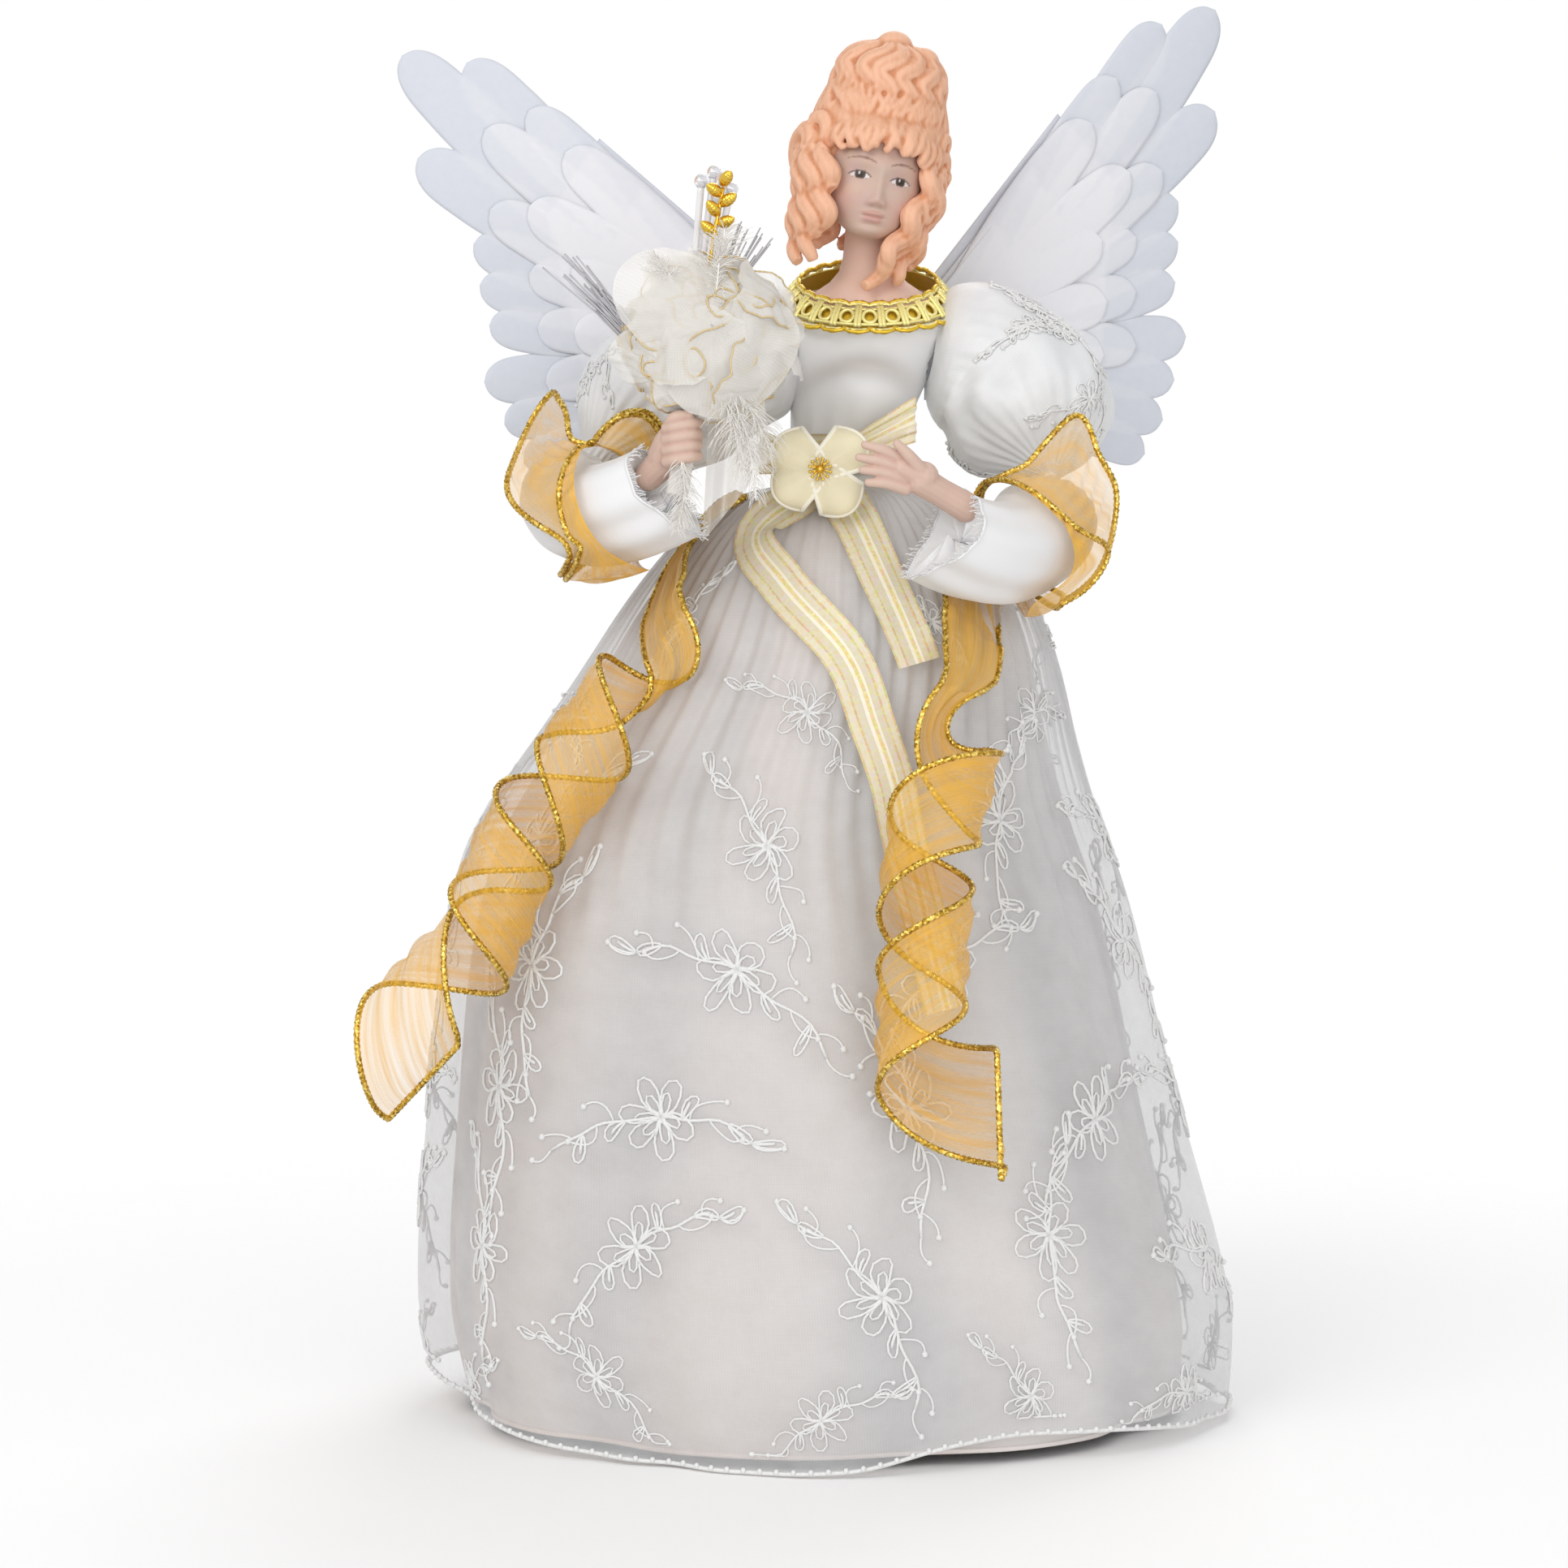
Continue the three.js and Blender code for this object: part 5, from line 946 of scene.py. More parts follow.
def sleeve_frame(arm, t):
    """Centre of the sleeve at t and two directions across it."""
    a, b, c, d = (np.array(arm[key], float) for key in ("shoulder", "upper", "elbow", "mouth"))
    s = np.asarray(t, float)[..., None]
    centre = (1 - s) ** 3 * a + 3 * (1 - s) ** 2 * s * b + 3 * (1 - s) * s ** 2 * c + s ** 3 * d
    along = unit((1 - s) ** 2 * (b - a) + 2 * (1 - s) * s * (c - b) + s ** 2 * (d - c))
    bend = unit(np.cross(c - a, d - c))
    first = unit(bend - along * (along * bend).sum(axis=-1, keepdims=True))
    return centre, first, np.cross(along, first)


def sleeve_point(arm, turn, t, radius):
    """Point at a turn round the sleeve, a place along it and a radius."""
    centre, first, second = sleeve_frame(arm, t)
    return centre + first * (radius * np.cos(turn))[..., None] + second * (radius * np.sin(turn))[..., None]


def rear_seam(arm, t):
    """Turn round the sleeve that faces the rear, where its seam lies."""
    _, first, second = sleeve_frame(arm, t)
    return math.atan2(second[1], first[1])


def puff_profile(arm):
    """Radius of the puff along the sleeve."""
    puff = arm["puff"]
    return through([(PUFF_FROM, 11), (-0.035, 0.64 * puff), (-0.01, 0.74 * puff), (0.03, 0.83 * puff),
                    (0.1, 0.93 * puff), (0.24, puff), (0.36, 0.82 * puff), (ELBOW_AT - 0.02, arm["pinch"])])


def cuff_profile(arm):
    """Radius of the cuff along the sleeve."""
    return through([(ELBOW_AT + 0.03, arm["pinch"]), (ELBOW_AT + 0.1, 0.86 * ELBOW_RADIUS),
                    (0.8, 0.92 * ELBOW_RADIUS), (1, CUFF_RADIUS)])


def wrap_profile(arm):
    """Radius of the gold wrap: on the puff above and clear of the cuff below."""
    upper = float(puff_profile(arm)(WRAP_FROM)) + 1.6
    cuff = cuff_profile(arm)
    below = [(t, float(cuff(t)) + clear) for t, clear in ((WRAP_TO, 4.4), (0.8, 3.4), (0.9, 2.6), (1, 2.2))]
    return through([(WRAP_FROM, upper), (0.44, max(upper, ELBOW_RADIUS + 4)), (0.6, ELBOW_RADIUS + 3),
                    *below])


def puff_radius(arm, turn, t):
    """Radius of the puff with its gathers, fine at the seams and soft in the middle."""
    full = puff_profile(arm)(t)
    seam = np.clip(np.abs(t - 0.2) / 0.2, 0, 1) ** 2
    soft = 1.2 * (1 - np.cos(5 * turn + 7 * t + 0.8 * np.sin(3 * turn)))
    soft = soft + 0.9 * (1 - np.cos(8 * turn - 16 * t))
    fine = 0.45 * (1 - np.cos(29 * turn + 1.5 * np.sin(3 * turn)))
    ease = np.clip(t / 0.1, 0, 1) * np.clip((0.5 - t) / 0.1, 0, 1)
    return full - ease * (soft * (1 - 0.6 * seam) + fine * seam)


# Sprays on a puff: how far along the sleeve, and how far round from its outer side
PUFF_SPRAY_SIZE = 0.5
PUFF_SPRAYS = [(0.1, 0), (0.2, 0.25), (0.3, -0.1), (0.37, 0.3), (0.24, -0.5), (0.16, 0.7), (0.3, 3.2)]


def sew_puff(name, arm):
    """Embroidered organza puff from the armhole to the elbow."""
    turn = rear_seam(arm, 0.25) + np.linspace(0, TAU, 151)[None]
    t = np.linspace(PUFF_FROM, ELBOW_AT - 0.02, 64)[:, None]
    turn, t = np.broadcast_arrays(turn, t)
    cloth = Piece()
    cloth.grid(sleeve_point(arm, turn, t, puff_radius(arm, turn, t)))
    body = f"{name}_arm"
    puff = cloth.publish(f"{name}_puff_cloth", body, "organza", ["puff"], [f"{name}_puff_sleeve"])
    stitching = Piece()
    _, first, second = sleeve_frame(arm, np.array(0.25))
    outward = np.array([1.0 if name == "left" else -1.0, -0.5, 0.3])
    outer = math.atan2(second @ outward, first @ outward)
    for i, (level, aside) in enumerate(PUFF_SPRAYS):
        bearing = outer + aside

        def lay(x, y):
            along = np.clip(level + y / 150, 0.03, 0.42)
            around = bearing + x / np.maximum(puff_profile(arm)(along), 8)
            return sleeve_point(arm, around, along, puff_radius(arm, around, along) + ORGANZA_STAND_OFF)

        embroider(stitching, lay, PUFF_SPRAY_SIZE, uneven(1.2, i + 303), i % 2 == 0)
    sprays = stitching.publish(f"{name}_puff_embroidery", body, "organza", ["stitching"])


def sew_cuff(name, arm):
    """White satin bell cuff with soft folds and a frayed lace edge."""
    start = ELBOW_AT - 0.03
    turn = np.linspace(0, TAU, 132, endpoint=False)[None]
    _, first, second = sleeve_frame(arm, np.array(1.0))
    droop = np.clip(-first[2] * np.cos(turn) - second[2] * np.sin(turn), 0, 1)
    t = start + (1 + CUFF_DROOP * droop - start) * np.linspace(0, 1, 60)[:, None]
    turn, t = np.broadcast_arrays(turn, t)
    flare = np.clip((t - 0.6) / 0.4, 0, 1)
    folds = 1.1 * flare * (1 - np.cos(3 * turn + 5 * t)) + 0.45 * flare * (1 - np.cos(8 * turn - 3 * t))
    near_elbow = 0.3 * np.clip((0.7 - t) / 0.1, 0, 1) * np.clip((t - start) / 0.05, 0, 1)
    drawn = near_elbow * (1 - np.cos(17 * turn))
    radius = cuff_profile(arm)(t) - folds - drawn
    points = sleeve_point(arm, turn, t, radius)
    cloth = Piece()
    cloth.grid(points, True)
    cloth.grid(sleeve_point(arm, turn, t, radius - 0.5)[::-1], True)
    share = np.linspace(0, 1, 12)[:, None]
    flutes = 1.3 * np.sin(11 * turn[-1:] + 4 * share) * np.sin(math.pi * 0.7 * share)
    ruffled = radius[-1:] * (1 - 0.97 * share) + flutes
    inward = t[-1:] - 0.03 * share + 0.012 * share * np.sin(7 * turn[-1:])
    cloth.grid(sleeve_point(arm, turn[-1:] + 0 * share, inward, ruffled)[::-1], True)
    body = f"{name}_arm"
    cuff = cloth.publish(f"{name}_cuff_cloth", body, "satin", ["satin"], [f"{name}_cuff"])

    fringe = Piece()
    edge = points[-1]
    outward = unit(points[-1] - points[-4])
    centre = edge.mean(axis=0)
    fringe.tube(edge, 0.45, 6, True)
    for i in range(len(edge)):
        reach = 1.2 + abs(uneven(2.2, i))
        bow = unit(edge[i] - centre) * uneven(1.2, i + 1) + np.array([0, 0, -1]) * abs(uneven(1.6, i + 2))
        tip = edge[i] + outward[i] * reach + bow
        fringe.tube(np.stack([edge[i], (edge[i] + tip) / 2 + outward[i] * 0.4, tip]), 0.16, 4)
    lace = fringe.publish(f"{name}_cuff_fringe", body, "satin", ["satin"])


# Gold wraps: how far along the sleeve the peak cord, the front cord and the lower edge lie at each bearing
WRAPS = {
    "right": {
        "peak": through([(0, 0.47), (12, 0.46), (29, 0.52), (38, 0.66), (58, 0.8), (85, 0.87), (130, 0.8),
                         (180, 0.62), (230, 0.5), (290, 0.6), (318, 0.72), (336, 0.54), (360, 0.47)]),
        "front": through([(0, 0.87), (75, 0.885), (90, 0.895), (130, 0.8), (180, 0.62), (230, 0.46),
                          (270, 0.4), (298, 0.455), (315, 0.72), (345, 0.85), (360, 0.87)]),
        "hem": through([(0, 0.9), (90, 0.93), (130, 0.95), (160, 0.94), (200, 0.86), (270, 0.8), (315, 0.84),
                        (360, 0.9)]),
    },
    "left": {
        "peak": through([(0, 0.62), (60, 0.7), (80, 0.76), (110, 0.66), (144, 0.575), (178, 0.53),
                         (198, 0.445), (222, 0.53), (250, 0.7), (275, 0.67), (320, 0.6), (360, 0.62)]),
        "front": through([(0, 0.64), (60, 0.74), (85, 0.78), (95, 0.74), (125, 0.69), (165, 0.78),
                          (215, 0.82), (250, 0.76), (275, 0.69), (320, 0.64), (360, 0.64)]),
        "hem": through([(0, 0.7), (60, 0.82), (95, 0.86), (125, 0.8), (165, 0.8), (215, 0.83), (275, 0.72),
                        (360, 0.7)]),
    },
}


def wind_wrap(name, arm):
    """Gold organza wound twice round the elbow, with a cord along the upper edge of each turn."""
    degrees = np.linspace(0, 360, 180, endpoint=False)
    turn = np.radians(degrees)
    front = WRAPS[name]["front"](degrees)
    peak = np.minimum(WRAPS[name]["peak"](degrees), front - 0.02)
    hem = np.maximum(WRAPS[name]["hem"](degrees), front + 0.02)
    radius_at = wrap_profile(arm)
    share = np.linspace(0, 1, 26)[:, None]
    body = f"{name}_arm"
    ribbon, cords = Piece(), Piece()
    run, area, breadth = 0, 0, np.zeros(len(turn))
    for start, end, lift, dense in [(peak, front, 0.0, 0.0), (front, hem, 0.9, 0.3)]:
        t = start + (end - start) * share
        around = np.broadcast_to(turn, t.shape)
        pleat = 0.6 * np.sin(17 * around + 6 * np.sin(2 * around) + 3 * share) * np.sin(math.pi * share)
        points = sleeve_point(arm, around, t, radius_at(t) + lift + pleat)
        ribbon.grid(points, True, None, 0, dense + 0.4 * share + 0 * t)
        across = np.array([length_of(points[:, j]) for j in range(len(turn))])
        breadth += across
        edges = [length_of(points[0]), length_of(points[-1])]
        run = max(run, *edges)
        area += 0.5 * sum(edges) * float(across.mean())
        cords.tube(even_path(np.vstack([points[0], points[0][:1]]), CORD_STEP)[:-1], CORD_RADIUS, 7, True,
                   ridges=CORD_TWIST)
    wrap = ribbon.publish(f"{name}_wrap_ribbon", body, "gold_organza", ["gold_organza"],
                          [f"{name}_elbow_wrap"])
    cord = cords.publish(f"{name}_wrap_cords", body, "gold_organza", ["gold_cord"])


# Bodice, collar and sash

SASH_WIDTH = 13
BODICE_STAND_OFF, SASH_STAND_OFF = 2.3, 2.8
SASH_BOTTOM, SASH_TOP = 267.9, 278.9
KNOT_PLACE = (-2, -18, 270)
FLOWER_PLACE = (-2, -32, 269)
PETAL_LENGTH = 14.5
PETAL_WIDTH = 14
PETAL_BEARINGS = (35, 148, 212, 306)
PETAL_ROWS, PETAL_COLUMNS = 13, 40
FLOWER_BEADS, STAMENS = 7, 12
ARMHOLE_RADIUS = 9.5
# The bodice is as wide as the chest and tapers to the waist
# Loops of the bow: reach, rise and lean
BOW_LOOPS = ((27, 13, -3), (-17, 4, -1))
# Tails of the sash: bearing at each height, top, bottom and stand-off
SASH_TAILS = {
    "long": (through([(110, -66), (125, -67), (180, -72), (200, -78), (220, -87), (238, -105), (252, -120),
                      (266, -106)]), SKIRT_TOP, 124, 1.5),
    "short": (through([(205, -64), (252, -82), (266, -94)]), SKIRT_TOP, 216, 0.6),
}


def cut_bodice():
    """White satin bodice, drawn in at the waist, with a soft drape across the chest and open armholes."""
    turn = np.linspace(0, TAU, 141)[None] + math.pi / 2
    height = np.linspace(WAIST_HEIGHT, TORSO_TOP, 56)[:, None]
    turn, height = np.broadcast_arrays(turn, height)
    low = np.clip((291 - height) / 23, 0, 1)
    pulls = 0.5 * low * np.sin(13 * turn + 0.06 * (height - WAIST_HEIGHT) * np.sin(3 * turn))
    hollow = np.exp(-((height - 298 + 9 * np.cos(turn) ** 2) / 3.6) ** 2) * np.clip(-np.sin(turn), 0, 1) ** 2
    waves = 0.35 * np.sin((height - 285) / 4.2 + 1.6 * np.cos(turn))
    drape = waves * np.clip(-np.sin(turn), 0, 1) ** 2 - 0.9 * hollow
    points = torso_point(turn, height, BODICE_STAND_OFF + pulls + 1.8 * drape)
    middle = (points[:-1, :-1] + points[1:, 1:]) / 2
    inside = np.hypot(middle[..., 1], np.minimum(middle[..., 2] - SHOULDER_HEIGHT, 0)) < ARMHOLE_RADIUS
    cloth = Piece()
    rise = np.linspace(0, 1, 14)[:, None, None]
    neckline = braid_point(turn[:1], 0.85)
    neckline[..., :2] = (neckline[..., :2] - (NECK_SHIFT, 0)) * 0.985 + (NECK_SHIFT, 0)
    cloth.grid(points[-1:] * (1 - rise) + neckline * rise)
    # Painted shade: the tone darkens the drape's hollow under the collar and the low part of the angel's left
    # side
    tone = np.clip(0.85 * hollow + 0.3 * low * np.clip(np.cos(turn), 0, 1), 0, 1)
    cloth.grid(points, False, None, 0, tone, ~inside)
    bodice = cloth.publish("bodice_satin", "body", "satin", ["bodice"], ["bodice"])


BRAID_UNITS = 22
BRAID_WIDTH, BRAID_HEIGHT, BRAID_DIP = 9, 318, 6.7
BRAID_HALF_WIDTH, BRAID_HALF_DEPTH = 22.3, 19.4
BRAID_LEAN = math.radians(38)
BAR_TWIST, SCALLOP_TWIST = (3, 0.2, 1.6), (2, 0.2, 1.8)


def braid_point(turn, v):
    """Point on the collar braid: lower in front and lying back on the shoulders."""
    flare = (v - 0.5) * BRAID_WIDTH * math.sin(BRAID_LEAN)
    height = BRAID_HEIGHT + BRAID_DIP * np.sin(turn) - (v - 0.5) * BRAID_WIDTH * math.cos(BRAID_LEAN)
    return place(NECK_SHIFT + (BRAID_HALF_WIDTH + flare) * np.cos(turn),
                 (BRAID_HALF_DEPTH + flare) * np.sin(turn), height)


def braid_line(turn, v, proud):
    """Line on the braid, lifted off it by the thickness of a cord."""
    outward = unit(braid_point(turn, v + 0.5) - braid_point(turn, v - 0.5))
    along = unit(braid_point(turn + 0.01, v) - braid_point(turn - 0.01, v))
    return braid_point(turn, v) + np.cross(outward, along) * np.asarray(proud)[..., None]


def weave_collar():
    """Gold gimp braid: bars and ringed eyelets of pale thread between scalloped edges of deeper gold."""
    step = TAU / BRAID_UNITS
    braid = Piece()
    turn = np.linspace(0, TAU, 177)[None]
    backing = braid_line(turn, np.linspace(0.12, 0.88, 7)[:, None], -0.5 + 0 * turn)
    braid.grid(backing, False, None, 1)
    swing = np.linspace(0, TAU, 15)
    half = np.linspace(0, math.pi, 11)
    for k in range(BRAID_UNITS):
        at = k * step
        for side in (-0.07, 0.07):
            bar = at + step * side + 0.0 * half
            braid.tube(braid_line(bar, np.linspace(0.08, 0.92, 11), 0.75 + 0.35 * np.sin(half)), 0.62, 6,
                       False, 0, ridges=BAR_TWIST)
        eye = at + step * (0.5 + 0.3 * np.cos(swing))
        braid.tube(braid_line(eye, 0.5 + 0.25 * np.sin(swing), 0.55 + 0 * swing)[:-1], 0.6, 6, True, 0)
        for edge, reach in ((0.94, 0.2), (0.06, -0.12)):
            for row, radius in ((0.0, 0.62), (0.075, 0.5)):
                scallop = at + step * (-0.5 * np.cos(half))
                v = edge + (reach - math.copysign(row, reach)) * np.sin(half)
                braid.tube(braid_line(scallop, v, 0.35 + 0.3 * np.sin(half)), radius, 6, False,
                           1 if row == 0 else 0, ridges=SCALLOP_TWIST)
        for v in (0.2, 0.8):
            tie = at + step * np.linspace(0.0, 1.0, 9)
            braid.tube(braid_line(tie, v + 0 * tie, 0.3 + 0 * tie), 0.5, 5, False, 0)
    braid.publish("collar_gimp", "body", "gold_braid", ["braid_pale", "braid_deep"], ["collar_braid"])


def ribbon_weave(points, width):
    """Pattern coordinates of a ribbon: along it, and across it over its whole width."""
    run = surface_run(points, False)
    rows = points.shape[0]
    run[..., 1] = (np.linspace(0, 1, rows) * width)[:, None]
    return run


def tie_sash():
    """Sheer striped ribbon: the band round the waist, the bow and its two tails."""
    turn = (np.linspace(0, TAU, 121) + math.pi / 2)[None]
    height = np.linspace(SASH_BOTTOM, SASH_TOP, 13)[:, None]
    turn, height = np.broadcast_arrays(turn, height)
    crush = 0.35 * np.sin(TAU * (height - WAIST_HEIGHT) / 3.4 + 0.9 * np.sin(4 * turn))
    band = torso_point(turn, height, SASH_STAND_OFF + crush)
    sash = Piece()
    sash.grid(band, False, ribbon_weave(band, SASH_WIDTH))
    cloth = sash.publish("sash_ribbon", "body", "ivory_ribbon", ["ribbon"], ["waist_sash"])

    bow = Piece()
    knot = np.array(KNOT_PLACE, float)
    u = np.linspace(0, 1, 64)[None]
    v = np.linspace(0, 1, 37)[:, None]
    for reach, rise, lean in BOW_LOOPS:
        swing = 0.5 + u * (TAU - 1)
        out = 0.5 * (1 - np.cos(swing))
        across = (v - 0.5) * SASH_WIDTH * (0.35 + 0.65 * out)
        pleats = 0.6 * np.sin(3 * TAU * v) * (1 - out)
        loop = knot + place(reach * out + 0 * v, 2.6 * np.sin(swing) + lean * out + pleats,
                            rise * out + across)
        loop = crinkled(loop, 0.3, 2.5, 0.3)
        bow.grid(loop, False, ribbon_weave(loop, SASH_WIDTH))
    turn, level = np.linspace(0, TAU, 33)[None], np.linspace(-1, 1, 11)[:, None]
    tie = knot + place(4.6 * np.cos(turn) * (1 - 0.25 * level ** 2),
                       3.2 * np.sin(turn) * (1 - 0.25 * level ** 2),
                       4.4 * level + 0.4 * np.sin(5 * turn))
    bow.grid(tie, False, ribbon_weave(tie, SASH_WIDTH))
    loops = bow.publish("sash_bow_loops", "body", "ivory_ribbon", ["ribbon"], ["sash_bow"])

    for name, tail in SASH_TAILS.items():
        hang_sash_tail(name, *tail)


def hang_sash_tail(name, bearing_at, top, bottom, stand_off):
    """One flat tail of the sash, lying down the skirt with a slight twist in it."""
    u = np.linspace(0, 1, 90)
    height = top + (bottom - top) * u

    def middle_at(level):
        return over_skirt(np.radians(bearing_at(level)), level, stand_off + 0.4)

    middle = middle_at(height)
    run = unit(middle_at(height + 0.01 * (bottom - top)) - middle)
    bearing = np.radians(bearing_at(height))
    out = unit(place(np.cos(bearing), np.sin(bearing), 0.3))
    side = unit(np.cross(out, run))
    v = np.linspace(-0.5, 0.5, 13)[:, None, None]
    ripple = 0.9 * np.sin(9 * u)[None, :, None] * np.abs(v) + 0.5 * np.sin(math.pi * u)[None, :, None]
    points = middle[None] + side[None] * v * SASH_WIDTH + out[None] * ripple
    tail = Piece()
    tail.grid(points, False, ribbon_weave(points, SASH_WIDTH))
    cloth = tail.publish(f"sash_tail_{name}_ribbon", "body", "ivory_ribbon", ["ribbon"],
                         [f"sash_tail_{name}"])


def fold_flower():
    """Ribbon flower: four puffed loops with bright satin edges round a cluster of gold beads."""
    flower, edges = Piece(), Piece()
    centre = np.array(FLOWER_PLACE, float)
    s = np.linspace(0, 1, PETAL_COLUMNS)[None]
    w = np.linspace(-1, 1, PETAL_ROWS)[:, None]
    bulge = np.sin(math.pi * s)
    for bearing in PETAL_BEARINGS:
        out = PETAL_LENGTH * bulge ** 0.85 * (1 - 0.3 * w ** 2 * bulge)
        pleats = 0.5 * np.sin(5 * math.pi * w) * (1 - bulge)
        depth = -5.2 * np.cos(math.pi * s) - 3.8 * bulge * (1 - w ** 2) + pleats
        side = 0.5 * PETAL_WIDTH * w * (0.4 + 0.6 * bulge ** 0.5)
        c, n = compass(bearing)
        petal = centre + place(out * c - side * n, depth, out * n + side * c)
        flower.grid(petal, False, ribbon_weave(petal, SASH_WIDTH))
        for edge in (petal[0], petal[-1], petal[:, PETAL_COLUMNS // 2]):
            edges.tube(edge, 0.7, 8)
    heart = [centre, (KNOT_PLACE[0], KNOT_PLACE[1] - 3, KNOT_PLACE[2])]
    edges.tube(smooth_path(heart, 4), 2.6, 10)
    petals = flower.publish("flower_loops", "body", "ivory_ribbon", ["petal"], ["ribbon_flower"])
    trim = edges.publish("flower_edges", "body", "ivory_ribbon", ["petal_edge"])

    beads = Piece()
    seat = centre + (0, -5.0, 0)
    for i in range(FLOWER_BEADS):
        turn = i / FLOWER_BEADS * TAU
        beads.ball(seat + (1.7 * math.cos(turn), uneven(0.5, i), 1.7 * math.sin(turn)), 0.75, 10)
    beads.ball(seat + (0, -0.7, 0), 0.9, 10)
    for i in range(STAMENS):
        turn = (i + 0.5) / STAMENS * TAU
        tip = seat + (2.9 * math.cos(turn), -1.4 + uneven(0.6, i + 40), 2.9 * math.sin(turn))
        beads.tube(smooth_path([seat, (seat + tip) / 2 + (0, -0.8, 0), tip], 4), 0.22, 5)
        beads.ball(tip, 0.5, 6)
    beads.publish("flower_beads", "body", "gold_bead", ["yellow_bead"], ["flower_stamens"])


# Head: rings from the chin to the crown, with the features raised on the front of them

HEAD_PLACE = (13.5, -7, 355)
HEAD_TURN = 9
HEAD_ROLL = 11
EYE_OUT, EYE_LEVEL = 5.8, -5.4
MOUTH_LEVEL = -15.9
# The neck lies in shade and is painted this much paler than the face
NECK_PALER = 1.45
PLATE_COLUMNS = 72

head_width_at = through([(-21.9, 0.4), (-21, 4.4), (-19, 7.6), (-16, 10.2), (-12, 12.5), (-6, 14.3),
                         (0, 14.8), (8, 13.9), (15, 10.4), (19, 6.2), (21, 0.4)])
head_front_at = through([(-21.9, -8.6), (-21, -11.8), (-19, -13.5), (-16, -14.8), (-12, -15.8), (-6, -16.6),
                         (0, -16.9), (8, -15.4), (15, -11.2), (19, -6.6), (21, -0.4)])
head_back_at = through([(-21.9, -7.8), (-21, -5), (-19, -1), (-16, 4), (-12, 8.5), (-6, 13), (0, 15.6),
                        (8, 15.5), (15, 11.6), (19, 6.9), (21, 0.4)])


def on_neck(points):
    """Head points turned, tilted and set on the neck."""
    pose = rotation(HEAD_TURN, "Z") @ rotation(HEAD_ROLL, "Y")
    return np.asarray(points) @ np.array(pose).T + HEAD_PLACE


def on_scalp(bearing, level, lift=0.0):
    """Point over the bare head at a bearing in degrees and a level, lifted off it."""
    turn = np.radians(bearing)
    front, back = head_front_at(level), head_back_at(level)
    x = (head_width_at(level) + lift) * np.cos(turn)
    y = (front + back) / 2 + ((back - front) / 2 + lift) * np.sin(turn)
    return place(x, y, level)


def hump(x, middle, spread):
    """Smooth bump of height one."""
    return np.exp(-((x - middle) / spread) ** 2)


def face_relief(x, z):
    """How far the features stand off the oval: brow, eyes, nose, lips, cheeks and chin."""
    side = np.abs(x)
    eyes = hump(side, EYE_OUT, 3.4) * hump(z, EYE_LEVEL + 0.2, 2.3)
    balls = hump(side, EYE_OUT, 2.3) * hump(z, EYE_LEVEL, 1.5)
    bridge = through([(-14.2, 0), (-13.2, 0.5), (-12.2, 2.5), (-11, 2.9), (-8, 1.6), (-4, 0.8), (0, 0)])(z)
    width = through([(-13, 2.2), (-8, 1.6), (-3, 1.5)])(z)
    nose = 0.8 * bridge * np.exp(-(x / width) ** 2) + 0.8 * hump(side, 2.0, 1.0) * hump(z, -12.2, 1.0)
    lips = (0.75 * np.exp(-(x / 3.2) ** 4) * hump(z, MOUTH_LEVEL + 0.85, 0.75)
            + 0.85 * np.exp(-(x / 2.7) ** 4) * hump(z, MOUTH_LEVEL - 0.95, 0.85)
            - 0.45 * np.exp(-(x / 3.3) ** 4) * hump(z, MOUTH_LEVEL, 0.35))
    chin = 0.9 * hump(x, 0, 4.0) * hump(z, -20, 1.7) - 0.5 * hump(x, 0, 3.2) * hump(z, -18.3, 0.8)
    cheeks = 0.7 * hump(side, 8, 4) * hump(z, -11, 4)
    brow = 0.5 * hump(z, -0.8, 2.2) * hump(x, 0, 9)
    return brow + nose + lips + chin + cheeks - 1.2 * eyes + 0.8 * balls


def painted(base, colour, cover):
    """One layer of paint over another."""
    return base + (np.array(colour) - base) * np.clip(cover, 0, 1)[..., None]


def soft_step(distance, softness=0.18):
    """One inside a shape, nought outside it, from the distance outside its edge."""
    return np.clip(0.5 - distance / softness, 0, 1)


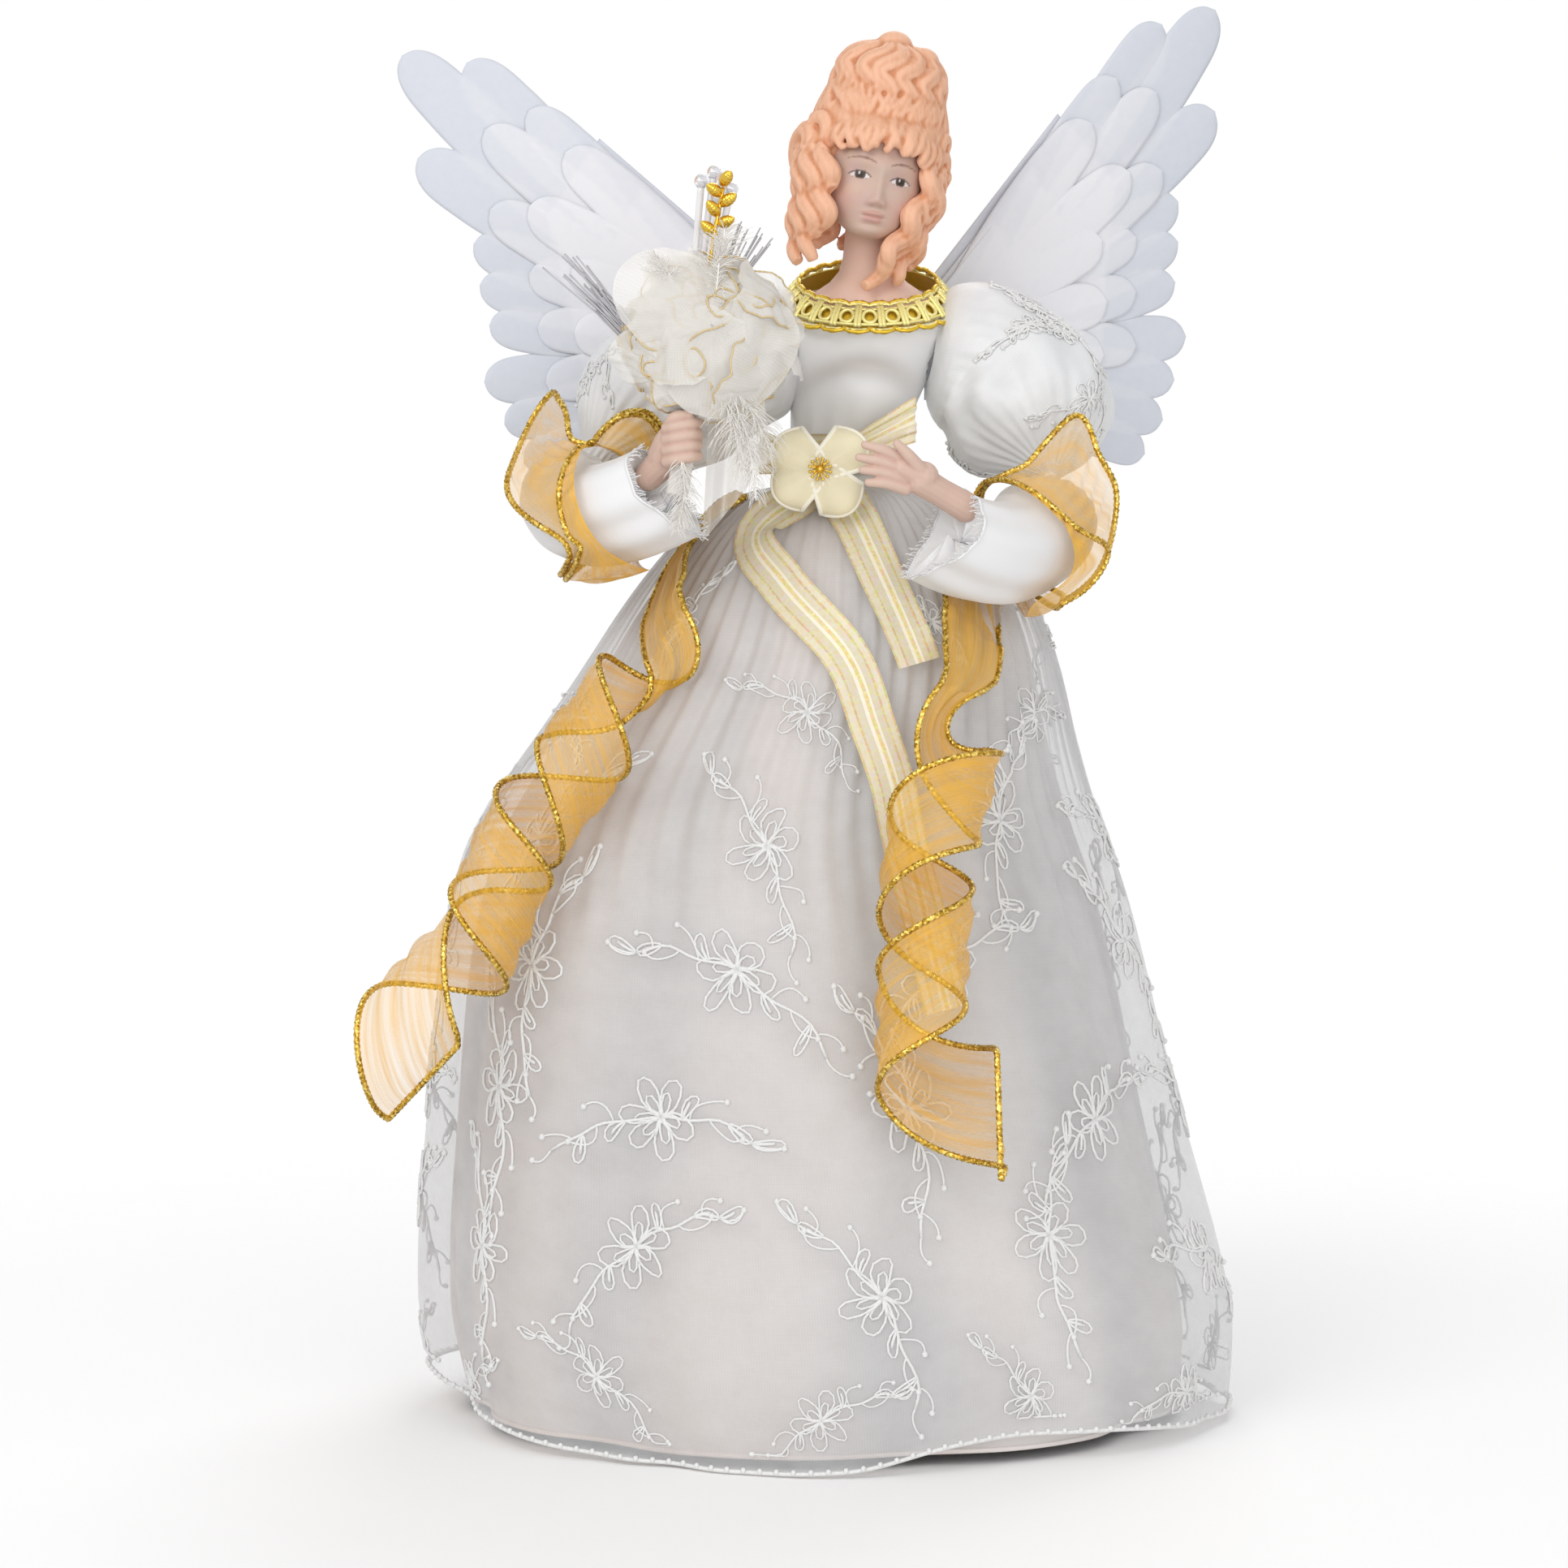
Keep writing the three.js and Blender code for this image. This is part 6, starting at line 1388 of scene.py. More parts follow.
def face_paint(x, z, front, colours):
    """Painted skin, blush, lips, eyes and brows, as a colour for each point."""
    side = np.abs(x)
    paint = np.broadcast_to(np.array(colours.skin), (*x.shape, 3)).copy()
    paint = painted(paint, colours.blush, 0.5 * hump(side, 8, 3.6) * hump(z, -11.5, 3.2) * front)
    socket = hump(side, EYE_OUT, 3.6) * hump(z, EYE_LEVEL + 1.2, 1.9)
    paint = painted(paint, colours.skin_shade, 0.55 * socket * front)
    upper = soft_step(np.hypot(x / 3.3, (z - MOUTH_LEVEL - 0.75) / 0.95) - 1, 0.3)
    lower = soft_step(np.hypot(x / 2.7, (z - MOUTH_LEVEL + 0.85) / 1.0) - 1, 0.3)
    paint = painted(paint, colours.lips, 0.55 * np.maximum(upper, lower) * front)
    parting = soft_step(np.abs(z - MOUTH_LEVEL) - 0.16) * soft_step(side - 3.0, 0.6)
    paint = painted(paint, colours.lip_line, 0.6 * parting * front)
    nostrils = soft_step(np.hypot(side - 1.2, (z + 13.1) / 0.6) - 0.6, 0.5)
    paint = painted(paint, colours.skin_shade, 0.5 * nostrils * front)
    across = np.clip((side - EYE_OUT) / 3.0, -1, 1)
    lid = EYE_LEVEL + 1.25 * (1 - across ** 2)
    under = EYE_LEVEL - 0.8 * (1 - across ** 2)
    open_eye = soft_step(z - lid) * soft_step(under - z) * soft_step(np.abs(side - EYE_OUT) - 2.9) * front
    paint = painted(paint, colours.eye_white, 0.9 * open_eye)
    iris = np.hypot(side - EYE_OUT, z - EYE_LEVEL - 0.3)
    paint = painted(paint, colours.iris, soft_step(iris - 1.45) * open_eye)
    paint = painted(paint, colours.pupil, soft_step(iris - 0.8) * open_eye)
    glint = np.hypot(x - np.copysign(EYE_OUT, x) + 0.3, z - EYE_LEVEL - 0.75)
    paint = painted(paint, colours.eye_white, soft_step(glint - 0.28) * front)
    lashes = soft_step(np.abs(z - lid - 0.1) - 0.24) * soft_step(np.abs(side - EYE_OUT) - 3.1, 0.5)
    paint = painted(paint, colours.pupil, 0.85 * lashes * front)
    lower_lid = soft_step(np.abs(z - under + 0.05) - 0.1) * soft_step(np.abs(side - EYE_OUT) - 2.6, 0.5)
    paint = painted(paint, colours.brow, 0.4 * lower_lid * front)
    arch = EYE_LEVEL + 4.0 + 1.1 * (1 - ((side - 6.2) / 4.3) ** 2)
    thin = 0.12 + 0.2 * np.clip(1 - np.abs(side - 5.0) / 4.5, 0, 1)
    brows = soft_step(np.abs(z - arch) - thin, 0.22) * soft_step(np.abs(side - 6.1) - 4.0, 0.6)
    return painted(paint, colours.brow, 0.8 * brows * front)


def model_head(colours):
    """Moulded doll head with raised and painted features, on its neck and shoulder plate."""
    share = np.linspace(-0.5, 0.5, 281)[:-1]
    bearing = np.degrees(-math.pi / 2 + TAU * share - 0.5 * np.sin(TAU * share))[None]
    level = (-21.9 + 42.9 * (0.5 - 0.5 * np.cos(math.pi * np.linspace(0, 1, 170))) ** 0.92)[:, None]
    bearing, level = np.broadcast_arrays(bearing, level)
    shell = on_scalp(bearing, level)
    front = np.clip((-np.sin(np.radians(bearing)) - 0.15) / 0.35, 0, 1)
    shell[..., 1] -= face_relief(shell[..., 0], shell[..., 2]) * front
    paint = face_paint(shell[..., 0], shell[..., 2], front, colours)
    head = Piece()
    head.grid(on_neck(shell), True)
    rings, columns = shell.shape[:2]
    for ring, level_end in ((0, -22.0), (rings - 1, 21.0)):
        pole = on_neck(place(0, float(head_front_at(level_end) + head_back_at(level_end)) / 2, level_end))
        corners = np.vstack([on_neck(shell[ring]), pole])
        fan = [[i, (i + 1) % columns, columns] for i in range(columns)]
        head.add(corners, [face if ring else face[::-1] for face in fan], np.zeros((3 * columns, 2)))

    turn = np.linspace(0, TAU, PLATE_COLUMNS, endpoint=False)[None]
    rise = np.array([309.3, 310.5, 313, 316, 319, 322, 325, 329, 334, 340, 346])[:, None]
    wide = through([(309.3, 21.6), (313, 21.2), (316, 19.6), (319, 15.5), (322, 11), (325, 8.4), (330, 7.2),
                    (346, 7)])
    deep = through([(309.3, 15.6), (313, 15.2), (316, 13.6), (319, 11.6), (322, 9.6), (325, 8), (330, 7),
                    (346, 7)])
    lean = through([(322, 0), (330, -1), (346, -3.5)])
    across = NECK_SHIFT + wide(rise) * np.cos(turn) + 0.06 * np.maximum(rise - 330, 0)
    plate = place(across, lean(rise) + deep(rise) * np.sin(turn), rise + 0 * turn)
    head.grid(plate, True)
    head.add(plate[0], [list(range(PLATE_COLUMNS))[::-1]], np.zeros((PLATE_COLUMNS, 2)))
    piece = head.publish("doll_head", "body", "skin", ["bisque"], ["head_and_shoulder_plate"])
    layer = piece.data.attributes.new("paint", "FLOAT_COLOR", "POINT")
    tints = np.ones((len(piece.data.vertices), 4), np.float32)
    tints[:, :3] = np.minimum(NECK_PALER * np.array(colours.skin), 1)
    tints[:rings * columns, :3] = paint.reshape(-1, 3)
    layer.data.foreach_set("color", tints.ravel())


# Moulded forms: rough limbs or locks blended into one skin

def blend_forms(piece, voxel, rounds):
    """Blend the overlapping forms of a piece into one skin with a voxel remesh, then smooth it."""
    deselect()
    piece.select_set(True)
    bpy.context.view_layer.objects.active = piece
    remesh = piece.modifiers.new("blend", "REMESH")
    remesh.mode = "VOXEL"
    remesh.voxel_size = voxel * MM
    remesh.use_smooth_shade = True
    soften = piece.modifiers.new("soften", "SMOOTH")
    soften.factor = 0.5
    soften.iterations = rounds
    for modifier in ("blend", "soften"):
        bpy.ops.object.modifier_apply(modifier=modifier)


def paint_hollow_shade(piece, depth):
    """Give a blended piece a tone of painted shade and light: dark in hollows and pale on crests, from a
    smoothed skin over it.
    """
    mesh = piece.data
    points, normals = np.empty((2, len(mesh.vertices) * 3))
    mesh.vertices.foreach_get("co", points)
    mesh.vertices.foreach_get("normal", normals)
    points, normals = points.reshape(-1, 3), normals.reshape(-1, 3)
    edges = np.empty(len(mesh.edges) * 2, int)
    mesh.edges.foreach_get("vertices", edges)
    edges = np.vstack([edges.reshape(-1, 2), edges.reshape(-1, 2)[:, ::-1]])
    count = np.bincount(edges[:, 0], minlength=len(points))[:, None]
    smooth = points
    for _ in range(8):
        sums = [np.bincount(edges[:, 0], smooth[edges[:, 1], axis], len(points)) for axis in range(3)]
        smooth = np.stack(sums, axis=1) / count
    tone = np.clip(0.35 + ((smooth - points) * normals).sum(axis=1) / (depth * MM), 0, 1)
    layer = mesh.attributes.new("tone", "FLOAT", "POINT")
    layer.data.foreach_set("value", tone.astype(np.float32))


# Hair: a combed cap, locks swept up to a bun of fat rolls, a curly fringe and ringlets

LOCK_RIDGES = 7
COMBED_LOCKS, FRINGE_LOCKS, BUN_LOCKS = 72, 30, 15
HAIR_VOXEL = 0.42
BUN_PLACE = (0, 1.5, 25.5)
CAP_PLACE, CAP_RADII = (0, 1.5, 2), (16, 15.6, 20)
crown_width_at = through([(-12, 16), (0, 17.5), (8, 18.8), (15, 18), (19, 16.4), (22, 15.8), (26, 15),
                          (30, 12), (33.5, 6)])
CROWN_DEPTH = 0.86
# Curls at the sides: bearing, level, size and hand
SIDE_CURLS = [
    (190, 1.5, 4.6, 1), (184, 0, 6.6, -1), (199, -5, 4.6, -1), (206, -11, 4.3, 1), (176, -3, 4.4, 1),
    (182, -10, 4.3, -1), (-10, 2, 4.3, -1), (-20, -4, 4.2, 1), (-6, -6, 4.3, -1), (-22, -11, 4.0, 1),
    (4, -12, 4.2, 1), (168, 6, 4.0, -1), (12, 6, 4.0, 1), (196, 6, 4.4, 1), (-14, 8, 4.4, -1),
    (182, 12, 3.6, -1), (-2, 13, 3.6, 1),
]
# Ringlets: bearing, stand-off, bottom and drift
RINGLETS = [
    (178, 5.5, -27, 0), (190, 6.5, -32, 2), (202, 6, -31, 3), (214, 4, -24, 2), (2, 3.5, -27, -2),
    (-10, 4.5, -32, -6), (-22, 4, -35, -10), (-34, 3, -30, -8), (150, 3, -26, 0), (120, 3, -25, 0),
    (90, 3, -24, 0), (60, 3, -25, 0), (30, 3, -26, 0), (165, 3.5, -27, 0), (16, 3, -27, -1),
]
# Rolls of the bun: place from its middle, and radius
BUN_ROLLS = [(-1, -3, 7.5, 5.4), (7.5, -4, 4.8, 5), (-8, -3, 3.8, 5), (2, 5, 6.5, 5.4), (-10, -6, -2.5, 4.4),
             (11.5, -5, -1.5, 4.6)]


def on_crown(bearing, level, sunk=0):
    """Point on the full, combed-up crown of the hair, in the head's own axes."""
    width = crown_width_at(level) - sunk
    turn = np.radians(bearing)
    return place(width * np.cos(turn), 1 + CROWN_DEPTH * width * np.sin(turn), level)


def lock(hair, path, radius, seed, groove_shade=0.5):
    """One moulded lock: a grooved, tapering roll along a path in the head's own axes."""
    path = even_path(smooth_path(path, 10), 0.7)
    t = np.linspace(0, 1, len(path))
    taper = radius * (0.3 + 0.7 * np.sin(math.pi * np.clip(0.16 + 0.78 * t, 0, 1)) ** 0.6)
    sides = 3 * LOCK_RIDGES
    hair.tube(on_neck(path), taper, sides, False, 0, 0.05, (LOCK_RIDGES, 0.07, 34 + 10 * uneven(1, seed)),
              groove_shade)


def spiral(centre, out, size, turns, handed, start):
    """Snail curl that stands out from the head, winding in to its middle."""
    out = np.array(out, float) / np.linalg.norm(out)
    first = np.cross(out, (0.0, 0.0, 1.0) if abs(out[2]) < 0.9 else (1.0, 0.0, 0.0))
    first = first / np.linalg.norm(first)
    second = np.cross(out, first)
    t = np.linspace(0, 1, 22)[:, None]
    angle = start + handed * turns * TAU * t
    reach = size * (1 - 0.78 * t)
    curl = np.array(centre) + first * reach * np.cos(angle) + second * reach * np.sin(angle)
    return curl + out * size * 0.45 * t


def hanging_lock(bearing, lift, top, bottom, drift, seed):
    """Wavy lock down the side of the head, drifting across as it falls below the jaw."""
    level = np.linspace(top, bottom, 16)
    wave = 2.3 * np.sin(TAU * (top - level) / 11 + seed)
    turn = math.radians(bearing)
    path = on_scalp(bearing, np.maximum(level, -9), lift + 0.9 * np.cos(TAU * (top - level) / 11 + seed))
    below = np.clip(-9 - level, 0, None) / 20
    path[:, 0] += drift * below - wave * math.sin(turn)
    path[:, 1] += wave * math.cos(turn)
    path[:, 2] = level
    return path


def dress_hair():
    """Lay the cap, the combed locks, the bun, the fringe and the ringlets as one moulding."""
    hair = Piece()
    hair.ball(on_neck(CAP_PLACE), CAP_RADII, 40)
    level = np.linspace(-8, 33, 36)[:, None]
    shell = on_crown(np.linspace(0, 360, 60, endpoint=False)[None], level, np.where(level > 20, 2.2, 0.5))
    ends = [np.repeat(row.mean(axis=0)[None], 60, axis=0) for row in (shell[0], shell[-1])]
    hair.grid(on_neck(np.concatenate([ends[:1], shell, ends[1:]])), True)
    for i in range(COMBED_LOCKS):
        bearing = -178 + 5 * i
        towards = math.radians(bearing)
        root = 6.5 + uneven(1.5, i) if -150 < bearing < -30 else -9.5 + 6 * abs(math.cos(towards))
        sweep = 14 * math.sin(2 * towards + 0.4) + uneven(7, i)
        path = [on_crown(bearing + sweep * math.sin(0.25 * math.pi * k), root + (21 - root) * k / 6)
                for k in range(7)]
        lock(hair, path, 1.1, i, 0.3)

    hairline = on_scalp(np.linspace(-158, -24, 30), 7.0, 1.6)
    hair.tube(on_neck(hairline), 2.6, 12)
    for i in range(FRINGE_LOCKS):
        bearing = -162 + 4.8 * i
        hook = (1 if i % 3 else -1) * (8 + uneven(6, i + 20))
        drop = 3.3 - 0.9 * abs(bearing + 92) / 40 + uneven(1.5, i + 5)
        path = [on_crown(bearing + 4, 15, 1.5), on_crown(bearing + 2, 11.5, 0.3)]
        for share in (0.15, 0.4, 0.65, 0.85, 1.0):
            fall = drop + (9.5 - drop) * (1 - share) ** 1.4
            path.append(on_scalp(bearing - hook * share, fall, 2.4 + 1.3 * math.sin(math.pi * share)))
        path.append(on_scalp(bearing - 1.4 * hook, drop + 1.2, 2.2))
        lock(hair, path, 1.3 + uneven(0.25, i), 50 + i)

    for i, (bearing, level, size, handed) in enumerate(SIDE_CURLS):
        spot = on_scalp(bearing, level, 4.0 if abs(bearing) > 90 else 3.0)
        c, s = compass(bearing)
        out = (c, s - 0.25, 0.0)
        lock(hair, spiral(spot, out, size, 1.1, handed, 1.1 * i), 0.54 * size, 80 + i)

    for i, (bearing, lift, bottom, drift) in enumerate(RINGLETS):
        lock(hair, hanging_lock(bearing, lift, 1, bottom, drift, 1.3 * i), 3.0, 110 + i)

    for i in range(BUN_LOCKS):
        bearing = -170 + 24 * i + uneven(5, i)
        path = [on_crown(bearing + 11 * math.sin(1.2 * k + 0.5 * i), 19 + 14 * k / 7, 1.7) for k in range(8)]
        lock(hair, path, 3.3 + uneven(0.5, i + 3), 140 + i)
    for *spot, radius in BUN_ROLLS:
        hair.ball(on_neck(np.array(BUN_PLACE) + spot), (radius, radius, 0.85 * radius), 24)
    curls = hair.publish("moulded_curls", "body", "hair_paint", ["hair"], ["moulded_hair"], False)
    blend_forms(curls, HAIR_VOXEL, 7)
    # Painted shade in the hollows of the hair and a painted highlight on its crests
    paint_hollow_shade(curls, 0.24)
    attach(curls, "body")


# Hands

RIGHT_GRIP = (-40, -57, 276)
LEFT_WRIST = (34, -58, 261)
HAND_VOXEL = 0.32
FINGERS = 4


def shape_hand(limbs, name, node, body):
    """Blend rough limbs into one hand with a voxel remesh, then smooth it."""
    rough = Piece()
    for path, radii in limbs:
        path = smooth_path(path, 6)
        rough.tube(path, np.interp(np.linspace(0, 1, len(path)), np.linspace(0, 1, len(radii)), radii), 14)
        rough.ball(path[0], radii[0], 14)
        rough.ball(path[-1], radii[-1], 14)
    hand = rough.publish(name, body, "skin", ["hand"], [node], False)
    blend_forms(hand, HAND_VOXEL, 5)
    # Painted shade between the fingers and in the hand's other hollows
    paint_hollow_shade(hand, 0.3)
    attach(hand, body)


def shape_hands():
    """The right hand is a fist round the bouquet's holder; the left is open on the flower."""
    x, y, z = RIGHT_GRIP
    limbs = [([(x - 4.5, y + 2.5, z - 4), (x - 2, y + 0.5, z), (x + 1.5, y, z + 2)], [5.0, 5.4, 4.6]),
             ([(x - 9, y + 5, z - 9), (x - 4, y + 2, z - 4)], [4.0, 4.6])]
    for i in range(FINGERS):
        level = z + 4.6 - 3.0 * i
        limbs.append(([(x - 3.8, y - 3.4, level - 0.6), (x - 1.2, y - 5.6, level),
                       (x + 2.6, y - 5.4, level + 0.7), (x + 4.6, y - 2.4, level + 0.9)],
                      [1.75, 1.7, 1.65, 1.5]))
    limbs.append(([(x - 3.6, y - 1.4, z + 3.4), (x - 1.8, y - 4.4, z + 6.8), (x + 2.2, y - 4.6, z + 7.6)],
                  [2.0, 1.8, 1.4]))
    shape_hand(limbs, "right_fist", "right_hand", "right_arm")

    x, y, z = LEFT_WRIST
    palm = np.array([x - 10, y - 4, z + 6])
    limbs = [([(x + 4, y + 1, z - 2.5), (x - 3, y - 1.5, z + 1.5), palm + (1, 0, -1)], [4.2, 3.9, 4.1]),
             ([palm + (2, 0, 0), palm + (-4, -0.8, 2.6)], [4.2, 3.2])]
    for i in range(FINGERS):
        root = palm + (-3, -0.8, 4.2 - 2.5 * i)
        tip = root + (-13 + abs(i - 1.2) * 1.6, -1.4, 4.4 - 0.9 * i)
        limbs.append(([root, (root + tip) / 2 + (0, -0.9, 0.6), tip], [1.85, 1.6, 1.15]))
    limbs.append(([palm + (1, -2.2, 2), palm + (-2.5, -4.2, 6), palm + (-5.5, -4.6, 9)], [2.0, 1.7, 1.2]))
    shape_hand(limbs, "left_open_hand", "left_hand", "left_arm")


# Bouquet: organza billows round a holder, a plume, stems with berries, a gold sprig and fibre ends

HOLDER_FOOT = np.array([-41.2, -57.4, 262.0])
HOLDER_AXIS = np.array([0.16, 0.08, 0.98]) / np.linalg.norm([0.16, 0.08, 0.98])
HOLDER_TOP = HOLDER_FOOT + 40 * HOLDER_AXIS
TUFT_ROOT = HOLDER_FOOT + 29 * HOLDER_AXIS
STEM_RADIUS, BERRY_RADIUS = 1.0, 2.0
OUTER_FIBRES, INNER_FIBRES = 54, 26
OUTER_FIBRE_RADIUS, INNER_FIBRE_RADIUS = 0.27, 0.2
FIBRE_SEED = 9
THIN_CORD_RADIUS = 0.25
THIN_CORD_STEP = 0.7
THIN_CORD_TWIST = (2, 0.25, 1.5)
# Plumes of down: root, tip, length and number of the barbs, and how far they droop
FIRST_PLUME_SEED = 5
PLUMES = [
    (TUFT_ROOT + (0, -3.9, 0), TUFT_ROOT + (7, -11, 34), 9, 170, 2),
    (HOLDER_TOP + (2, -1, -4), HOLDER_TOP + (1, -3, 12), 8, 150, 1),
    (TUFT_ROOT + (6, -8, 2), TUFT_ROOT + (13, -11, -22), 8, 150, 3),
    (TUFT_ROOT + (8, -8, 4), TUFT_ROOT + (21, -9, -17), 8, 130, 3),
    (TUFT_ROOT + (10, -10, 0), TUFT_ROOT + (17, -11, -30), 7, 150, 3),
    (np.array([-40.0, -63, 273]), np.array([-41.0, -66, 252]), 6, 190, 2),
    (np.array([-33.0, -62, 320]), np.array([-28.0, -64, 334]), 8, 150, 1),
    (np.array([-42.0, -62, 316]), np.array([-47.0, -64, 327]), 7, 120, 1),
]
# Billows of organza: which way each faces from the middle of the bouquet, and its size
BACK_BILLOWS = [((math.cos(turn), -0.15, math.sin(turn)), size) for turn, size in zip(
    np.radians(range(-30, 220, 35)), (17, 17, 17, 16, 11, 9, 12, 12))]
BACK_BILLOWS += [((0.3, 1, 0.35), 15), ((-0.6, 0.9, 0.1), 13), ((0.1, 0.9, -0.6), 13)]
FRONT_BILLOWS = [((-0.8, -0.7, 0.0), 14), ((-0.25, -0.9, 0.5), 15), ((0.4, -0.8, 0.7), 16),
                 ((0.8, -0.7, 0.0), 16), ((0.1, -1, 0.15), 19), ((-0.5, -0.9, -0.55), 15),
                 ((0.35, -0.9, -0.65), 15)]
BOUQUET_MIDDLE = np.array([-34, -55, 304.0])
BOUQUET_SPREAD = np.array([1.22, 0.7, 1.12])
BILLOW_STAND = 18
CORDED_RIMS = 3
DRAPE_TOP, DRAPE_FALL = (-25, -48, 294), 42


def billow_points(facing, size, seed, share, turn):
    """Points of a puffed gather of organza facing one way, with a wandering, fluted rim."""
    out = unit(np.array(facing, float))
    first = unit(np.cross(out, (0.3, 1.0, 0.2)))
    second = np.cross(out, first)
    share, turn = share[..., None], turn[..., None]
    rim = size * (1 + 0.2 * np.sin(2 * turn + seed) + 0.13 * np.sin(3 * turn + 1.7 * seed))
    puff = 0.42 * size * (1 - share ** 2) - 0.12 * size * share ** 2
    puff = puff + 1.5 * share ** 3 * np.sin(4 * turn + 2.3 * seed)
    u, v = size * share * np.cos(turn), size * share * np.sin(turn)
    puff = puff + 0.75 * np.sin(0.75 * u + 1.8 * np.sin(0.3 * v + seed))
    puff = puff + 0.4 * share * np.sin(29 * turn - 3 * share)
    flat = first * np.cos(turn) + second * np.sin(turn)
    return BOUQUET_MIDDLE + BOUQUET_SPREAD * (out * (BILLOW_STAND + puff - 5) + flat * rim * share)


def scroll_line(seed):
    """Share and turn of a couched cord on a billow: a loose S that ends in an open ring."""
    t = np.linspace(0, 1, 90)
    heading = 3 * seed + 4.6 * np.sin(0.9 * TAU * t + seed) + 2.5 * t
    flat = np.cumsum(np.stack([np.cos(heading), np.sin(heading)], axis=1), axis=0)
    flat -= flat.mean(axis=0)
    flat *= 0.88 / np.linalg.norm(flat, axis=1).max()
    return np.hypot(flat[:, 0], flat[:, 1]), np.arctan2(flat[:, 1], flat[:, 0])


def hanging_folds():
    """The loose end of the organza that falls from the billows beside the fist, in soft upright folds."""
    across = np.linspace(-0.5, 0.5, 60)[:, None]
    fall = np.linspace(0, 1, 30)[None]
    x, y, z = DRAPE_TOP
    return place(x + across * (14 + 5 * fall), y + 2.4 * np.sin(15 * across + 1.5 * fall) * (0.4 + fall),
                 z - DRAPE_FALL * (0.8 - 0.55 * across) * fall)


def gather_billows(name, node, billows, drape=False):
    """Billows as one cloth, with the thin gold cord couched on them and sewn round some of their rims."""
    cloth, cord = Piece(), Piece()
    turn = np.linspace(0, TAU, 96, endpoint=False)[None]
    share = np.linspace(0.02, 1, 18)[:, None]
    for i, (facing, size) in enumerate(billows):
        seed = 1.9 * i + size
        points = billow_points(facing, size, seed, *np.broadcast_arrays(share, turn))
        cloth.grid(points, True)
        rim = np.vstack([points[-1], points[-1][:1]])
        if i % CORDED_RIMS == 0:
            cord.tube(even_path(rim, THIN_CORD_STEP)[:-1], THIN_CORD_RADIUS, 6, True, 0, 0, THIN_CORD_TWIST)
        couched = billow_points(facing, size, seed, *scroll_line(seed))
        couched = couched + unit(np.array(facing)) * THIN_CORD_RADIUS
        cord.tube(even_path(couched, THIN_CORD_STEP), THIN_CORD_RADIUS, 6, False, 0, 0, THIN_CORD_TWIST)
    if drape:
        cloth.grid(hanging_folds())
    edging = cord.publish(name + "_cord", "right_arm", "tulle", ["thin_cord"])
    ruffle = cloth.publish(name, "right_arm", "tulle", ["ruffle"], [node])


def fluff(piece, root, tip, barb, count, droop, seed):
    """A downy plume: a fine quill with loose barbs that curl away from it."""
    chance = random.Random(seed)
    quill = smooth_path([root, (root + tip) / 2 + (1.5, -2, 0), tip], 12)
    piece.tube(quill, 0.25, 5)
    along = unit(tip - root)
    for _ in range(count):
        t = chance.uniform(0.05, 1)
        start = quill[int(t * (len(quill) - 1))]
        turn = chance.uniform(0, TAU)
        side = np.array([math.cos(turn), 0.7 * math.sin(turn), 0.35 * math.sin(2 * turn)])
        reach = barb * (0.45 + 0.55 * math.sin(math.pi * min(1, 0.15 + t))) * chance.uniform(0.6, 1.1)
        sag = np.array([0, 0, -droop * chance.uniform(0.3, 1)])
        path = [start,
                start + side * reach * 0.4 + along * reach * 0.3,
                start + side * reach * 0.75 + along * reach * 0.55 + sag * 0.3,
                start + side * reach + along * reach * 0.7 + sag]
        piece.tube(smooth_path(path, 3), np.linspace(0.13, 0.05, 10), 3)


def round_beads(places, radius, name):
    """Round beads or berries as one object."""
    deselect()
    beads = []
    for spot in places:
        bpy.ops.mesh.primitive_uv_sphere_add(segments=24, ring_count=14, radius=radius * MM,
                                             location=np.array(spot) * MM)
        bpy.ops.object.shade_smooth()
        beads.append(bpy.context.object)
    for bead in beads:
        bead.select_set(True)
    bpy.ops.object.join()
    joined = bpy.context.object
    joined.name = joined.data.name = name
    bpy.ops.object.transform_apply(location=True, rotation=True, scale=True)
    return joined


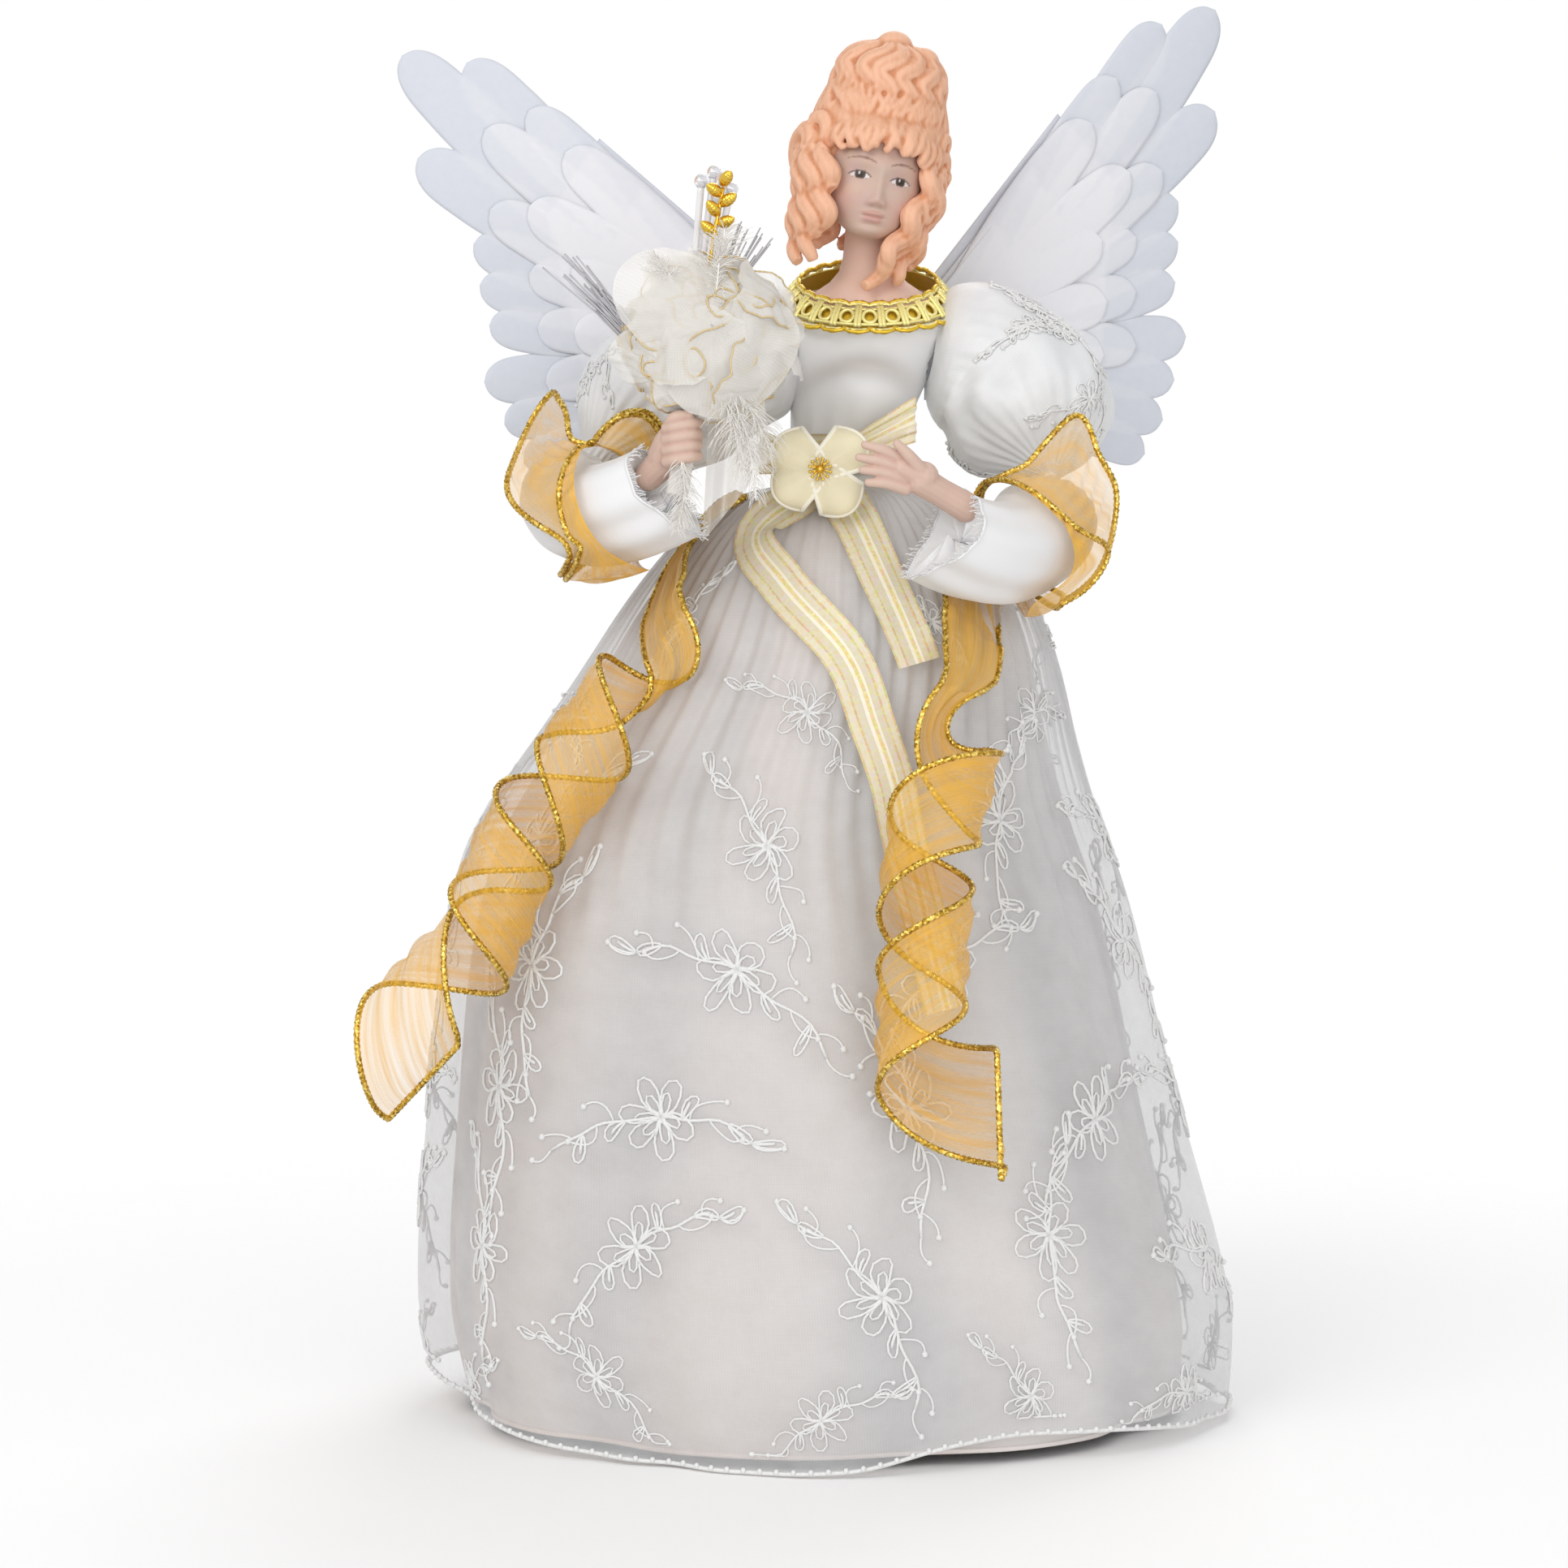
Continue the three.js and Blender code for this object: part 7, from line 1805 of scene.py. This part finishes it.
def arrange_bouquet():
    """Set the billows, plume, berries, sprig and fibre ends in the holder."""
    gather_billows("ruffle_back", "bouquet_ruffle_back", BACK_BILLOWS)
    gather_billows("ruffle_front", "bouquet_ruffle_front", FRONT_BILLOWS, True)

    plume = Piece()
    for i, (root, tip, barb, count, droop) in enumerate(PLUMES):
        fluff(plume, root, tip, barb, count, droop, FIRST_PLUME_SEED + i)
    plume.publish("marabou", "right_arm", "feather_sheet", ["marabou"], ["marabou_plume"])

    stems = Piece()
    root = HOLDER_TOP + (-1.3, 0.4, 3.8)
    tips = root + np.array([(1.6, -0.6, 42), (5, 1.6, 44.5), (7.6, -0.6, 42.5), (9.6, 1.6, 40),
                            (6, -0.6, 37.5)])
    for i, tip in enumerate(tips):
        foot = root + (0.9 * i - 1.8, 0.5 * (i % 2), 0)
        stems.tube(smooth_path([foot, (root + tip) / 2 + (0.5 * i - 1, 0, 0), tip], 8), STEM_RADIUS, 10)
    stems.publish("milky_stems", "right_arm", "clear_berry", ["stem"], ["berry_pick"])
    berries = round_beads(tips, BERRY_RADIUS, "clear_berries")
    berries.data.materials.append(FINISH["berry"])
    hand_over(berries, "right_arm")

    sprig = Piece()
    root = HOLDER_TOP + (1.3, -1.4, 0.8)
    top = root + (5, -6, 47)
    sprig.tube(smooth_path([root, (root + top) / 2 + (-1, -1.5, 0), top - (0, 0, 4)], 10), 0.55, 7)
    for i in range(6):
        spot = root + (top - root) * (0.64 + 0.058 * i)
        side = np.array([(1 if i % 2 else -1) * (1.1 - 0.1 * i), -0.45 - 0.3 * (i % 3), 0.7 + uneven(0.4, i)])
        for k in range(7):
            share = k / 6
            radius = 1.6 * math.sin(math.pi * (0.2 + 0.72 * share)) + 0.15
            sprig.ball(spot + unit(side) * (0.8 + 4.6 * share), radius, 12)
    sprig.publish("gold_buds", "right_arm", "gold_bead", ["gold_bud"], ["gold_berry_sprig"])

    chance = random.Random(FIBRE_SEED)
    outer, inner = Piece(), Piece()
    for i in range(OUTER_FIBRES):
        k = chance.uniform(0, 6)
        root = TUFT_ROOT + (-4.6 + chance.uniform(-1.4, 1.4), chance.uniform(-1.2, 1.2),
                            chance.uniform(-1, 1))
        reach = chance.uniform(0.62, 1.0) if i % 9 else 1.08
        tip = root + np.array([-33 + 1.8 * k, 2 - k, 31 + 1.6 * k - 0.25 * k * k]) * reach
        middle = (root + tip) / 2 + (chance.uniform(-0.8, 0.8), 0, chance.uniform(0, 1.5))
        outer.tube(smooth_path([root, middle, tip], 3), OUTER_FIBRE_RADIUS, 5)
    outer.publish("fibre_ends_outer", "right_arm", "fibre", ["fibre"], ["fibre_tuft_outer"])
    for _ in range(INNER_FIBRES):
        k = chance.uniform(0, 5)
        root = HOLDER_TOP + (1.1 + chance.uniform(-0.8, 0.8), 1.7 + chance.uniform(-0.6, 0.6), 2)
        tip = root + np.array([9 + 2.2 * k, 3, 34 - 0.9 * k]) * chance.uniform(0.78, 1.0)
        inner.tube(smooth_path([root, (root + tip) / 2 + (-0.6, 0, 1), tip], 3), INNER_FIBRE_RADIUS, 5)
    inner.publish("fibre_ends_inner", "right_arm", "fibre", ["fibre"], ["fibre_tuft_inner"])


# Wings: a feather has its tip out and up from the wing's pin, its bearing, length and width

FEATHERS = {
    "back": [(87, 95.5, 55, 90, 18), (105.4, 100.5, 53, 99, 19), (105.4, 70.5, 40, 88, 19),
             (93, 43.5, 28, 70, 16), (93, 31.5, 22, 68, 15), (92, 19.5, 15, 66, 15), (96, 3.5, 5, 68, 16),
             (92, -9.5, -5, 66, 15), (88, -21.5, -13, 64, 15), (82, -31.5, -20, 60, 14)],
    "middle": [(71, 79, 53, 78, 16), (84.5, 75.5, 48, 81, 17), (86.5, 52.5, 37, 70, 16),
               (78, 32.5, 24, 60, 15), (78, 16.5, 12, 58, 15), (78, 0.5, 0, 58, 15)],
    "front": [(62, 65.5, 49, 74, 17), (75, 51.5, 38, 73, 17), (65.5, 31.5, 26, 59, 16),
              (67.5, 13.5, 12, 57, 16), (66.5, -2.5, -3, 55, 16)],
}
PALMS = {
    "back": [(8, -16), (65, -14), (70, 48), (52, 68), (8, 17)],
    "middle": [(7, -10), (48, -8), (53, 35), (42, 52), (7, 12)],
    "front": [(6, -8), (38, -8), (40, 22), (30, 36), (6, 9)],
}
LAYER_FRONT = {"back": 1.3, "middle": 2.4, "front": 3.5}
# Each wing: hand, pin across, sweep and tilt in degrees
WINGS = {"right": (-1, -4.1, 5, -8.5), "left": (1, 20.9, 26, 0)}
WING_PIN_Y, WING_PIN_HEIGHT = 22.8, 305
SHEET_THICKNESS = 0.5

feather_half_at = through([(0, 0.4), (0.2, 0.64), (0.45, 0.88), (0.7, 0.95), (0.82, 0.9), (0.9, 0.82),
                           (0.95, 0.66), (0.98, 0.44), (0.993, 0.25), (1, 0.03)])


def sheets_at(out, up):
    """How many feathers and palms lie over one another at points of a wing."""
    count = np.zeros(np.shape(out))
    for layer, feathers in FEATHERS.items():
        for tip_out, tip_up, bearing, length, width in feathers:
            c, s = compass(bearing)
            run = (out - tip_out) * c + (up - tip_up) * s + length
            side = (up - tip_up) * c - (out - tip_out) * s
            half = width / 2 * feather_half_at(np.clip(run / length, 0, 1))
            count += soft_step(np.abs(side) - half, 0.9) * soft_step(-run) * soft_step(run - length, 0.9)
        corners = np.array(PALMS[layer], float)
        inside = np.ones(np.shape(out))
        for here, after in zip(corners, np.roll(corners, -1, axis=0)):
            edge = (after - here) / np.linalg.norm(after - here)
            inside = inside * soft_step((out - here[0]) * edge[1] - (up - here[1]) * edge[0], 1.5)
        count += inside
    return count


def wing_points(side, out, up, forward):
    """Points of a wing's own plane, set on its pin."""
    hand, across, sweep, tilt = WINGS[side]
    pose = rotation(hand * sweep, "Z") @ rotation(-hand * tilt, "Y")
    flat = place(hand * out, -forward, up)
    return flat @ np.array(pose).T + (across, WING_PIN_Y, WING_PIN_HEIGHT)


def sheet_painted_shade(out, up):
    """Painted shade for light through frosted sheets: one layer alone is greyest, and each one behind it
    makes it paler.
    """
    return np.clip(1.18 - 0.24 * sheets_at(out, up), 0, 1)


def cut_wing(side, layer):
    """One die-cut sheet of feathers: gently cupped blades joined by a palm."""
    hand = WINGS[side][0]
    sheet = Piece()
    v = np.concatenate([np.linspace(-1, 1, 15), np.linspace(1, -1, 15)])[None]
    back_face = np.repeat([0.0, 1.0], 15)[None]
    u = (1 - (1 - np.linspace(0, 1, 64)) ** 1.6)[:, None]
    for i, (tip_out, tip_up, bearing, length, width) in enumerate(FEATHERS[layer]):
        c, s = compass(bearing)
        run = length * u + 0 * v
        across = width / 2 * feather_half_at(u) * v
        out = tip_out + (run - length) * c - across * s
        up = tip_up + (run - length) * s + across * c
        blade = SHEET_THICKNESS * (back_face - 1) * np.sqrt(np.clip(1.02 - v ** 2, 0, 1))
        forward = LAYER_FRONT[layer] + 0.12 * (i % 3) + 0.35 * (1 - v ** 2) * u - blade
        # Painted shade from the sheets' layers, and a painted highlight along each blade's edge
        tone = sheet_painted_shade(out, up) - 0.12 * (np.abs(v) > 0.92)
        sheet.grid(wing_points(side, out, up, forward)[:, ::hand], True, None, 0, tone[:, ::hand])
    corners = np.array(PALMS[layer], float)
    middle = corners.mean(axis=0)
    rings = np.linspace(0.02, 1, 26)[:, None, None]
    sides = zip(corners, np.roll(corners, -1, axis=0))
    edge = np.concatenate([np.linspace(here, after, 12, endpoint=False) for here, after in sides])
    flat = middle + (edge - middle)[None] * rings
    both = np.concatenate([flat, flat[::-1]])
    depth = np.concatenate([np.full(flat.shape[:2], LAYER_FRONT[layer] + lift) for lift in (0.45, 0.1)])
    out, up = both[..., 0], both[..., 1]
    sheet.grid(wing_points(side, out, up, depth)[:, ::-hand], True, None, 0, sheet_painted_shade(out, up)[:, ::-hand])
    sheet.publish(f"{side}_feathers_{layer}", f"{side}_wing", "feather_sheet", ["feather"],
                  [f"{side}_wing_feathers_{layer}"])


# Every finish, and which nodes of the construction take theirs

def mix_finishes(colours):
    """Mix every finish once; pieces take them from here by name."""
    FINISH.update({
        "lining": lining_finish(colours),
        "organza": organza_finish("white_organza", colours.organza, 0.4),
        "puff": organza_finish("white_puff_organza", colours.puff, 0.86),
        "stitching": stitch_finish(colours),
        "satin": satin_finish(colours),
        "gold_organza": gold_organza_finish(colours),
        "gold_cord": gold_cord_finish(colours),
        # Satin drawn tight: painted shade in its hollows, and its own white on its crests
        "bodice": toned_finish("draped_satin", colours.satin, colours.satin_fold_shade,
                               {"Roughness": 0.4, "Sheen Weight": 0.25}, 60.0),
        "ribbon": ivory_ribbon_finish(colours, SASH_WIDTH),
        "petal": organza_finish("ivory_petal_organza", colours.petal, 0.8),
        # Satin edge: a soft bright line round each petal
        "petal_edge": toned_finish("ivory_satin_edge", colours.petal_edge, colours.petal,
                                   {"Roughness": 0.4, "Sheen Weight": 0.4}, 700.0),
        # Metallised yarn: a pale strand that glints softly, and a deep one that glints harder
        "braid_pale": toned_finish("pale_metallised_yarn", colours.braid_pale, colours.braid,
                                   {"Roughness": 0.38, "Metallic": 0.45}, 1400.0, 0.3),
        "braid_deep": toned_finish("deep_metallised_yarn", colours.braid, colours.braid_deep,
                                   {"Roughness": 0.35, "Metallic": 0.7}, 1400.0, 0.3),
        "yellow_bead": plated_finish("yellow_gold_bead", colours.yellow_bead, 0.3),
        "bisque": bisque_finish(),
        "ruffle": organza_finish("ivory_organza", colours.ruffle, 0.5),
        # Metallised cord too thin to glint: a dull gold line
        "thin_cord": toned_finish("thin_gold_cord", colours.thin_cord, colours.braid_deep,
                                  {"Roughness": 0.5, "Metallic": 0.3}, 1200.0),
        # Marabou: dead matt down
        "marabou": toned_finish("marabou_down", colours.marabou, colours.marabou, {"Roughness": 0.9}, 900.0),
        # Moulded acrylic: a milky stem and a clear berry with a sharp light
        "stem": acrylic_finish("milky_stem", colours.stem, 0.08),
        "berry": acrylic_finish("clear_berry", colours.berry, 0.9),
        # Plated bud: nearly a mirror
        "gold_bud": plated_finish("gold_bud", colours.gold_bud, 0.14),
        # Drawn fibre: glossy and hardly clear
        "fibre": acrylic_finish("optical_fibre", colours.fibre, 0.1),
        # Frosted sheet: matt, with painted shade where it lies single and painted light where sheets overlap
        "feather": toned_finish("frosted_feather_sheet", colours.feather, colours.feather_single_shade,
                                {"Roughness": 0.75}, 400.0),
        # Porcelain skin: matt, with painted shade between the fingers
        "hand": toned_finish("bisque_hand", colours.hand, colours.hand_shade, {"Roughness": 0.62}, 300.0),
        "hair": hair_finish(colours),
    })


# What stays in view: name, light and dark shade, grain in millimetres, settings, relief and nodes
CORE = [
    # Board: dull, with faint flecks
    ("grey_board", "#CDBB9E", "#B9A585", 1.2, {"Roughness": 0.9}, 0.35, ["cone_core"]),
    # Foam: dull white, with the grain of its beads
    ("bead_foam", "#F3F1EC", "#E4E0D8", 2.5, {"Roughness": 0.95}, 0.6, ["torso_block"]),
    # Beech: warm pale wood with a close grain
    ("turned_beech", "#CFAC80", "#B98F5F", 0.8, {"Roughness": 0.65}, 0.2, ["neck_dowel"]),
    # Steel: grey metal with a soft shine
    ("drawn_steel_wire", "#A7A7AA", "#8E8E92", 0.6, {"Metallic": 1.0, "Roughness": 0.35}, 0.15,
     ["right_arm_wire", "left_arm_wire", "right_wing_wire", "left_wing_wire", "contact_plate_top",
      "contact_plate_bottom"]),
    # Polystyrene: off-white with a half gloss
    ("moulded_polystyrene", "#ECEAE5", "#E2DFD9", 0.7, {"Roughness": 0.45}, 0.12,
     ["wing_bracket", "lamp_housing", "fibre_ferrule", "battery_box", "battery_door", "bouquet_holder"]),
    # ABS: near black with a half gloss
    ("black_abs", "#26272A", "#1D1E20", 0.5, {"Roughness": 0.5}, 0.15, ["switch_slider"]),
    # Printed sleeve: dark grey with a low metal shine
    ("printed_cell_sleeve", "#575A61", "#43464C", 3.0, {"Roughness": 0.3, "Metallic": 0.3}, 0.05,
     ["battery_cell_1", "battery_cell_2", "battery_cell_3"]),
    # PVC: off-white and smooth
    ("pvc_lead_jacket", "#F1EFEB", "#E3E0DA", 0.8, {"Roughness": 0.5}, 0.1, ["lamp_lead"]),
]
# Clear ones: name, shade, how much light goes through and nodes
CLEAR_CORE = [("acrylic_fibre_bundle", "#C4C5CB", 0.35, ["fibre_trunk", "arm_fibre_bundle"]),
              ("epoxy_lamp", "#F3F5F5", 0.7, ["led_lamp"])]


def give(finish, nodes):
    """Put a finish on nodes of the construction."""
    for node in nodes:
        mesh = frame["nodes"][node].data
        mesh.materials.clear()
        mesh.materials.append(finish)


def finish_core():
    """Give each node that stays its real material."""
    for name, light, dark, grain, settings, relief, nodes in CORE:
        give(speckled_finish(name, linear(light), linear(dark), grain, settings, relief), nodes)
    for name, shade, clear, nodes in CLEAR_CORE:
        give(acrylic_finish(name, linear(shade), clear), nodes)


# Stage

CAMERA_PLACE = (-12, -1296.83, 269.57)
CAMERA_PITCH = 86
CAMERA_LENS = 104.07
# Lamps aim at the angel's middle, and the floor is a hair below the hem, in metres
LAMP_TARGET = (0, 0, 0.2)
FLOOR_RADIUS, FLOOR_LEVEL = 1.6, -0.0004


def set_stage(stage):
    """Camera at the photograph's view, soft lamps, a white surround and a pale floor."""
    scene = bpy.context.scene
    lens = bpy.data.cameras.new("front_camera")
    lens.lens = CAMERA_LENS
    camera = bpy.data.objects.new("front_camera", lens)
    camera.location = [c * MM for c in CAMERA_PLACE]
    camera.rotation_euler = (math.radians(CAMERA_PITCH), 0, 0)
    scene.collection.objects.link(camera)
    scene.camera = camera

    for name, spot, size, power in [
        ("key", (-0.75, -1.15, 1.0), 0.9, stage.key_power),
        ("fill", (0.45, -1.35, 0.3), 1.0, stage.fill_power),
        ("back", (0.25, 0.9, 1.05), 0.8, stage.back_power),
    ]:
        lamp = bpy.data.lights.new(f"{name}_softbox", "AREA")
        lamp.size = size
        lamp.energy = power
        softbox = bpy.data.objects.new(f"{name}_softbox", lamp)
        softbox.location = spot
        softbox.rotation_euler = aim_at(spot, LAMP_TARGET)
        scene.collection.objects.link(softbox)

    world = bpy.data.worlds.new("white_surround")
    scene.world = world
    world.use_nodes = True
    tree = world.node_tree
    path = add_node(tree, "ShaderNodeLightPath")
    seen = add_node(tree, "ShaderNodeMath", {"operation": "MAXIMUM"},
                    {0: path.outputs["Is Camera Ray"], 1: path.outputs["Is Glossy Ray"]})
    shown = add_node(tree, "ShaderNodeMath", {"operation": "MAXIMUM"},
                     {0: seen.outputs[0], 1: path.outputs["Is Transmission Ray"]})
    strength = add_node(tree, "ShaderNodeMapRange", {"To Min": stage.surround, "To Max": 1.0},
                        {"Value": shown.outputs[0]})
    background = tree.nodes["Background"]
    background.inputs["Color"].default_value = (1, 1, 1, 1)
    tree.links.new(strength.outputs["Result"], background.inputs["Strength"])

    deselect()
    bpy.ops.mesh.primitive_circle_add(vertices=96, radius=FLOOR_RADIUS, fill_type="NGON",
                                      location=(0, 0, FLOOR_LEVEL))
    floor = bpy.context.active_object
    floor.name = "pale_floor"
    floor.data.materials.append(floor_finish(stage))


def aim_at(spot, target):
    """Rotation that turns a lamp at a spot towards a target."""
    return (Vector(target) - Vector(spot)).to_track_quat("-Z", "Y").to_euler()


def floor_finish(stage):
    """Matt white card that keeps the shadow near the angel and fades into the white surround."""
    finish, tree, shader = new_finish("white_card", {
        "Base Color": opaque(stage.floor), "Roughness": 0.9, "Specular IOR Level": 0.1})
    where = add_node(tree, "ShaderNodeTexCoord")
    distance = add_node(tree, "ShaderNodeVectorMath", {"operation": "LENGTH"}, {0: where.outputs["Object"]})
    fade = add_node(tree, "ShaderNodeMapRange",
                    {"From Min": 0.16, "From Max": 0.55, "To Min": 1.0, "To Max": 0.0,
                     "interpolation_type": "SMOOTHSTEP"},
                    {"Value": distance.outputs["Value"]})
    tree.links.new(fade.outputs["Result"], shader.inputs["Alpha"])
    return finish


def deselect():
    """Leave nothing selected, so that an operator acts on the new piece alone."""
    for item in bpy.context.scene.objects:
        item.select_set(False)
    bpy.context.view_layer.objects.active = None


# Settings

def colour(name, description, hex_colour):
    """Colour property with an sRGB hex default."""
    return FloatVectorProperty(name=name, description=description, subtype="COLOR", size=3, min=0, max=1,
                               default=linear(hex_colour))


def power(name, default):
    """Power property of one softbox."""
    return FloatProperty(name=name, description=f"Power of the {name.lower()} softbox", default=default,
                         min=0,
                         unit="POWER")


class AngelColours(bpy.types.PropertyGroup):
    """Colours of the cloth, paint and metal."""
    lining: colour("Lining", "White lining of the skirt", "#E9E9EA")
    lining_warm: colour("Lining, warm", "Warm cast of the lining", "#DFC9BC")
    # Painted shade in the hollows of the lining's folds
    lining_fold: colour("Lining, folds", "Hollows of the lining's folds", "#B9B6B5")
    organza: colour("Organza", "Sheer cloth over the skirt", "#E2E2E3")
    puff: colour("Puff organza", "Sheer cloth of the puff sleeves", "#E8E9EA")
    stitching: colour("Stitching", "Embroidery thread", "#E2E2E1")
    satin: colour("Satin", "Bodice and cuffs", "#E8E8E9")
    # Painted shade where the bodice satin lies hollow
    satin_fold_shade: colour("Satin, folds", "Bodice satin where it lies hollow", "#BCB5B0")
    gold_organza: colour("Gold organza", "Gold ribbon lying single", "#F0BE3A")
    gold_organza_deep: colour("Gold organza, deep", "Gold ribbon where it is gathered", "#E2A41C")
    cord: colour("Gold cord", "Corded edge of the gold ribbon", "#C79B32")
    # Painted glints of the cord, dark and bright
    cord_painted_dark: colour("Gold cord, dark", "Dark glints of the cord", "#8A6A14")
    cord_painted_glint: colour("Gold cord, bright", "Bright glints of the cord", "#F3D878")
    ribbon: colour("Ribbon", "Sheer ivory ribbon", "#F8EBC4")
    ribbon_satin: colour("Ribbon, satin", "Satin stripe of the ribbon", "#FDF5D8")
    ribbon_edge: colour("Ribbon, stripe", "Gold stripes of the ribbon", "#D9C384")
    ribbon_glint: colour("Ribbon, middle", "Metallic middle stripe", "#E4CE87")
    petal: colour("Flower", "Loops of the ribbon flower", "#FFF5D2")
    petal_edge: colour("Flower edge", "Satin edge of the flower's loops", "#FFFAE8")
    braid: colour("Braid", "Gold thread of the collar", "#D9B637")
    braid_pale: colour("Braid, pale", "Pale thread of the collar", "#EFE49A")
    braid_deep: colour("Braid, deep", "Scalloped edge of the collar", "#B88718")
    yellow_bead: colour("Bead", "Beads of the flower", "#E8C65A")
    ruffle: colour("Ruffle", "Ivory organza of the bouquet", "#F1EEE8")
    thin_cord: colour("Thin cord", "Cord on the ruffles", "#D3BC8C")
    marabou: colour("Marabou", "White down", "#F6F3EE")
    stem: colour("Stem", "Milky stems", "#F4F3F6")
    berry: colour("Berry", "Clear berries", "#F8F8FA")
    gold_bud: colour("Gold bud", "Plated buds", "#D9B44A")
    fibre: colour("Fibre", "Ends of the optical fibre", "#C4C2C6")
    # Painted shade of the feather sheets: paler where they overlap, greyer where one lies alone
    feather: colour("Feather", "Where feather sheets overlap", "#E7E7EB")
    feather_single_shade: colour("Feather, single", "One feather sheet alone", "#CFD3DC")
    skin: colour("Skin", "Painted face and neck", "#C9AD9F")
    skin_shade: colour("Skin, shade", "Shadow round the eyes", "#B99B93")
    blush: colour("Blush", "Cheeks", "#D3A7A0")
    lips: colour("Lips", "Painted lips", "#C98F88")
    lip_line: colour("Lip line", "Line between the lips", "#A8675F")
    eye_white: colour("Eye", "White of the eye", "#E4DCD8")
    iris: colour("Iris", "Brown iris", "#4A362C")
    pupil: colour("Pupil", "Pupil and lashes", "#1B1412")
    brow: colour("Brow", "Brows", "#7E5C4B")
    hand: colour("Hand", "Painted hands", "#D2B5A5")
    # Painted shade in the hollows of the hands
    hand_shade: colour("Hand, shade", "Hollows of the hands", "#C39E90")
    # Painted highlight on the crests of the hair and painted shade in its hollows
    hair: colour("Hair", "Crests of the hair", "#EBB797")
    hair_shade: colour("Hair, shade", "Hollows of the hair", "#CC8A61")


class AngelSkirt(bpy.types.PropertyGroup):
    """Fineness of the skirt."""
    columns: IntProperty(name="Columns", description="Columns of organza round the skirt", default=384,
                         min=96)


class AngelStage(bpy.types.PropertyGroup):
    """Light and floor."""
    key_power: power("Key", 9)
    fill_power: power("Fill", 6)
    back_power: power("Back", 5)
    surround: FloatProperty(name="Surround", description="Light from all round", default=0.6, min=0)
    floor: colour("Floor", "Pale floor", "#FFFFFF")


# Operators

class ANGEL_OT_finishes(bpy.types.Operator):
    """Mix the finishes and give the construction its own"""
    bl_idname = "angel.finishes"
    bl_label = "Finishes"

    def execute(self, context):
        mix_finishes(context.scene.angel_colours)
        finish_core()
        return {"FINISHED"}


class ANGEL_OT_skirt(bpy.types.Operator):
    """Hang the lining and the embroidered organza"""
    bl_idname = "angel.skirt"
    bl_label = "Skirt"

    def execute(self, context):
        hang_lining(context.scene.angel_skirt)
        hang_overlay(context.scene.angel_skirt)
        return {"FINISHED"}


class ANGEL_OT_gold_tails(bpy.types.Operator):
    """Hang the two curled gold ribbons"""
    bl_idname = "angel.gold_tails"
    bl_label = "Gold tails"

    def execute(self, context):
        for name, tail in TAILS.items():
            hang_gold_tail(name, tail)
        return {"FINISHED"}


class ANGEL_OT_sleeves(bpy.types.Operator):
    """Sew the puffs and cuffs and wind the gold wraps"""
    bl_idname = "angel.sleeves"
    bl_label = "Sleeves"

    def execute(self, context):
        for name, arm in ARMS.items():
            sew_puff(name, arm)
            sew_cuff(name, arm)
            wind_wrap(name, arm)
        return {"FINISHED"}


class ANGEL_OT_bodice(bpy.types.Operator):
    """Cut the satin bodice and weave the gold collar"""
    bl_idname = "angel.bodice"
    bl_label = "Bodice and collar"

    def execute(self, context):
        cut_bodice()
        weave_collar()
        return {"FINISHED"}


class ANGEL_OT_sash(bpy.types.Operator):
    """Tie the sash and its bow and fold the ribbon flower"""
    bl_idname = "angel.sash"
    bl_label = "Sash and flower"

    def execute(self, context):
        tie_sash()
        fold_flower()
        return {"FINISHED"}


class ANGEL_OT_head(bpy.types.Operator):
    """Model and paint the head, dress the hair and shape the hands"""
    bl_idname = "angel.head"
    bl_label = "Head, hair and hands"

    def execute(self, context):
        model_head(context.scene.angel_colours)
        dress_hair()
        shape_hands()
        return {"FINISHED"}


class ANGEL_OT_bouquet(bpy.types.Operator):
    """Arrange the bouquet in the right hand"""
    bl_idname = "angel.bouquet"
    bl_label = "Bouquet"

    def execute(self, context):
        arrange_bouquet()
        return {"FINISHED"}


class ANGEL_OT_wings(bpy.types.Operator):
    """Cut the three feather sheets of each wing"""
    bl_idname = "angel.wings"
    bl_label = "Wings"

    def execute(self, context):
        for side in WINGS:
            for layer in FEATHERS:
                cut_wing(side, layer)
        return {"FINISHED"}


class ANGEL_OT_stage(bpy.types.Operator):
    """Set the camera, lamps, surround and floor"""
    bl_idname = "angel.stage"
    bl_label = "Stage"

    def execute(self, context):
        set_stage(context.scene.angel_stage)
        return {"FINISHED"}


OPERATORS = (ANGEL_OT_stage, ANGEL_OT_finishes, ANGEL_OT_skirt, ANGEL_OT_gold_tails, ANGEL_OT_sleeves,
             ANGEL_OT_bodice, ANGEL_OT_sash, ANGEL_OT_head, ANGEL_OT_bouquet, ANGEL_OT_wings)
SETTINGS = {"angel_colours": AngelColours, "angel_skirt": AngelSkirt, "angel_stage": AngelStage}


class ANGEL_PT_panel(bpy.types.Panel):
    """Sidebar panel with the settings and the pieces in the order they are made"""
    bl_idname = "ANGEL_PT_panel"
    bl_label = "Angel tree topper"
    bl_space_type = "VIEW_3D"
    bl_region_type = "UI"
    bl_category = "Angel"

    def draw(self, context):
        for name, group in SETTINGS.items():
            settings = getattr(context.scene, name)
            for prop in group.__annotations__:
                self.layout.prop(settings, prop)
        for operator in OPERATORS:
            self.layout.operator(operator.bl_idname)


CLASSES = (*SETTINGS.values(), *OPERATORS, ANGEL_PT_panel)


def register():
    for cls in CLASSES:
        bpy.utils.register_class(cls)
    for name, group in SETTINGS.items():
        setattr(bpy.types.Scene, name, PointerProperty(type=group))


def unregister():
    for name in SETTINGS:
        delattr(bpy.types.Scene, name)
    for cls in reversed(CLASSES):
        bpy.utils.unregister_class(cls)


def main():
    register()
    deselect()
    bpy.context.scene.view_settings.view_transform = "Standard"
    for operator in OPERATORS:
        group, name = operator.bl_idname.split(".")
        getattr(getattr(bpy.ops, group), name)()


if __name__ == "__main__":
    main()
